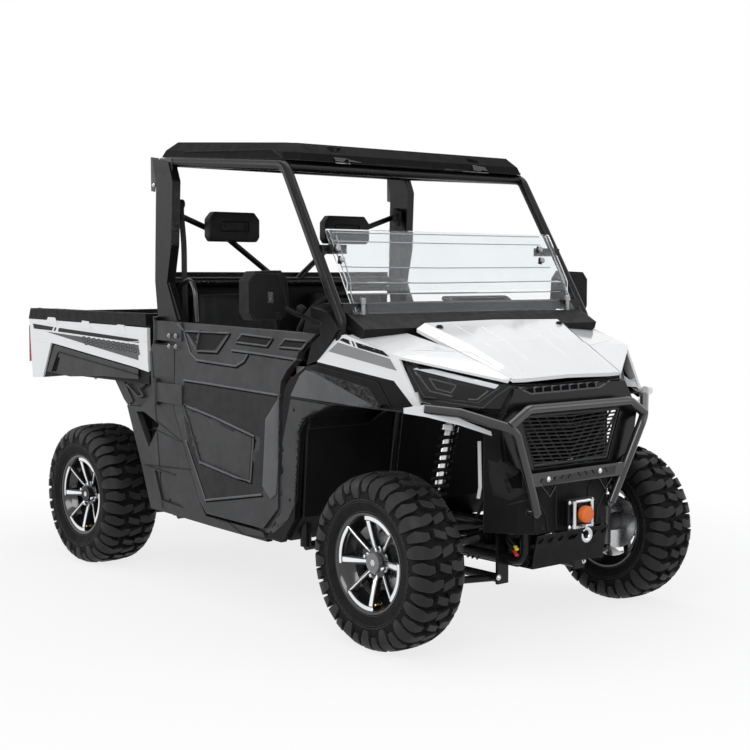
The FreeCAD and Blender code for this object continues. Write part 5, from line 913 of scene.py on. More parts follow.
@dataclass
class CastWheel:
    """A dark cast wheel with four bright hooks, each a spoke that turns along the lip."""

    end: str
    side: int
    half_width: float
    lip_radius: float = 194.0
    hook_sweep: float = 47.0
    first_spoke: float = 3.0
    nut_circle: float = 54.0

    def point(self, radius: float, angle: float, out: float) -> Vector:
        """Return a point by its radius, its angle seen from outside and its distance outward."""
        turn = math.radians(angle)
        along, up = -self.side * math.cos(turn) * radius, math.sin(turn) * radius
        return wheel_middle(self.end, self.side) + spot(along, self.side * out, up)

    def dish(self, radius: float) -> float:
        """Return how far out the spokes' faces lie at a radius."""
        share = max(0.0, min(1.0, (radius - 46.0) / 128.0))
        return self.half_width - 46.0 + 38.0 * share ** 0.8

    def spoke(self, form: Form, angle: float, hub_half: float, rim_half: float, lift: float, depth: float) -> None:
        """Add one spoke.

        Args:
            form: The form that it is added to.
            angle: Its angle.
            hub_half: Half its width at the hub.
            rim_half: Half its width at the lip.
            lift: How far its face stands off the dish.
            depth: How deep it is.
        """
        rows = []
        for radius in (44.0, 70.0, 100.0, 130.0, 155.0, 178.0):
            share = (radius - 44.0) / 134.0
            half = math.degrees((hub_half + (rim_half - hub_half) * share) / radius)
            face = self.dish(radius) + lift
            rows.append([self.point(radius, angle - half, face), self.point(radius, angle + half, face),
                         self.point(radius, angle + half, face - depth),
                         self.point(radius, angle - half, face - depth)])
        form.skin(rows, ring=True, capped=True)

    def arc(self, form: Form, angle: float, inner: float, outer: float, lift: float, depth: float) -> None:
        """Add the part of a hook that lies along the lip.

        Args:
            form: The form that it is added to.
            angle: Where it starts.
            inner: Its inner radius.
            outer: Its outer radius.
            lift: How far its face stands off the dish.
            depth: How deep it is.
        """
        rows = []
        for step in range(13):
            turn = angle + 5.0 - (self.hook_sweep + 5.0) * step / 12
            taper = 4.0 if step == 12 else 0.0
            face = self.dish(175.0) + lift
            rows.append([self.point(inner + taper, turn, face), self.point(outer, turn, face),
                         self.point(outer, turn, face - depth), self.point(inner + taper, turn, face - depth)])
        form.skin(rows, ring=True, capped=True)

    def build(self) -> None:
        """Make the barrel, spokes, bright faces, nuts and brake disc."""
        name = wheel_node("rim", self.end, self.side)
        body = wheel_node("wheel", self.end, self.side)
        centre = self.point(0, 0, 0)
        out = spot(0, self.side, 0)
        half = self.half_width
        lip = self.lip_radius
        barrel = Form(f"{name}_barrel")
        barrel.lathe([(lip, half - 1), (lip + 1, half - 8), (179, half - 10), (177, half - 34), (156, half - 60),
                      (156, -half + 40), (178, -half + 12), (lip, -half + 8), (lip, -half), (lip - 8, -half + 1),
                      (172, -half + 16), (150, -half + 42), (150, half - 62), (170, half - 36), (174, half - 14),
                      (lip - 9, half - 2)], centre, out, 72, hollow=True)
        dark = Form("dark")
        bright = Form(f"{name}_bright")
        for number in range(4):
            angle = self.first_spoke + 90.0 * number
            self.spoke(dark, angle, 15.0, 13.0, 0.0, 26.0)
            self.spoke(dark, angle - self.hook_sweep, 9.0, 8.0, -3.0, 24.0)
            self.arc(dark, angle, 163.0, 184.0, 0.0, 18.0)
            self.spoke(bright, angle, 5.0, 10.5, 1.2, 2.2)
            self.spoke(bright, angle - self.hook_sweep, 2.2, 3.0, -1.8, 2.2)
            self.arc(bright, angle, 166.5, 183.0, 1.2, 2.2)
        dark.lathe([(66, half - 76), (66, half - 52), (60, half - 45), (36, half - 44), (33, half - 37),
                    (0, half - 36)], centre, out, 40)
        dark.soften(1.6, 2, 40.0)
        dark.join_to(barrel)
        barrel.place(RIM_BLACK, body, "rim", [name])
        bright.soften(0.6, 1, 40.0)
        bright.place(RIM_BRIGHT, body, "rim")
        nuts = Form(f"{name}_nuts")
        for number in range(4):
            foot = self.point(self.nut_circle, 72.0 + 90.0 * number, half - 47.0)
            nuts.lathe([(13, 0), (13, 3), (9.5, 4)], foot, out, 24)
            nuts.lathe([(9.5, 3), (9.5, 14), (7, 19), (3, 21)], foot, out, 6)
        nuts.lathe([(15, 0), (15, 10), (12, 12)], centre + out * (half - 37), out, 6)
        nuts.place(BRIGHT_STEEL, body, "rim")
        valve = Form(f"{name}_valve")
        foot = self.point(158.0, -78.0, half - 44.0)
        valve.lathe([(5, 0), (5, 12), (4, 14), (4, 22), (4.6, 23), (4.6, 30), (3, 32)], foot, out, 14)
        valve.place(BRASS, body, "rim")
        disc = Form(f"{name}_brake")
        back = -half * 0.25
        disc.lathe([(118, back), (118, back + 5), (70, back + 6), (66, half - 78), (40, half - 78), (40, back)],
                   centre, out, 48, hollow=True)
        disc.place(BRIGHT_STEEL, body, "steel")


@dataclass
class RunningGear:
    """The four wheels with their tyres."""

    rims: tuple[tuple[str, float, float], ...] = (("front", 103.0, 229.0), ("rear", 119.0, 279.0))

    def build(self) -> None:
        """Build each corner's wheel and tyre."""
        for end, half_width, tyre_width in self.rims:
            for side in SIDES:
                CastWheel(end, side, half_width).build()
                MudTyre(end, side, tyre_width).build()


@dataclass
class CoilSprings:
    """The coil-over shocks, with ball joints, boots and rod ends round them."""

    wire: float = 7.5
    coil_radius: float = 31.0
    turns: float = 9.5
    front_head: Triple = (1062.7, -301.1, 913.4)
    front_foot: Triple = (1062.7, -460.4, 250.0)
    rear_head: Triple = (-1061.0, -225.0, 710.0)
    rear_foot: Triple = (-1061.0, -460.4, 250.0)

    def shock(self, head: Vector, foot: Vector, forms: dict[str, Form]) -> None:
        """Build one shock between its two eyes.

        Args:
            head: Its upper eye.
            foot: Its lower eye.
            forms: The forms that take its steel, spring, collar and rubber.
        """
        way = (head - foot).normalized()
        length = (head - foot).length
        forms["body"].lathe([(20, length * 0.52), (21, length * 0.54), (21, length - 34), (14, length - 26)], foot,
                            way, 24)
        forms["collar"].lathe([(37, length * 0.34), (38, length * 0.345), (38, length * 0.385), (24, length * 0.395)],
                              foot, way, 28)
        forms["body"].lathe([(8, 14), (8, length * 0.56)], foot, way, 16)
        forms["body"].lathe([(16, 6), (17, 20), (12, 26)], foot, way, 16)
        forms["body"].lathe([(22, length * 0.845), (37, length * 0.85), (38, length * 0.88), (23, length * 0.885)],
                            foot, way, 28)
        forms["rubber"].lathe([(12, length * 0.40), (15, length * 0.43), (12, length * 0.45), (15, length * 0.47),
                               (11, length * 0.50)], foot, way, 20)
        start, end = length * 0.39, length * 0.845
        side = way.orthogonal().normalized()
        other = way.cross(side)
        points = []
        steps = int(self.turns * 16)
        for step in range(steps + 1):
            turn = math.tau * self.turns * step / steps
            points.append(foot + way * (start + (end - start) * step / steps)
                          + (side * math.cos(turn) + other * math.sin(turn)) * self.coil_radius)
        forms["spring"].sweep(points, self.wire, 8)
        for eye in (head, foot):
            forms["eye"].lathe([(16, -15), (16, 15)], eye, AHEAD, 20)
            forms["eye"].bolt(eye + spot(15, 0, 0), AHEAD, 8)

    def build(self) -> None:
        """Build the four shocks and the joints beside them."""
        forms = {key: Form(f"shock_{key}") for key in ("body", "spring", "collar", "rubber", "eye")}
        self.shock(spot(*self.front_head), spot(*self.front_foot), forms)
        self.shock(spot(*self.rear_head), spot(*self.rear_foot), forms)
        for form in forms.values():
            form.mirrored()
        forms["body"].place(BRIGHT_STEEL, "vehicle", "shock", ["shock_absorbers"])
        for key, finish in (("spring", SOFT_RUBBER), ("collar", ORANGE_RUBBER), ("rubber", SOFT_RUBBER),
                            ("eye", FRAME_COAT)):
            forms[key].place(finish, slot="shock")
        self.boots()

    def boots(self) -> None:
        """Build the pleated boots on the drive shafts and the steering rack."""
        shafts = Form("shaft_boots")
        for axle in (FRONT_AXLE, REAR_AXLE):
            inner, tip = spot(axle, -112, 376.8), spot(axle, -561, AXLE_HEIGHT)
            way = (tip - inner).normalized()
            pleats = [(39 - number * 3.0 + number % 2 * 4.0, 8.0 + number * 9.0) for number in range(8)]
            shafts.lathe([(40, 0), *pleats, (15, 84)], inner, way, 28)
            pleats = [(25 - number * 1.4 + number % 2 * 3.0, 6.0 + number * 8.0) for number in range(7)]
            shafts.lathe([(26, 0), *pleats, (15, 66)], tip, -way, 28)
        shafts.mirrored().place(SOFT_RUBBER, slot="shock")
        joints = Form("ball_joints")
        for axle in (FRONT_AXLE, REAR_AXLE):
            for height in (-108.0, 108.0):
                joints.lathe([(21, -17), (22, -6), (22, 8), (14, 17)], spot(axle, -590, AXLE_HEIGHT + height), UP, 20)
        joints.mirrored().place(DULL_STEEL, slot="steel")
        ends = Form("rod_ends")
        ends.lathe([(15, -14), (17, 0), (15, 12), (7, 14)], spot(999, -560, 361), UP, 18)
        ends.lathe([(16, 0), (16, 30), (12, 34)], spot(999, -544, 361), ACROSS, 6)
        ends.mirrored().place(BRIGHT_STEEL, "steering_rack", "steel")


@dataclass
class DoorTrim:
    """The doors' pressed lines and bands in a lighter grey of painted highlight, dark beads and a sheet of painted
    shade, their hinge bolts and inner pulls.
    """

    ridges: Outlines = (
        ((178, 324), (184, 331), (191, 353), (197, 360), (236, 366), (244, 361), (248, 354)),
        ((232, 350), (262, 354), (301, 360)), ((184, 380), (205, 383), (281, 395.5)),
        ((187, 406), (214, 417), (254, 436), (251, 482), (238, 478), (200, 462)),
        ((186, 440), (206, 500), (262, 494.5)))
    frames: Outlines = (
        ((186, 331), (230, 333), (217, 352), (197, 351)), ((242, 334), (273, 338), (267, 346), (236, 342)),
        ((285, 339), (308, 341), (302, 349), (279, 347)))
    lower: Outline = (
        (184, 381), (205, 384.5), (280, 397), (266, 419), (263, 486), (262, 494), (207, 498.5), (190, 450),
        (182, 405))
    pocket: Outline = ((185, 407), (214, 419), (252, 438), (249, 480), (238, 476), (202, 461))
    band: Outline = ((279.5, 397), (266, 419), (263, 486), (271, 499), (276.5, 494), (279.5, 450))
    hinge_bolts: Outline = ((-262, 1108), (-262, 1156), (-318, 1108), (-318, 1156))

    def build(self) -> None:
        """Lay the trim on the right door and mirror it on the left one."""
        panel = Panel(["door_right"])
        push = -ACROSS
        # The pressed lines and the front band take a lighter grey than the door: painted highlights.
        lines = Form("door_lines")
        for ridge in self.ridges:
            panel.ridge(lines, ridge, 5.5, push)
        for frame_line in self.frames:
            panel.ridge(lines, frame_line, 4.6, push, closed=True)
        bands = panel.sheet("door_band", self.band, push, 3.0, 5.0)
        bands.join_to(lines)
        # Dark beads just below each line: painted shade under it.
        shades = Form("door_shades")
        for ridge in self.ridges + self.frames:
            panel.ridge(shades, [(across + 0.8, down + 1.7) for across, down in ridge], 4.0, push)
        # The lower sheet is painted shade on the door's lower part; the pocket's film, near the door's own tone,
        # stands on it as a lit slope.
        low = panel.sheet("door_lower", self.lower, push, 0.0, 6.0)
        pocket = Panel(["door_right"], 1.8).sheet("door_pocket", self.pocket, push, 0.0, 6.0)
        insets = panel.sheet("door_insets", [(188, 333), (226, 334.5), (215, 350), (199, 349.5)], push, 0.0, 5.0)
        for corners in self.frames[1:]:
            panel.sheet("inset", corners, push, 0.0, 5.0).join_to(insets)
        pull = Form("door_pull")
        pull.sweep(bend(path((210, -702, 1120), (210, -668, 1128), (390, -668, 1128), (390, -702, 1120)), 26), 11, 12,
                   0.7)
        pull.block(spot(-240, -711, 760), spot(420, -704, 1000), 2)
        latch = Form("door_latch")
        latch.block(spot(560, -711, 1010), spot(640, -696, 1062), 5)
        latch.sweep(path((570, -694, 1036), (600, -684, 1036), (632, -690, 1040)), 8, 10, 0.5)
        bolts = Form("hinge_bolts")
        for along, up in self.hinge_bolts:
            bolts.bolt(spot(along, -766.0, up), push, 7.0)
        trim = ((lines, HIGHLIGHT_AND_PRINT_GREY), (shades, SHADE_PLASTIC), (low, SHADE_AND_LIT_FACET_GREY), (pocket, DOOR_POCKET),
                (insets, DARK_PLASTIC), (pull, DARK_PLASTIC), (latch, DULL_STEEL), (bolts, DULL_STEEL))
        for flip, body in ((False, "right_door"), (True, "left_door")):
            side = "left" if flip else "right"
            for form, finish in trim:
                form.place(finish, body, keep=True, flip=flip, name=f"{form.name}_{side}")


@dataclass
class SideDressing:
    """Stripes, seams, bands and bolts on the fenders, quarters and sills, with painted highlights on the quarters and
    painted shade at the sills.
    """

    black_stripes: Outlines = (
        ((339.5, 340.2), (343, 338.2), (349, 340.2), (350.5, 345)),
        ((351.5, 341), (353, 341.5), (355.5, 347), (353.7, 346.4)),
        ((355.3, 342.3), (383, 351), (389.5, 357), (358, 348)))
    grey_band: Outline = ((338, 342.5), (360, 349.5), (390, 359), (397, 371), (362, 361), (328.5, 351.5))
    dark_band: Outline = ((306, 368), (317, 365), (378, 382), (397, 417), (384, 411.5), (369, 388))
    lit_faces: Outlines = (
        ((291, 399), (327, 405), (306, 420), (300, 433), (297, 500), (288, 520), (274, 533), (263, 530), (272, 511),
         (281, 450)),)
    quarter_top: Outline = ((291, 396), (300, 376), (306, 370), (369, 389), (382, 410), (330, 402))
    lip: Outline = (
        (404, 408), (424, 405), (440, 410), (470, 423), (491, 431.5), (492, 436), (460, 425.5), (426, 417),
        (404, 413.5))
    cheek: Outline = ((405, 375), (419, 400.5), (432, 405), (452, 412), (424, 418), (401, 417), (397, 411))
    rear_link_sides: Pair = (-702.0, -694.0)
    rear_link_plates: Outlines = (
        ((114, 377.5), (123, 379), (133, 401), (128, 405), (124, 399)),
        ((120, 378), (152, 381), (152, 408), (130, 405)))
    rear_link_fold: Outline = ((127, 384), (139, 397), (144, 396), (139, 388), (146, 384))
    seams: Outlines = (
        ((291, 397), (330, 404), (383, 411.5)),
        ((330, 404.5), (306, 420), (300, 433), (297, 500), (288, 520), (276, 527)))

    def build(self) -> None:
        """Lay the trim on the right side and mirror it."""
        push = -ACROSS
        white = Panel(["front_fenders", "hood"], 1.0)
        dark = Panel(["front_quarters", "side_panels"], 1.0)
        stripes = Form("fender_stripes")
        for corners in self.black_stripes:
            white.sheet("stripe", corners, spot(0, -0.8, 0.6), 0.0, 6.0).join_to(stripes)
        stripes.mirrored().place(BLACK_STRIPE, slot="white_panel")
        band = white.sheet("fender_band", self.grey_band, spot(0, -0.8, 0.6), 0.0, 6.0)
        band.mirrored().place(GREY_STRIPE, slot="white_panel")
        under = dark.sheet("fender_under_band", self.dark_band, push, 3.5, 8.0)
        for seam in self.seams:
            dark.ridge(under, seam, 2.2, push)
        faces = Form("lit_faces")
        for corners in self.lit_faces:
            dark.sheet("face", corners, push, 0.0, 6.0).join_to(faces)
        faces.mirrored().place(DOOR_PLASTIC)
        # The quarters' upper facets take a lighter grey: a painted reflection of the light from above.
        top = dark.sheet("quarter_tops", self.quarter_top, push, 2.5, 6.0)
        top.mirrored().place(HIGHLIGHT_AND_PRINT_GREY)
        lip = Form("fender_lips")
        normal = spot(250, -108, 0).normalized()
        lip.plate([VIEW.meet(across, down, spot(1385, -400, 0), normal) for across, down in self.lip], spot(-7, 3, 0))
        corner = Panel(["front_fenders", "front_fascia", "headlamps"], 1.0)
        corner.sheet("cheek", self.cheek, spot(0.8, -0.6, 0), 0.0, 5.0).join_to(lip)
        lip.mirrored().place(WHITE_PAINT, slot="white_panel")
        # Dark beads: painted shade in the groove behind the door and the L-shaped shade of the sill's lower recess.
        dark.ridge(under, ((152, 352), (157, 430), (163, 508)), 2.4, push)
        dark.ridge(under, ((140, 463), (176, 475)), 3.0, push)
        dark.ridge(under, ((155, 470), (162, 500), (183, 507.5)), 2.6, push)
        dark.ridge(under, ((153, 519), (263, 538), (285, 540)), 3.0, push)
        under.mirrored().place(DARK_PLASTIC)
        links = Form("rear_links")
        for corners, side in zip(self.rear_link_plates, self.rear_link_sides):
            links.plate(VIEW.outline(corners, side), spot(0, 5, 0))
        links.sweep(bend(VIEW.outline(self.rear_link_fold, -706.0), 12), 7.0, 8)
        links.mirrored().place(DOOR_POCKET)
        creases = Form("bonnet_flank_creases")
        white.ridge(creases, ((404, 350), (470, 352), (512, 376)), 1.6, UP)
        creases.mirrored().place(WHITE_PAINT, slot="white_panel")
        screws = Form("panel_screws")
        for across, down in ((312, 374), (360, 392), (294, 410), (290, 500), (170, 500), (150, 440), (376, 404),
                             (300, 533)):
            screws.lathe([(7, -1), (7, 1.5), (5, 3)], dark.foot((across, down), push), push, 14)
        screws.mirrored().place(SOFT_RUBBER)
        self.bonnet()

    def bonnet(self) -> None:
        """Press four lines into the bonnet and add its rubber catches."""
        lines = Form("bonnet_lines")
        top = Panel(["hood"], 0.5)
        for across in (-250.0, 250.0):
            row = [top.drop(1010 + step * 32, across * (1.0 - step * 0.015), 1600) for step in range(12)]
            lines.sweep(row, 3.2, 8, 0.45)
        for across in (-120.0, 120.0):
            row = [top.drop(1040 + step * 25, across, 1600) for step in range(12)]
            lines.sweep(row, 2.4, 8, 0.4)
        lines.place(WHITE_PAINT, "bonnet", "white_panel")
        catches = Form("bonnet_catches")
        for across in (-349.0, 349.0):
            seat = top.drop(1030, across, 1600)
            catches.lathe([(16, -1), (16, 3), (12, 6), (12, 9), (6, 11)], seat, spot(-0.15, 0, 1), 20)
        catches.place(SOFT_RUBBER, "bonnet", "white_panel")


@dataclass
class FrontEnd:
    """The lamps, the vent strip, the chevron grille and the radiator behind it."""

    lamp_rim: Outline = ((403, 360), (508, 382), (478, 403), (424, 397))
    light_bar: Outline = ((410, 363.5), (455, 374.5), (499, 385), (495, 389), (453, 379), (413, 369))
    dark_glass: Outline = ((414, 371), (453, 381), (494, 391), (477, 401.5), (425, 395.5))
    lamp_lines: Outlines = (
        ((418, 375), (430, 391.5), (452, 396.5)), ((468, 399.5), (477, 399.8), (488, 391)),
        ((429, 378.5), (456, 385.5), (451, 393), (436, 389), (429, 378.5)))
    grille_top: float = 903.0
    grille_low: float = 692.0
    grille_top_half: float = 294.0
    grille_low_half: float = 220.0
    grille_front: float = 1429.0
    row_count: int = 13

    def lamps(self) -> None:
        """Build the headlamps' bars, lenses, lines and rims."""
        panel = Panel(["headlamps", "front_fascia"], 1.0)
        push = spot(0.78, -0.60, 0.15)
        glass = panel.sheet("lamp_glass", self.dark_glass, push, 2.0, 8.0)
        glass.mirrored().place(GLOSS_PLASTIC, slot="lamp")
        bar = panel.sheet("lamp_bar", self.light_bar, push, 6.0, 8.0)
        bar.mirrored().place(LAMP_LIGHT, slot="lamp")
        # The lamp's inner lines take a lighter grey: painted highlights.
        lines = Form("lamp_lines")
        for line in self.lamp_lines:
            panel.ridge(lines, line, 3.4, push, lift=4.0)
        lines.mirrored().place(HIGHLIGHT_AND_PRINT_GREY, slot="lamp")
        rim = Form("lamp_rim")
        panel.ridge(rim, self.lamp_rim, 4.6, push, closed=True)
        panel.ridge(rim, ((424, 399), (450, 403), (482, 408), (506, 414)), 3.0, push)
        panel.ridge(rim, ((514, 384), (497, 396), (483, 408)), 3.6, push)
        rim.mirrored().place(DOOR_PLASTIC, slot="lamp")

    def vent(self) -> None:
        """Build the finned strip under the bonnet's front edge."""
        panel = Panel(["front_fascia", "headlamps"], 1.0)
        push = spot(0.95, 0, 0.3)
        corners = ((518, 388.5), (526, 383), (562, 380), (598, 377.5), (609, 381.5), (599, 387.5), (565, 391),
                   (531, 394))
        # The strip behind the fins is painted shade in the vent's openings.
        strip = panel.sheet("vent_strip", corners, push, 0.0, 6.0)
        strip.place(SHADE_PLASTIC)
        # The fins take a lighter grey: painted highlights on their rims.
        fins = Form("vent_fins")
        panel.ridge(fins, corners, 4.0, push, closed=True)
        for number in range(8):
            share = (number + 0.7) / 8.4
            upper = (526 + (600 - 526) * share, 383 - 5.5 * share)
            lower = (528 + (602 - 528) * share, 394 - 6.5 * share)
            panel.ridge(fins, (upper, lower), 4.4, push, lift=2.0)
        fins.place(HIGHLIGHT_AND_PRINT_GREY)

    def half_at(self, up: float) -> float:
        """Return half the grille's width at a height."""
        share = (up - self.grille_low) / (self.grille_top - self.grille_low)
        return self.grille_low_half + (self.grille_top_half - self.grille_low_half) * share

    def grille(self) -> None:
        """Build the chevron grille in its frame."""
        mesh = Form("chevron_grille")
        front = self.grille_front - 9.0
        corners = [spot(front, side * half, up) for side, half, up in (
            (-1, self.grille_top_half - 8, self.grille_top - 8), (1, self.grille_top_half - 8, self.grille_top - 8),
            (1, self.grille_low_half - 8, self.grille_low + 8), (-1, self.grille_low_half - 8, self.grille_low + 8))]
        mesh.sweep(corners, 8.0, 8, closed=True)
        pitch = (self.grille_top - self.grille_low - 16) / self.row_count
        for number in range(self.row_count):
            middle = self.grille_low + 8 + pitch * (number + 0.5)
            for side in SIDES:
                edge = self.half_at(middle) - 12.0
                mesh.sweep(path((front - 1, side * edge, middle + 5.0), (front + 2, 0, middle - 6.0)), 8.0, 6, 0.42)
        for side in SIDES:
            for number in range(-3, 7):
                start, end = number * 52.0 + 40.0, number * 52.0 - 120.0
                low, high = self.grille_low + 10.0, self.grille_top - 10.0
                ends = []
                for share in (0.0, 1.0):
                    across = end + (start - end) * share
                    ends.append([across, low + (high - low) * share])
                if ends[1][0] < 4.0 or ends[0][0] > self.grille_low_half - 12.0:
                    continue
                if ends[0][0] < 0.0:
                    share = (0.0 - ends[0][0]) / (ends[1][0] - ends[0][0])
                    ends[0] = [0.0, low + (high - low) * share]
                top_room = self.grille_top_half - 14.0
                if ends[1][0] > top_room:
                    share = (top_room - ends[0][0]) / (ends[1][0] - ends[0][0])
                    ends[1] = [top_room - 6.0, ends[0][1] + (ends[1][1] - ends[0][1]) * share]
                mesh.sweep([spot(front - 3, side * across, up) for across, up in ends], 6.0, 6, 0.55)
        mesh.place(DOOR_PLASTIC, replaces=["grille"])
        # The radiator takes the near-black of painted shade, so the grille's openings read dark.
        cooler = Form("radiator")
        cooler.block(spot(1330, -236, 696), spot(1352, 236, 880), 4)
        for number in range(32):
            across = -217 + number * 14.0
            cooler.sweep(path((1354, across, 702), (1354, across, 874)), 3.0, 5, 0.4)
        cooler.place(SHADE_PLASTIC)

    def build(self) -> None:
        """Build the lamps, the vent strip and the grille."""
        self.lamps()
        self.vent()
        self.grille()


@dataclass
class BumperAndWinch:
    """The drilled plate, the cover's facets, the roller fairlead, the hook and the skid's slots."""

    slots: tuple[Triple, ...] = (
        (541.5, 480.5, 1), (555, 478.3, 1), (562, 477, 1), (569, 475.8, 1), (579, 474, -1), (586, 472.8, -1),
        (593, 471.6, -1), (606, 469.6, -1))
    plate_bolts: Outline = ((548.5, 479.2), (600, 470.7))
    cover_facets: Outline = (
        (488, 459), (497, 463), (512, 444), (516, 452), (503, 477), (508, 493), (526, 492), (510, 501), (493, 495),
        (489, 476))
    skid_slots: Outline = ((547, 534), (556, 532.5), (565, 531), (541, 541.5), (551, 540), (561, 538.5), (571, 537))

    def plate(self) -> None:
        """Mark the bumper's plate, its bolts and the skid's slots."""
        panel = Panel(["front_bumper"], 0.6)
        push = AHEAD
        face = panel.sheet("plate_face", ((540, 479.5), (616, 465.5), (615, 473.5), (543, 486)), push, 0.0, 6.0)
        face.place(DOOR_PLASTIC, slot="frame_black")
        bracket = Form("plate_bracket")
        bracket.sweep([VIEW.meet(across, down, spot(1462, 0, 0), push)
                       for across, down in ((598, 477), (604.5, 488.5), (612.5, 475.5))], 6.0, 8, 0.5)
        bracket.mirrored().place(GUARD_COAT, slot="frame_black")
        # The slots are dark beads: painted shade in the plate's openings.
        marks = Form("plate_slots")
        for across, down, lean in self.slots:
            ends = ((across - 1.2 * lean, down + 1.9), (across + 1.2 * lean, down - 1.9))
            panel.ridge(marks, ends, 3.2, push, lift=-1.2)
        marks.place(SHADE_PLASTIC, slot="frame_black")
        bolts = Form("plate_bolts")
        for corner in self.plate_bolts:
            bolts.bolt(panel.foot(corner, push), push, 7.0)
        bolts.bolt(spot(1259, -644, 937), spot(-0.5, -0.9, 0), 7.0)
        bolts.place(BRIGHT_STEEL, slot="frame_black")
        skid = Panel(["skid_plate"], 0.6)
        # The skid's slots are dark marks: painted shade in its openings.
        holes = Form("skid_slots")
        for across, down in self.skid_slots:
            base = skid.foot((across, down), push)
            for side in SIDES:
                place = spot(base.x, abs(base.y) * side, base.z)
                holes.sweep([place + spot(0, -11, -8), place + spot(0, 11, 8)], 6.0, 6, 0.3)
        holes.place(SHADE_PLASTIC, slot="skid")
        edges = Form("skid_edges")
        for number in range(7):
            along = -700 + number * 260
            edges.sweep(path((along, -190, 290), (along, 190, 290)), 5.0, 6, 0.5)
        for side in (-170.0, 170.0):
            edges.sweep(path((-820, side, 290), (1250, side, 290)), 5.0, 6, 0.5)
        edges.place(DARK_PLASTIC, slot="skid")

    def cover(self) -> None:
        """Add the facets and lines of the nose cover."""
        panel = Panel(["nose_cover", "skid_plate"], 0.8)
        push = spot(0.75, -0.65, 0)
        # The facets take a grey lighter than the cover: painted light on the lit facets.
        facets = panel.sheet("cover_facets", self.cover_facets, push, 2.0, 8.0)
        panel.ridge(facets, ((508, 505), (527, 500), (534, 512), (536, 540)), 3.4, push)
        facets.mirrored()
        for side in SIDES:
            facets.sweep(path((1435, side * 150, 640), (1435, side * 96, 590), (1435, side * 92, 440)), 4.0, 8)
            facets.sweep(path((1435, side * 196, 560), (1435, side * 150, 500), (1435, side * 140, 440)), 4.0, 8)
            for up in (650, 452):
                facets.bolt(spot(1434, side * 172, up), AHEAD, 6.0)
        facets.place(SHADE_AND_LIT_FACET_GREY)
        # The pocket is a dark block: painted shade in the cover's recess.
        pocket = panel.sheet("cover_pocket", ((508, 479), (521, 472), (522, 488), (512, 488)), push, 5.0, 6.0)
        pocket.mirrored().place(SHADE_PLASTIC)

    def winch(self) -> None:
        """Build the roller fairlead and the drum's ends."""
        frame_form = Form("fairlead_frame")
        for low, high in ((spot(1476, -62, 438), spot(1482, 62, 452)), (spot(1476, -62, 548), spot(1482, 62, 562)),
                          (spot(1476, -74, 438), spot(1482, -58, 562)), (spot(1476, 58, 438), spot(1482, 74, 562))):
            frame_form.block(low, high, 1.5)
        frame_form.place(FRAME_COAT, slot="winch")
        rollers = Form("fairlead_rollers")
        for side in SIDES:
            rollers.lathe([(5, -56), (8.5, -54), (8.5, 54), (5, 56)], spot(1492, side * 50, 500), UP, 18)
            rollers.lathe([(5, -44), (7.5, -42), (7.5, 42), (5, 44)], spot(1488, 0, 500 + side * 50), ACROSS, 18)
            for up in (452, 548):
                rollers.bolt(spot(1482, side * 66, up), AHEAD, 5.5)
        rollers.place(BRIGHT_STEEL, slot="winch")
        drum = Form("winch_drum_ends")
        for side in SIDES:
            drum.lathe([(44, 0), (46, 6), (46, 30), (38, 38), (18, 42)], spot(1374, side * 108, 500),
                       spot(0, side, 0), 28)
        drum.place(FRAME_COAT, slot="winch")

    def hook(self) -> None:
        """Build the orange stopper, the blue link and the forged hook."""
        stopper = Form("hook_stopper")
        stopper.lathe([(12, -20), (28, -18), (33, -10), (34, 2), (33, 12), (26, 19), (12, 21)], spot(1507, 0, 500),
                      AHEAD, 32)
        for number in range(5):
            turn = math.tau * number / 5
            side = spot(0, math.cos(turn), math.sin(turn))
            stopper.sweep([spot(1526.4, 0, 500) + side * 14, spot(1525, 0, 500) + side * 24], 3.0, 6)
        stopper.place(ORANGE_RUBBER, "vehicle", "hook", ["winch_hook"])
        link = Form("hook_link")
        link.sweep(bend(path((1508, 10, 482), (1516, 17, 474), (1516, 15, 458), (1512, 3, 452)), 8), 5.0, 10)
        link.place(BLUE_PLASTIC, slot="hook")
        hook = Form("forged_hook")
        centre = spot(1511, 0, 420)
        rows = []
        for step in range(27):
            turn = math.radians(100.0 - step * 11.2)
            thick = 5.0 - (step - 24) * 1.2
            if step < 24:
                thick = 5.5 + 5.0 * math.sin(min(1.0, step / 26 * 1.15) * math.pi)
            middle = centre + spot(0, math.cos(turn) * 23.0, math.sin(turn) * 23.0)
            outward = spot(0, math.cos(turn), math.sin(turn))
            rows.append([middle + outward * math.cos(math.tau * side / 12) * thick
                         + AHEAD * math.sin(math.tau * side / 12) * thick * 0.8 for side in range(12)])
        hook.skin(rows, ring=True, capped=True)
        hook.lathe([(7, -10), (8, 8), (5, 12)], spot(1511, -2, 450), UP, 16)
        hook.sweep(path((1504, -14, 458), (1518, -14, 458), (1518, 12, 458), (1504, 12, 458)), 4.0, 8, closed=True)
        hook.sweep(path((1511, -20, 436), (1511, -6, 441)), 2.6, 8)
        hook.place(BRIGHT_STEEL, slot="hook")

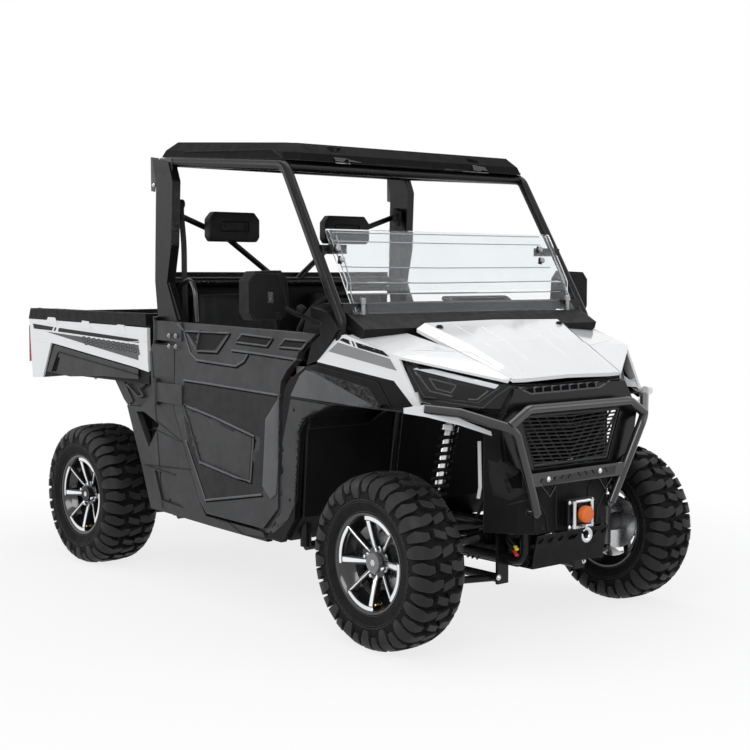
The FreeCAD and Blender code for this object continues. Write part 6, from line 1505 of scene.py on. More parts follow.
    def wires(self) -> None:
        """Hang the front hoses and the two plug ends."""
        wire = Form("plug_wires")
        wire.sweep(flow(path((1290, -232, 430), (1330, -250, 408), (1362, -262, 398), (1385, -268, 386))), 5.0, 8)
        wire.sweep(flow(path((1290, -226, 424), (1340, -262, 392), (1392, -282, 372))), 5.0, 8)
        wire.sweep(flow(path((1180, -236, 820), (1230, -262, 700), (1215, -270, 560), (1150, -250, 470))), 7.0, 8)
        wire.sweep(flow(path((1200, 236, 820), (1240, 262, 700), (1225, 270, 560), (1150, 250, 470))), 7.0, 8)
        wire.place(SOFT_RUBBER, slot="frame_black")
        ends = {"plug_yellow": (path((1384, -268, 386), (1404, -280, 380)), YELLOW_PLASTIC),
                "plug_red": (path((1392, -282, 372), (1420, -296, 362)), RED_PLASTIC)}
        for name, (line, finish) in ends.items():
            plug = Form(name)
            plug.sweep(line, 8.0, 10, 0.7)
            plug.place(finish, slot="frame_black")

    def build(self) -> None:
        """Build the plate, the cover, the winch, the hook and the wires."""
        self.plate()
        self.cover()
        self.winch()
        self.hook()
        self.wires()


@dataclass
class LoadBed:
    """The load bed's rails, tabs, stripes, arch recess, ribs, lamps and tailgate."""

    tab_side: float = -744.0
    arch_side: float = -742.0
    tabs: Outlines = (
        ((48, 317), (55, 317.6), (57.5, 325), (45.5, 323)), ((82, 320.5), (88.5, 321.3), (91, 330), (79.5, 328)),
        ((117, 324.3), (123.5, 325), (126, 335), (115, 333)))
    front_strip: Outline = ((138.5, 355), (147.5, 356.5), (148.5, 372), (138.5, 368.5))
    notches: Outline = ((52, 311.5), (85, 313), (119, 315))
    black_stripe: Outlines = (
        ((33, 323.5), (53.5, 327), (52, 330.5), (34, 328.5)),
        ((55, 327.3), (56.6, 327.5), (55.4, 331), (53.8, 330.8)),
        ((59, 327.8), (105, 334.5), (138.5, 339.5), (139, 343), (100, 337.5), (58, 331.5)))
    grey_mark: Outline = ((46, 331.5), (100, 339.5), (138.5, 345), (141, 361), (95, 347))
    arch_face: Outline = ((47, 371), (54.5, 345), (100, 358.5), (138, 369.5), (138, 379), (105, 376), (70, 376.5))
    arch_step: Outline = ((52, 371.5), (58.5, 352), (100, 364), (138, 375))
    arch_shade: Outline = ((52.5, 371), (56.5, 357), (59.5, 357.5), (56, 371.5))

    def sides(self) -> None:
        """Dress the outer faces of the bed's sides."""
        push = -ACROSS
        white = Panel(["bed_sides"], 1.0)
        both = Panel(["bed_sides", "bed_rails"], 1.0)
        stripes = Form("bed_stripes")
        for corners in self.black_stripe:
            white.sheet("stripe", corners, push, 0.0, 6.0).join_to(stripes)
        stripes.mirrored().place(BLACK_STRIPE, "load_bed", "white_panel")
        arch = Form("arch_faces")
        arch.plate(VIEW.outline(self.arch_face, self.arch_side), spot(0, 4, 0))
        arch.mirrored().place(DOOR_PLASTIC, "load_bed", "white_panel")
        hexes = Form("bed_hexes")
        for number in range(11):
            for line in range(2):
                across, down = 84.0 + number * 4.9 + line * 2.4, 338.4 + number * 0.78 + line * 4.6
                ring = [(across + math.cos(math.tau * step / 6) * 2.0, down + math.sin(math.tau * step / 6) * 1.9)
                        for step in range(6)]
                white.ridge(hexes, ring, 2.2, push, closed=True)
        hexes.mirrored().place(BLACK_STRIPE, "load_bed", "white_panel")
        mark = white.sheet("bed_mark", self.grey_mark, push, 0.0, 6.0)
        mark.mirrored().place(HIGHLIGHT_AND_PRINT_GREY, "load_bed", "white_panel")
        shade = Form("arch_shade")
        shade.plate(VIEW.outline(self.arch_shade, self.arch_side - 1.5), spot(0, 3, 0))
        shade.mirrored().place(SHADE_PLASTIC, "load_bed", "white_panel")
        tabs = Form("bed_tabs")
        for corners in self.tabs + (self.front_strip,):
            tabs.plate(VIEW.outline(corners, self.tab_side), spot(0, 5, 0))
        white.ridge(tabs, ((37, 340), (52, 343), (100, 357), (147, 372)), 2.2, push)
        tabs.mirrored().place(WHITE_PAINT, "load_bed", "white_panel")
        dark = Form("bed_side_darks")
        for across, down in self.notches:
            corners = ((across + wide, down + low) for wide, low in ((-4, -1.6), (4, -1.2), (5.5, 2.6), (-5.5, 2.0)))
            dark.plate(VIEW.outline(corners, self.tab_side), spot(0, 5, 0))
        # The step line is dark: painted shade along the step of the arch's recess.
        dark.sweep(bend(VIEW.outline(self.arch_step, self.arch_side - 0.5), 10), 5.0, 8, 0.6)
        both.ridge(dark, ((31, 309.5), (158, 306.5)), 2.4, push)
        dark.mirrored().place(DARK_PLASTIC, "load_bed")

    def inside(self) -> None:
        """Rib the tray and set tie-down rings and rail screws."""
        ribs = Form("tray_ribs")
        floor = Panel(["bed_tray"], 0.0)
        for number in range(9):
            across = -520.0 + number * 130.0
            row = [floor.drop(along, across, 1180) for along in (-1640.0, -1350.0, -1100.0, -850.0, -590.0)]
            if max(point.z for point in row) - min(point.z for point in row) < 60:
                ribs.sweep([point + UP for point in row], 9.0, 8, 0.5)
        for side in SIDES:
            for number in range(6):
                along = -1590.0 + number * 185.0
                wall = floor.below(spot(along, 0, 1080), spot(0, side, 0))
                ribs.sweep([wall + spot(0, -side, -90), wall + spot(0, -side, 60)], 9.0, 8, 0.4)
        ribs.place(DARK_PLASTIC, "load_bed")
        rings = Form("tie_rings")
        for side in SIDES:
            for along in (-1560.0, -1110.0, -660.0):
                wall = floor.below(spot(along, 0, 930), spot(0, side, 0)) - spot(0, side * 3, 0)
                low, high = (-3, 1) if side > 0 else (-1, 3)
                rings.block(wall + spot(-22, low, 14), wall + spot(22, high, 34), 1)
                turns = [math.tau * step / 16 for step in range(16)]
                rings.sweep([wall + spot(math.cos(turn) * 17, -side * (5 + 3 * math.sin(turn)),
                                         -4 + math.sin(turn) * 17) for turn in turns], 3.0, 7, closed=True)
        rings.place(BRIGHT_STEEL, "load_bed", "steel")
        caps = Form("rail_screws")
        rails = Panel(["bed_rails"], 0.0)
        for side in SIDES:
            for along in (-1650.0, -1380.0, -1110.0, -840.0, -600.0):
                top = rails.drop(along, side * 722, 1300)
                caps.lathe([(9, -1), (9, 1.5), (6, 3)], top, UP, 14)
        caps.place(SOFT_RUBBER, "load_bed")

    def lamps(self) -> None:
        """Line the tail lamps with their ribs and bezels."""
        lens = Form("tail_lens")
        bezel = Form("tail_bezel")
        for side in SIDES:
            for number in range(9):
                up = 985.0 + number * 19.0
                lens.sweep(path((-1732, side * 713, up), (-1732, side * 737, up)), 2.6, 6, 0.6)
            bezel.sweep(path((-1731, side * 709, 968), (-1731, side * 709, 1155), (-1731, side * 740, 1155),
                             (-1731, side * 740, 968)), 2.6, 6, closed=True)
        lens.place(RED_LENS, "load_bed", "tail_lamp")
        bezel.place(DARK_PLASTIC, "load_bed", "tail_lamp")

    def gate(self) -> None:
        """Press the tailgate's panels and add its latch handle and rods."""
        skin = Panel(["tailgate"], 0.0)
        back = -AHEAD
        pressed = Form("gate_pressings")
        for low, high in ((-600.0, -230.0), (-190.0, 190.0), (230.0, 600.0)):
            corners = [(low, 990.0), (high, 990.0), (high - 24, 1175.0), (low + 24, 1175.0)]
            row = [skin.ahead(-2100, across, up) for across, up in corners]
            pressed.sweep(bend(row + row[:1], 14), 5.0, 8, 0.6)
        for up in (1022.0, 1048.0, 1074.0):
            for low, high in ((-560.0, -265.0), (265.0, 560.0)):
                ends = [skin.ahead(-2100, across, up) for across in (low, high)]
                pressed.sweep(ends, 5.0, 8, 0.5)
        pressed.place(DARK_PLASTIC, "tail_gate")
        handle = Form("gate_handle")
        seat = skin.ahead(-2100, 0, 1120)
        handle.block(seat + spot(-6, -110, -26), seat + spot(1, 110, 26), 3)
        handle.sweep(bend([seat + spot(-2, -84, 0), seat + spot(-26, -78, 0), seat + spot(-26, 78, 0),
                           seat + spot(-2, 84, 0)], 14), 7.0, 10)
        for side in SIDES:
            handle.bolt(seat + spot(-6, side * 98, 0), back, 5.0)
        handle.place(FRAME_COAT, "tail_gate")
        rods = Form("gate_rods")
        for side in SIDES:
            rods.sweep(path((-1662, side * 40, 1120), (-1660, side * 600, 1120), (-1660, side * 650, 1120)), 5.0, 8)
            rods.bolt(spot(-1662, side * 560, 1120), AHEAD, 5.0)
        rods.place(BRIGHT_STEEL, "tail_gate", "steel")

    def build(self) -> None:
        """Build the sides, the inside, the lamps and the tailgate."""
        self.sides()
        self.inside()
        self.lamps()
        self.gate()


@dataclass
class CageAndRoof:
    """The cage's plates and bolts, the roof's lines, clips and ribs, and the belts."""

    post_side: float = -716.0
    post_plate: Outline = (
        (160, 158), (171, 158), (172, 170), (166, 185), (165.5, 230), (165, 270), (180, 320), (174, 321), (162, 320),
        (157.5, 270), (158, 180))
    rear_plate: Outline = ((150.5, 157), (158, 158), (157, 170), (154.5, 192), (151, 191))
    plate_bolts: Outline = ((161.5, 171), (168, 171), (161.5, 178), (154.5, 163), (153.5, 185))
    belt_top: Triple = (-400.0, -655.0, 1715.0)
    roof_clips: Outlines = (
        ((333, 158), (347, 159.5), (349, 162.5), (362, 163.5), (363, 167), (338, 166)),
        ((472, 166), (484, 168), (487, 172), (497, 174), (499, 178), (474, 176)))
    roof_pockets: Outlines = (
        ((326, 147), (340, 148), (344, 158), (333, 157)), ((465, 158), (476, 160), (483, 168), (472, 166)))

    def plates(self) -> None:
        """Add the rear posts' gussets and their bolts."""
        plates = Form("post_plates")
        for corners in (self.post_plate, self.rear_plate):
            plates.plate(VIEW.outline(corners, self.post_side), spot(0, 5, 0))
        plates.soften(1.2, 1, 60.0)
        bolts = Form("post_bolts")
        for across, down in self.plate_bolts:
            bolts.bolt(VIEW.on_side(across, down, self.post_side), -ACROSS, 6.0)
        plates.mirrored().place(GUARD_COAT, slot="frame_black")
        bolts.mirrored().place(BRIGHT_STEEL, slot="frame_black")

    def roof_lines(self) -> None:
        """Add the roof's edge lines, pressed ribs, clips, pockets and screws."""
        roof = Panel(["roof"], 0.0)
        trim = Form("roof_lines")
        roof.ridge(trim, ((185, 152), (230, 151), (272, 150), (283, 158)), 4.0, -ACROSS)
        trim.mirrored()
        roof.ridge(trim, ((298, 163), (400, 174), (500, 187)), 4.0, AHEAD)
        roof.ridge(trim, ((292, 172), (400, 184), (497, 197)), 3.2, AHEAD)
        for across in (-420.0, -210.0, 0.0, 210.0, 420.0):
            row = [roof.drop(along, across, 2300) for along in range(-470, 451, 92)]
            trim.sweep([point + spot(0, 0, -1.5) for point in row], 9.0, 8, 0.16)
        trim.place(ROOF_PLASTIC)
        clips = Form("roof_clips")
        pockets = Form("roof_pockets")
        for corners in self.roof_clips:
            roof.sheet("clip", corners, spot(0.8, 0, 0.6), 6.0, 6.0).join_to(clips)
        # The pockets beside the clips are dark films: painted shade in the recesses.
        for corners in self.roof_pockets:
            roof.sheet("pocket", corners, spot(0.8, 0, 0.6), 0.0, 6.0).join_to(pockets)
        clips.place(GUARD_COAT)
        pockets.place(SHADE_PLASTIC)
        screws = Form("roof_screws")
        for across in (-600.0, -200.0, 200.0, 600.0):
            for along in (-470.0, 430.0):
                top = roof.drop(along, across, 2300)
                screws.lathe([(9, -3), (9, -0.5), (5, 0)], top, UP, 14)
        screws.place(SOFT_RUBBER)

    def belts(self) -> None:
        """Hang the belts, their retractors, guides and buckles."""
        top = spot(*self.belt_top)
        box = Form("belt_retractors")
        box.block(top + spot(-24, -22, -6), top + spot(22, 14, 42), 6)
        box.lathe([(22, -16), (22, 16), (18, 18)], top + spot(0, 0, 36), ACROSS, 20)
        box.block(top + spot(-2, -8, -34), top + spot(30, 8, -6), 4)
        box.mirrored().place(SOFT_RUBBER)
        belt = Form("belts")
        line = flow([top + spot(14, 0, -20), spot(-388, -642, 1560), spot(-388, -640, 1400), spot(-392, -630, 1150),
                     spot(-402, -618, 960), spot(-408, -612, 850)], 6)
        corners = [spot(along, thick, 0) for along, thick in ((-22, 0), (22, 0), (22, 2.4), (-22, 2.4))]
        belt.skin([[point + corner for corner in corners] for point in line], ring=True, capped=True)
        belt.mirrored().place(WEBBING)
        buckles = Form("belt_buckles")
        for across in (-85.0, 85.0):
            way = spot(0.25, 0, 1).normalized()
            foot = spot(-352, across, 760)
            buckles.sweep([foot, foot + way * 120], 12.0, 8, 0.5)
            buckles.sweep([foot + way * 118, foot + way * 176], 20.0, 10, 0.55)
        buckles.place(SOFT_RUBBER)
        red = Form("belt_buttons")
        for across in (-85.0, 85.0):
            red.block(spot(-312, across - 11, 928), spot(-300, across + 11, 938), 1)
        red.place(RED_PLASTIC)
        hip = Form("hip_bars")
        hip.sweep(bend(path((-470, -640, 1330), (-424, -640, 1381), (-339, -640, 1410), (-298, -640, 1360),
                        (-283, -640, 1215)), 34), 11.0, 12)
        hip.mirrored().place(GUARD_COAT, slot="frame_black")

    def build(self) -> None:
        """Build the plates, the roof's lines and the belts."""
        self.plates()
        self.roof_lines()
        self.belts()


@dataclass
class Cabin:
    """The dash's instruments, the steering wheel's hub, the pedals and the lever."""

    def dash(self) -> None:
        """Set the screen, gauge, switches, vents, glove box lines and grab bar in the dash."""
        skin = Panel(["dashboard"], 0.0)
        back = -AHEAD
        lines = Form("dash_lines")
        shown = Form("dash_screen")
        for low, high, bottom, top in ((-120.0, 130.0, 1120.0, 1240.0), (250.0, 600.0, 1060.0, 1200.0)):
            corners = [skin.ahead(-300, across, up) for across, up in (
                (low, bottom), (high, bottom), (high, top), (low, top))]
            lines.sweep(bend(corners + corners[:1], 12), 5.0, 8, 0.6)
        seat = skin.ahead(-300, 5, 1180)
        shown.block(seat + spot(-8, -105, -48), seat + spot(2, 105, 48), 2)
        shown.place(SCREEN_FACE)
        for across in (-620.0, -40.0, 60.0, 640.0):
            vent = skin.ahead(-300, across, 1262)
            for number in range(4):
                up = number * 12 - 18
                lines.sweep([vent + spot(-2, -34, up), vent + spot(-2, 34, up)], 3.0, 6, 0.6)
        for number in range(6):
            key = skin.ahead(-300, -75 + number * 30, 1080)
            lines.block(key + spot(-9, -11, -18), key + spot(1, 11, 18), 2)
        gauge = skin.ahead(-300, -340, 1262)
        lines.lathe([(62, -2), (62, 14), (54, 18), (52, 6), (0, 5)], gauge, back, 36)
        lines.place(DARK_PLASTIC)
        face = Form("gauge_face")
        face.lathe([(50, 7), (50, 9), (0, 9)], gauge, back, 36)
        face.place(SCREEN_FACE)
        bar = Form("grab_bar")
        bar.sweep(bend(path((690, 60, 1290), (640, 60, 1330), (600, 60, 1330), (600, 420, 1330), (640, 420, 1330),
                        (690, 420, 1290)), 24), 11.0, 12)
        bar.place(GUARD_COAT, slot="frame_black")

    def controls(self) -> None:
        """Set the pedals, the gear lever and the floor's ribs."""
        pedals = Form("pedals")
        for across, wide in ((-420.0, 52.0), (-300.0, 34.0)):
            pedals.block(spot(560, across - wide, 470), spot(572, across + wide, 560), 3)
            pedals.sweep(bend(path((572, across, 520), (610, across, 640), (620, across, 800)), 30), 8.0, 8)
            for number in range(4):
                up = 482 + number * 22
                pedals.sweep(path((559, across - wide + 8, up), (559, across + wide - 8, up)), 4.0, 6, 0.6)
        pedals.place(DULL_STEEL, slot="steel")
        lever = Form("gear_lever")
        lever.sweep(bend(path((470, -20, 980), (400, -20, 1080), (380, -20, 1190)), 40), 8.0, 10)
        lever.lathe([(12, -20), (22, -10), (26, 10), (22, 26), (10, 32)], spot(380, -20, 1195), spot(-0.1, 0, 1), 22)
        lever.place(GLOSS_PLASTIC)
        mats = Form("floor_ribs")
        floor = Panel(["floor_tub"], 0.0)
        for side in SIDES:
            for number in range(10):
                along = 100.0 + number * 40.0
                ends = [floor.drop(along, side * across, 640) for across in (170.0, 520.0)]
                if abs(ends[0].z - ends[1].z) < 8:
                    mats.sweep(ends, 6.0, 6, 0.5)
        mats.place(SOFT_RUBBER)

    def wheel(self) -> None:
        """Cover the steering wheel's hub and bolt it."""
        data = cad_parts["steering_wheel"].data
        points = [millimetres(vert.co) for vert in data.vertices]
        rim_points = [point for point in points if abs(point.y + 340) > 185 or point.z > 1330]
        middle = sum(rim_points, spot(0, 0, 0)) / len(rim_points)
        low = min(points, key=lambda point: point.z)
        high = max(points, key=lambda point: point.z)
        up = high - low
        up.y = 0
        up.normalize()
        axis = ACROSS.cross(up).normalized()
        axis = axis if axis.x < 0 else -axis
        hub = Form("wheel_hub")
        skin = Panel(["steering_wheel"], 0.0)
        centre = spot(middle.x, -340, (low.z + high.z) / 2)
        seat = skin.below(centre + axis * 200, -axis)
        hub.lathe([(46, -4), (46, 6), (38, 12), (14, 14), (0, 14)], seat, axis, 32)
        for number in range(6):
            turn = math.tau * number / 6
            hub.bolt(seat + (ACROSS * math.cos(turn) + up * math.sin(turn)) * 36 + axis * 9, axis, 3.5)
        hub.place(GLOSS_PLASTIC, "steering_wheel_body")

    def build(self) -> None:
        """Build the dash, the controls and the steering wheel."""
        self.dash()
        self.controls()
        self.wheel()


@dataclass
class Screen:
    """The half windscreen's edges, fold lines, clamps and knobs."""

    lines: Outlines = (
        ((332, 232.5), (440, 234.8), (539, 237)), ((333, 241), (440, 243.5), (540, 245)),
        ((341, 267), (440, 268), (550, 267.5)), ((347, 283), (440, 283), (558, 281)),
        ((350, 294), (440, 293.5), (560, 291.5)))
    clamps: Outline = ((336, 249), (340, 260), (538, 250), (540, 261))

    def build(self) -> None:
        """Build the trim of the windscreen."""
        skin = Panel(["windscreen"], 0.0)
        push = AHEAD
        lines = Form("screen_lines")
        for line in self.lines:
            skin.ridge(lines, line, 2.2, push, step=12.0)
        for side in SIDES:
            places = [spot(1500, side * (630 - step * 1.5), 1292 + step * 30) for step in range(11)]
            lines.sweep([skin.below(place, -AHEAD) for place in places], 2.4, 8)
        lines.place(FOLD_LINE, slot="screen")
        clamps = Form("screen_clamps")
        knobs = Form("screen_knobs")
        for corner in self.clamps:
            seat = skin.foot(corner, push)
            clamps.sweep([seat + spot(-3, 0, -15), seat + spot(4, 0, 15)], 9.0, 10, 0.5)
            knobs.lathe([(5, 3), (5, 10), (12, 11), (13, 18), (9, 21)], seat, spot(1, 0, 0.2), 12)
        clamps.place(SOFT_RUBBER, slot="screen")
        knobs.place(DULL_STEEL, slot="screen")
        post = Form("screen_posts")
        for side in SIDES:
            seat = skin.below(spot(1500, side * 596, 1300), -AHEAD)
            post.lathe([(9, -34), (10, -30), (10, 12), (13, 14), (13, 34), (10, 38)], seat + spot(6, 0, 6), UP, 18)
        post.place(DULL_STEEL, slot="screen")


@dataclass
class SideMirrors:
    """The mirrors' facets, glasses, windows and ball brackets."""

    widest: float = 985.5
    window: Outline = ((268, 292), (273, 292.5), (273, 303), (268, 302.5))
    shell: Outline = (
        (253.5, 273.5), (282, 274.5), (283.5, 290), (288, 310), (282, 322), (253, 321.5), (247, 305), (248, 284))
    facets: Outlines = (
        ((278, 273), (282, 274), (283, 286), (280.5, 286)), ((276, 313), (279, 312), (281.5, 322), (277, 323)),
        ((252.5, 273), (257, 272.5), (251, 281), (248.5, 281)), ((249, 314), (252, 314), (256.5, 322), (253, 322.5)))

    def build(self) -> None:
        """Build the trim of both mirrors."""
        skin = Panel(["mirrors"], 0.4)
        push = AHEAD
        trim = Form("mirror_facets")
        for corners in self.facets:
            skin.sheet("facet", corners, push, 2.0, 4.0).join_to(trim)
        skin.ridge(trim, self.shell, 1.8, push, closed=True)
        for vert in trim.mesh.verts:
            vert.co.y = max(vert.co.y, -self.widest)
        trim.mirrored().place(DARK_PLASTIC, slot="mirror")
        pane = skin.sheet("mirror_windows", self.window, push, 0.6, 4.0)
        pane.mirrored().place(LAMP_LENS, slot="mirror")
        glass = Form("mirror_glasses")
        rows = []
        for up in (1258.0, 1290.0, 1320.0, 1350.0, 1380.0, 1410.0, 1428.0):
            row = []
            for step in range(9):
                hit = skin.ahead(300, -966 + step * 17.0, up)
                row.append(spot(min(hit.x, 700.0) - 1.6, hit.y, hit.z))
            rows.append(row)
        flat = min(point.x for row in rows for point in row)
        glass.skin([[spot(min(point.x, flat + 10.0), point.y, point.z) for point in row] for row in rows])
        glass.mirrored().place(MIRROR_GLASS, slot="mirror")
        ball = Form("mirror_balls")
        for side in SIDES:
            seat = spot(700, side * 790, 1300)
            ball.lathe([(8, -20), (15, -12), (19, 0), (15, 12), (8, 20)], seat, ACROSS, 22)
        ball.place(SOFT_RUBBER, slot="mirror")


@dataclass
class Underside:
    """The exhaust's bands, the hitch pin, the hoses and the engine's ribs."""

    plate_sides: Pair = (-690.0, -707.0)
    rear_plates: Outlines = (
        ((133, 408), (151, 406), (151, 470), (146, 470)), ((192, 497), (280, 514), (290, 538), (202, 523)))
    inner_plate: Outline = ((134, 386), (172, 392), (174, 470), (160, 470), (136, 420))

    def build(self) -> None:
        """Build the pieces below and behind the bed."""
        pipe = Form("muffler_bands")
        for across in (-200.0, -90.0, 90.0, 200.0):
            pipe.lathe([(92, -6), (95, -5), (95, 5), (92, 6)], spot(-1373, across, 614.5), ACROSS, 40)
        pipe.place(BRIGHT_STEEL, slot="exhaust")
        pin = Form("hitch_pin")
        pin.sweep(bend(path((-1560, -52, 420), (-1560, 52, 420), (-1560, 62, 440), (-1560, 62, 462)), 8), 7.0, 12)
        pin.lathe([(13, -3), (13, 3)], spot(-1560, -46, 420), ACROSS, 18)
        pin.place(BRIGHT_STEEL, slot="frame_black")
        ribs = Form("engine_ribs")
        for number in range(10):
            up = 370.0 + number * 30.0
            ribs.block(spot(-594, -204, up), spot(-116, 204, up + 7), 4)
        ribs.block(spot(-520, -196, 668), spot(-190, 196, 690), 10)
        ribs.place(CAST_METAL, slot="engine")
        hoses = Form("under_hoses")
        for side in SIDES:
            hoses.sweep(flow(path((-560, side * 210, 620), (-700, side * 260, 640), (-880, side * 250, 600),
                                  (-1010, side * 300, 520))), 8.0, 8)
            hoses.sweep(flow(path((900, side * 240, 640), (980, side * 330, 560), (1040, side * 430, 470),
                                  (1075, side * 520, 430))), 6.0, 8)
        hoses.place(SOFT_RUBBER, slot="frame_black")
        strips = Form("nose_strips")
        strips.sweep(path((1250, -336, 790), (1256, -336, 610), (1246, -336, 565)), 7.0, 8, 0.4)
        strips.mirrored().place(WHITE_COAT, slot="frame_black")
        # Dark plates by the rear wheel and under the sill: painted shade over gaps in the body.
        shade_plates = Form("inner_shade_plates")
        shade_plates.plate(VIEW.outline(self.inner_plate, -560.0), spot(0, 6, 0))
        for corners, side in zip(self.rear_plates, self.plate_sides):
            shade_plates.plate(VIEW.outline(corners, side), spot(0, 6, 0))
        shade_plates.mirrored().place(SHADE_PLASTIC)
        bolts = Form("arm_bolts")
        arms = Panel(["suspension_arms"], 0.0)
        for axle in (FRONT_AXLE, REAR_AXLE):
            for along in (-140.0, 140.0):
                for up in (245.0, 440.0):
                    seat = arms.below(spot(axle + along * 2, -250, up), spot(-along, 0, 0).normalized())
                    if abs(seat.x - axle) < 190:
                        bolts.bolt(seat, spot(along, 0, 0).normalized(), 8.0)
        bolts.mirrored().place(BRIGHT_STEEL, slot="arm")


@dataclass
class Seats:
    """The two seats: sewn covers blown up over their foam, with headrests and piping."""

    voxel: float = 0.010
    swell: float = 4.0
    cap: float = 0.022
    frames: int = 20
    seam_half: float = 0.006
    sink_reach: float = 0.012
    sink_depth: float = 0.003
    corner_cut: float = 14.0

    def settle(self, piece: bpy.types.Object) -> None:
        """Make the piece's modifiers part of its mesh."""
        shape = bpy.data.meshes.new_from_object(piece.evaluated_get(bpy.context.evaluated_depsgraph_get()))
        piece.modifiers.clear()
        piece.data = shape

    def blow(self, piece: bpy.types.Object, seams: Sequence[tuple[int, float]]) -> None:
        """Blow a pad's cover up between its seams.

        Args:
            piece: The pad.
            seams: Each seam's axis number and its place along that axis in metres.
        """
        remesh = piece.modifiers.new("cover", "REMESH")
        remesh.mode = "VOXEL"
        remesh.voxel_size = self.voxel
        self.settle(piece)
        start = [vert.co.copy() for vert in piece.data.vertices]
        held = [vert.index for vert in piece.data.vertices
                if any(abs(vert.co[axis] - place) < self.seam_half for axis, place in seams)]
        piece.vertex_groups.new(name="seams").add(held, 1.0, "REPLACE")
        cloth = piece.modifiers.new("cover", "CLOTH")
        cloth.settings.vertex_group_mass = "seams"
        cloth.settings.use_pressure = True
        cloth.settings.uniform_pressure_force = self.swell
        cloth.settings.effector_weights.gravity = 0.0
        cloth.point_cache.frame_start = 1
        cloth.point_cache.frame_end = self.frames
        for number in range(1, self.frames + 1):
            bpy.context.scene.frame_set(number)
        self.settle(piece)
        for vert, home in zip(piece.data.vertices, start):
            move = vert.co - home
            if move.length > self.cap:
                vert.co = home + move * (self.cap / move.length)
            near = min(abs(home[axis] - place) for axis, place in seams)
            if near < self.sink_reach:
                vert.co -= vert.normal * (self.sink_depth * (1.0 - near / self.sink_reach))
        smooth = piece.modifiers.new("cover", "SUBSURF")
        smooth.levels = 1
        self.settle(piece)
        bpy.context.scene.frame_set(1)
        for face in piece.data.polygons:
            face.use_smooth = True

    def twin(self, piece: bpy.types.Object, name: str, nodes: Sequence[str]) -> None:
        """Add the same pad on the other side."""
        data = piece.data.copy()
        for vert in data.vertices:
            vert.co.y = -vert.co.y
        data.flip_normals()
        copy = bpy.data.objects.new(name, data)
        bpy.context.scene.collection.objects.link(copy)
        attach(copy, "vehicle")
        if nodes:
            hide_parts(*nodes)

    def pad(self, name: str, rows: Sequence[tuple[float, float, float, float, float]], node: str,
            seams: Sequence[tuple[int, float]]) -> None:
        """Build one pad on both sides.

        Args:
            name: The pad's name.
            rows: Outlines as x at the back, x at the front, y from, y to, and height.
            node: The node that the pads stand for, or nothing.
            seams: Each seam's axis number and its place in metres.
        """
        form = Form(f"{name}_left")
        outlines = []
        cut = self.corner_cut
        for back, front, low, high, up in rows:
            outlines.append(path((back + cut, low, up), (front - cut, low, up), (front, low + cut, up),
                                 (front, high - cut, up), (front - cut, high, up), (back + cut, high, up),
                                 (back, high - cut, up), (back, low + cut, up)))
        form.skin(outlines, ring=True, capped=True)
        form.soften(14.0, 3, 30.0)
        piece = form.place(SEAT_HIDE, "vehicle", "seat", [node] if node else (), sharp=60.0)
        self.blow(piece, seams)
        self.twin(piece, f"{name}_right", [node] if node else ())

    def build(self) -> None:
        """Build the cushions, backs, headrests and their piping."""
        self.pad("seat_cushion", ((-408, 30, 104, 576, 726), (-412, 40, 100, 580, 766), (-408, 30, 104, 576, 806)),
                 "seat_cushions", ((1, 0.210), (1, 0.470), (0, -0.205)))
        self.pad("seat_back",
                 ((-434, -345, 110, 570, 824), (-446, -352, 108, 572, 1000), (-464, -372, 112, 568, 1180),
                  (-484, -400, 130, 550, 1338)), "seat_backs", ((1, 0.215), (1, 0.465), (2, 1.130)))
        heads = Form("headrests")
        plates = Form("headrest_dishes")
        for side in SIDES:
            outline = [(198, 1606), (214, 1584), (466, 1584), (482, 1606), (482, 1690), (452, 1724), (228, 1724),
                       (198, 1690)]
            pad = Form("pad")
            pad.plate([spot(-466, side * across, up) for across, up in outline], spot(52, 0, 0))
            pad.soften(9.0, 3, 30.0)
            pad.join_to(heads)
            dish = ((262, 1634), (418, 1634), (418, 1678), (262, 1678), (262, 1634))
            plates.sweep(bend([spot(-413, side * across, up) for across, up in dish], 12), 3.5, 8)
            for across in (284.0, 396.0):
                plates.lathe([(7, -2), (7, 2), (4, 3.5)], spot(-414, side * across, 1656), AHEAD, 14)
        heads.place(SEAT_HIDE, slot="seat")
        plates.place(SOFT_RUBBER, slot="seat")
        piping = Form("seat_piping")
        cushion = ((-400, 104, 790), (36, 104, 790), (36, 576, 790), (-400, 576, 790))
        back = ((-352, 110, 830), (-378, 112, 1180), (-404, 130, 1330), (-404, 550, 1330), (-378, 568, 1180),
                (-352, 570, 830))
        for side in SIDES:
            for line in (cushion, back):
                piping.sweep(bend([spot(along, side * across, up) for along, across, up in line], 20), 3.0, 8)
        piping.place(SOFT_RUBBER, slot="seat")


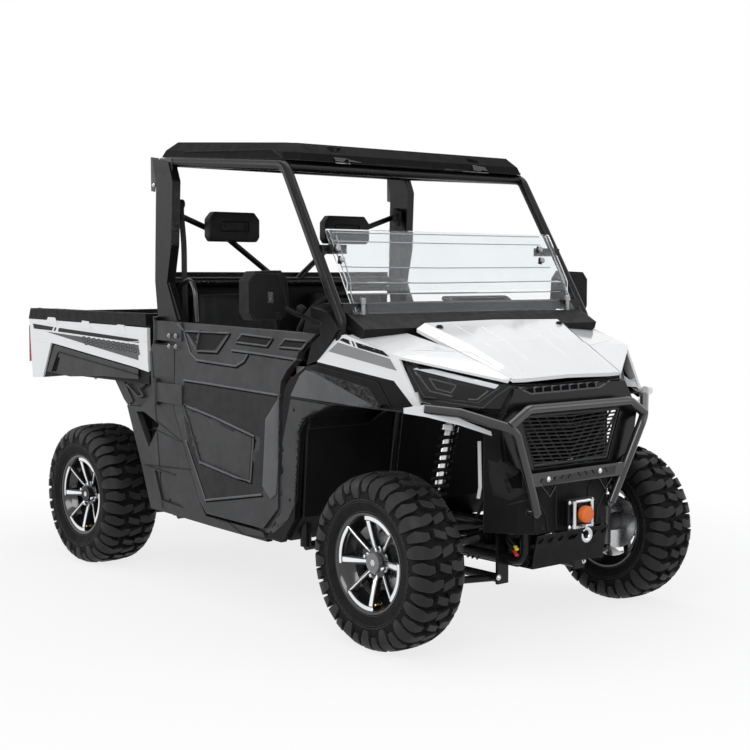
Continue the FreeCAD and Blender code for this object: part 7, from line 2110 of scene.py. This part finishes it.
@dataclass
class CarriedNodes:
    """The finishes of the nodes that stay as the frame gives them."""

    finishes: dict[str, Finish] = field(default_factory=lambda: {
        "chassis_frame": FRAME_COAT, "tail_frame": FRAME_COAT, "hitch_receiver": FRAME_COAT,
        "nose_cover": DARK_PLASTIC, "skid_plate": DARK_PLASTIC, "engine_block": CAST_METAL, "floor_tub": DARK_PLASTIC,
        "side_panels": DOOR_POCKET, "front_quarters": DARK_PLASTIC, "front_fenders": WHITE_PAINT, "hood": WHITE_PAINT,
        "front_fascia": GLOSS_PLASTIC, "headlamps": GLOSS_PLASTIC, "grille": SHADE_PLASTIC,
        "front_bumper": GUARD_COAT, "winch": FRAME_COAT, "winch_hook": BRIGHT_STEEL, "dashboard": DARK_PLASTIC,
        "roll_cage": FRAME_COAT, "roof": ROOF_PLASTIC, "windscreen": CLEAR_SHEET, "seat_cushions": SEAT_HIDE,
        "seat_backs": SEAT_HIDE, "rear_panel": DARK_PLASTIC, "mirrors": DARK_PLASTIC, "door_right": DOOR_PLASTIC,
        "door_left": DOOR_PLASTIC, "steering_wheel": SOFT_RUBBER, "knuckle_right": CAST_METAL,
        "knuckle_left": CAST_METAL, "suspension_arms": FRAME_COAT, "shock_absorbers": DULL_STEEL,
        "drive_shafts": DULL_STEEL, "tie_rods": BRIGHT_STEEL, "bed_tray": DARK_PLASTIC, "bed_sides": WHITE_PAINT,
        "bed_rails": DARK_PLASTIC, "tail_lamps": RED_LENS, "tailgate": DARK_PLASTIC, "strut_barrel": FRAME_COAT,
        "strut_rod": BRIGHT_STEEL, "muffler": DULL_STEEL,
        "rim_front_right": RIM_BLACK, "rim_front_left": RIM_BLACK, "rim_rear_right": RIM_BLACK,
        "rim_rear_left": RIM_BLACK, "tyre_front_right": TYRE_RUBBER, "tyre_front_left": TYRE_RUBBER,
        "tyre_rear_right": TYRE_RUBBER, "tyre_rear_left": TYRE_RUBBER})

    def build(self) -> None:
        """Give every carried node its finish."""
        for name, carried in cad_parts.items():
            finish = self.finishes[name].material()
            if not carried.material_slots:
                carried.data.materials.append(finish)
            for slot in carried.material_slots:
                slot.material = finish


def main() -> None:
    """Build the vehicle's dressing in order and report each part of it."""
    logging.basicConfig(level=logging.INFO, format="%(message)s")
    for part in (VIEW, Studio(), CarriedNodes(), RunningGear(), CoilSprings(), DoorTrim(), SideDressing(),
                 FrontEnd(), BumperAndWinch(), LoadBed(), CageAndRoof(), Cabin(), Screen(), SideMirrors(),
                 Underside(), Seats()):
        part.build()
        LOG.info("built %s", type(part).__name__)


if __name__ == "__main__":
    main()
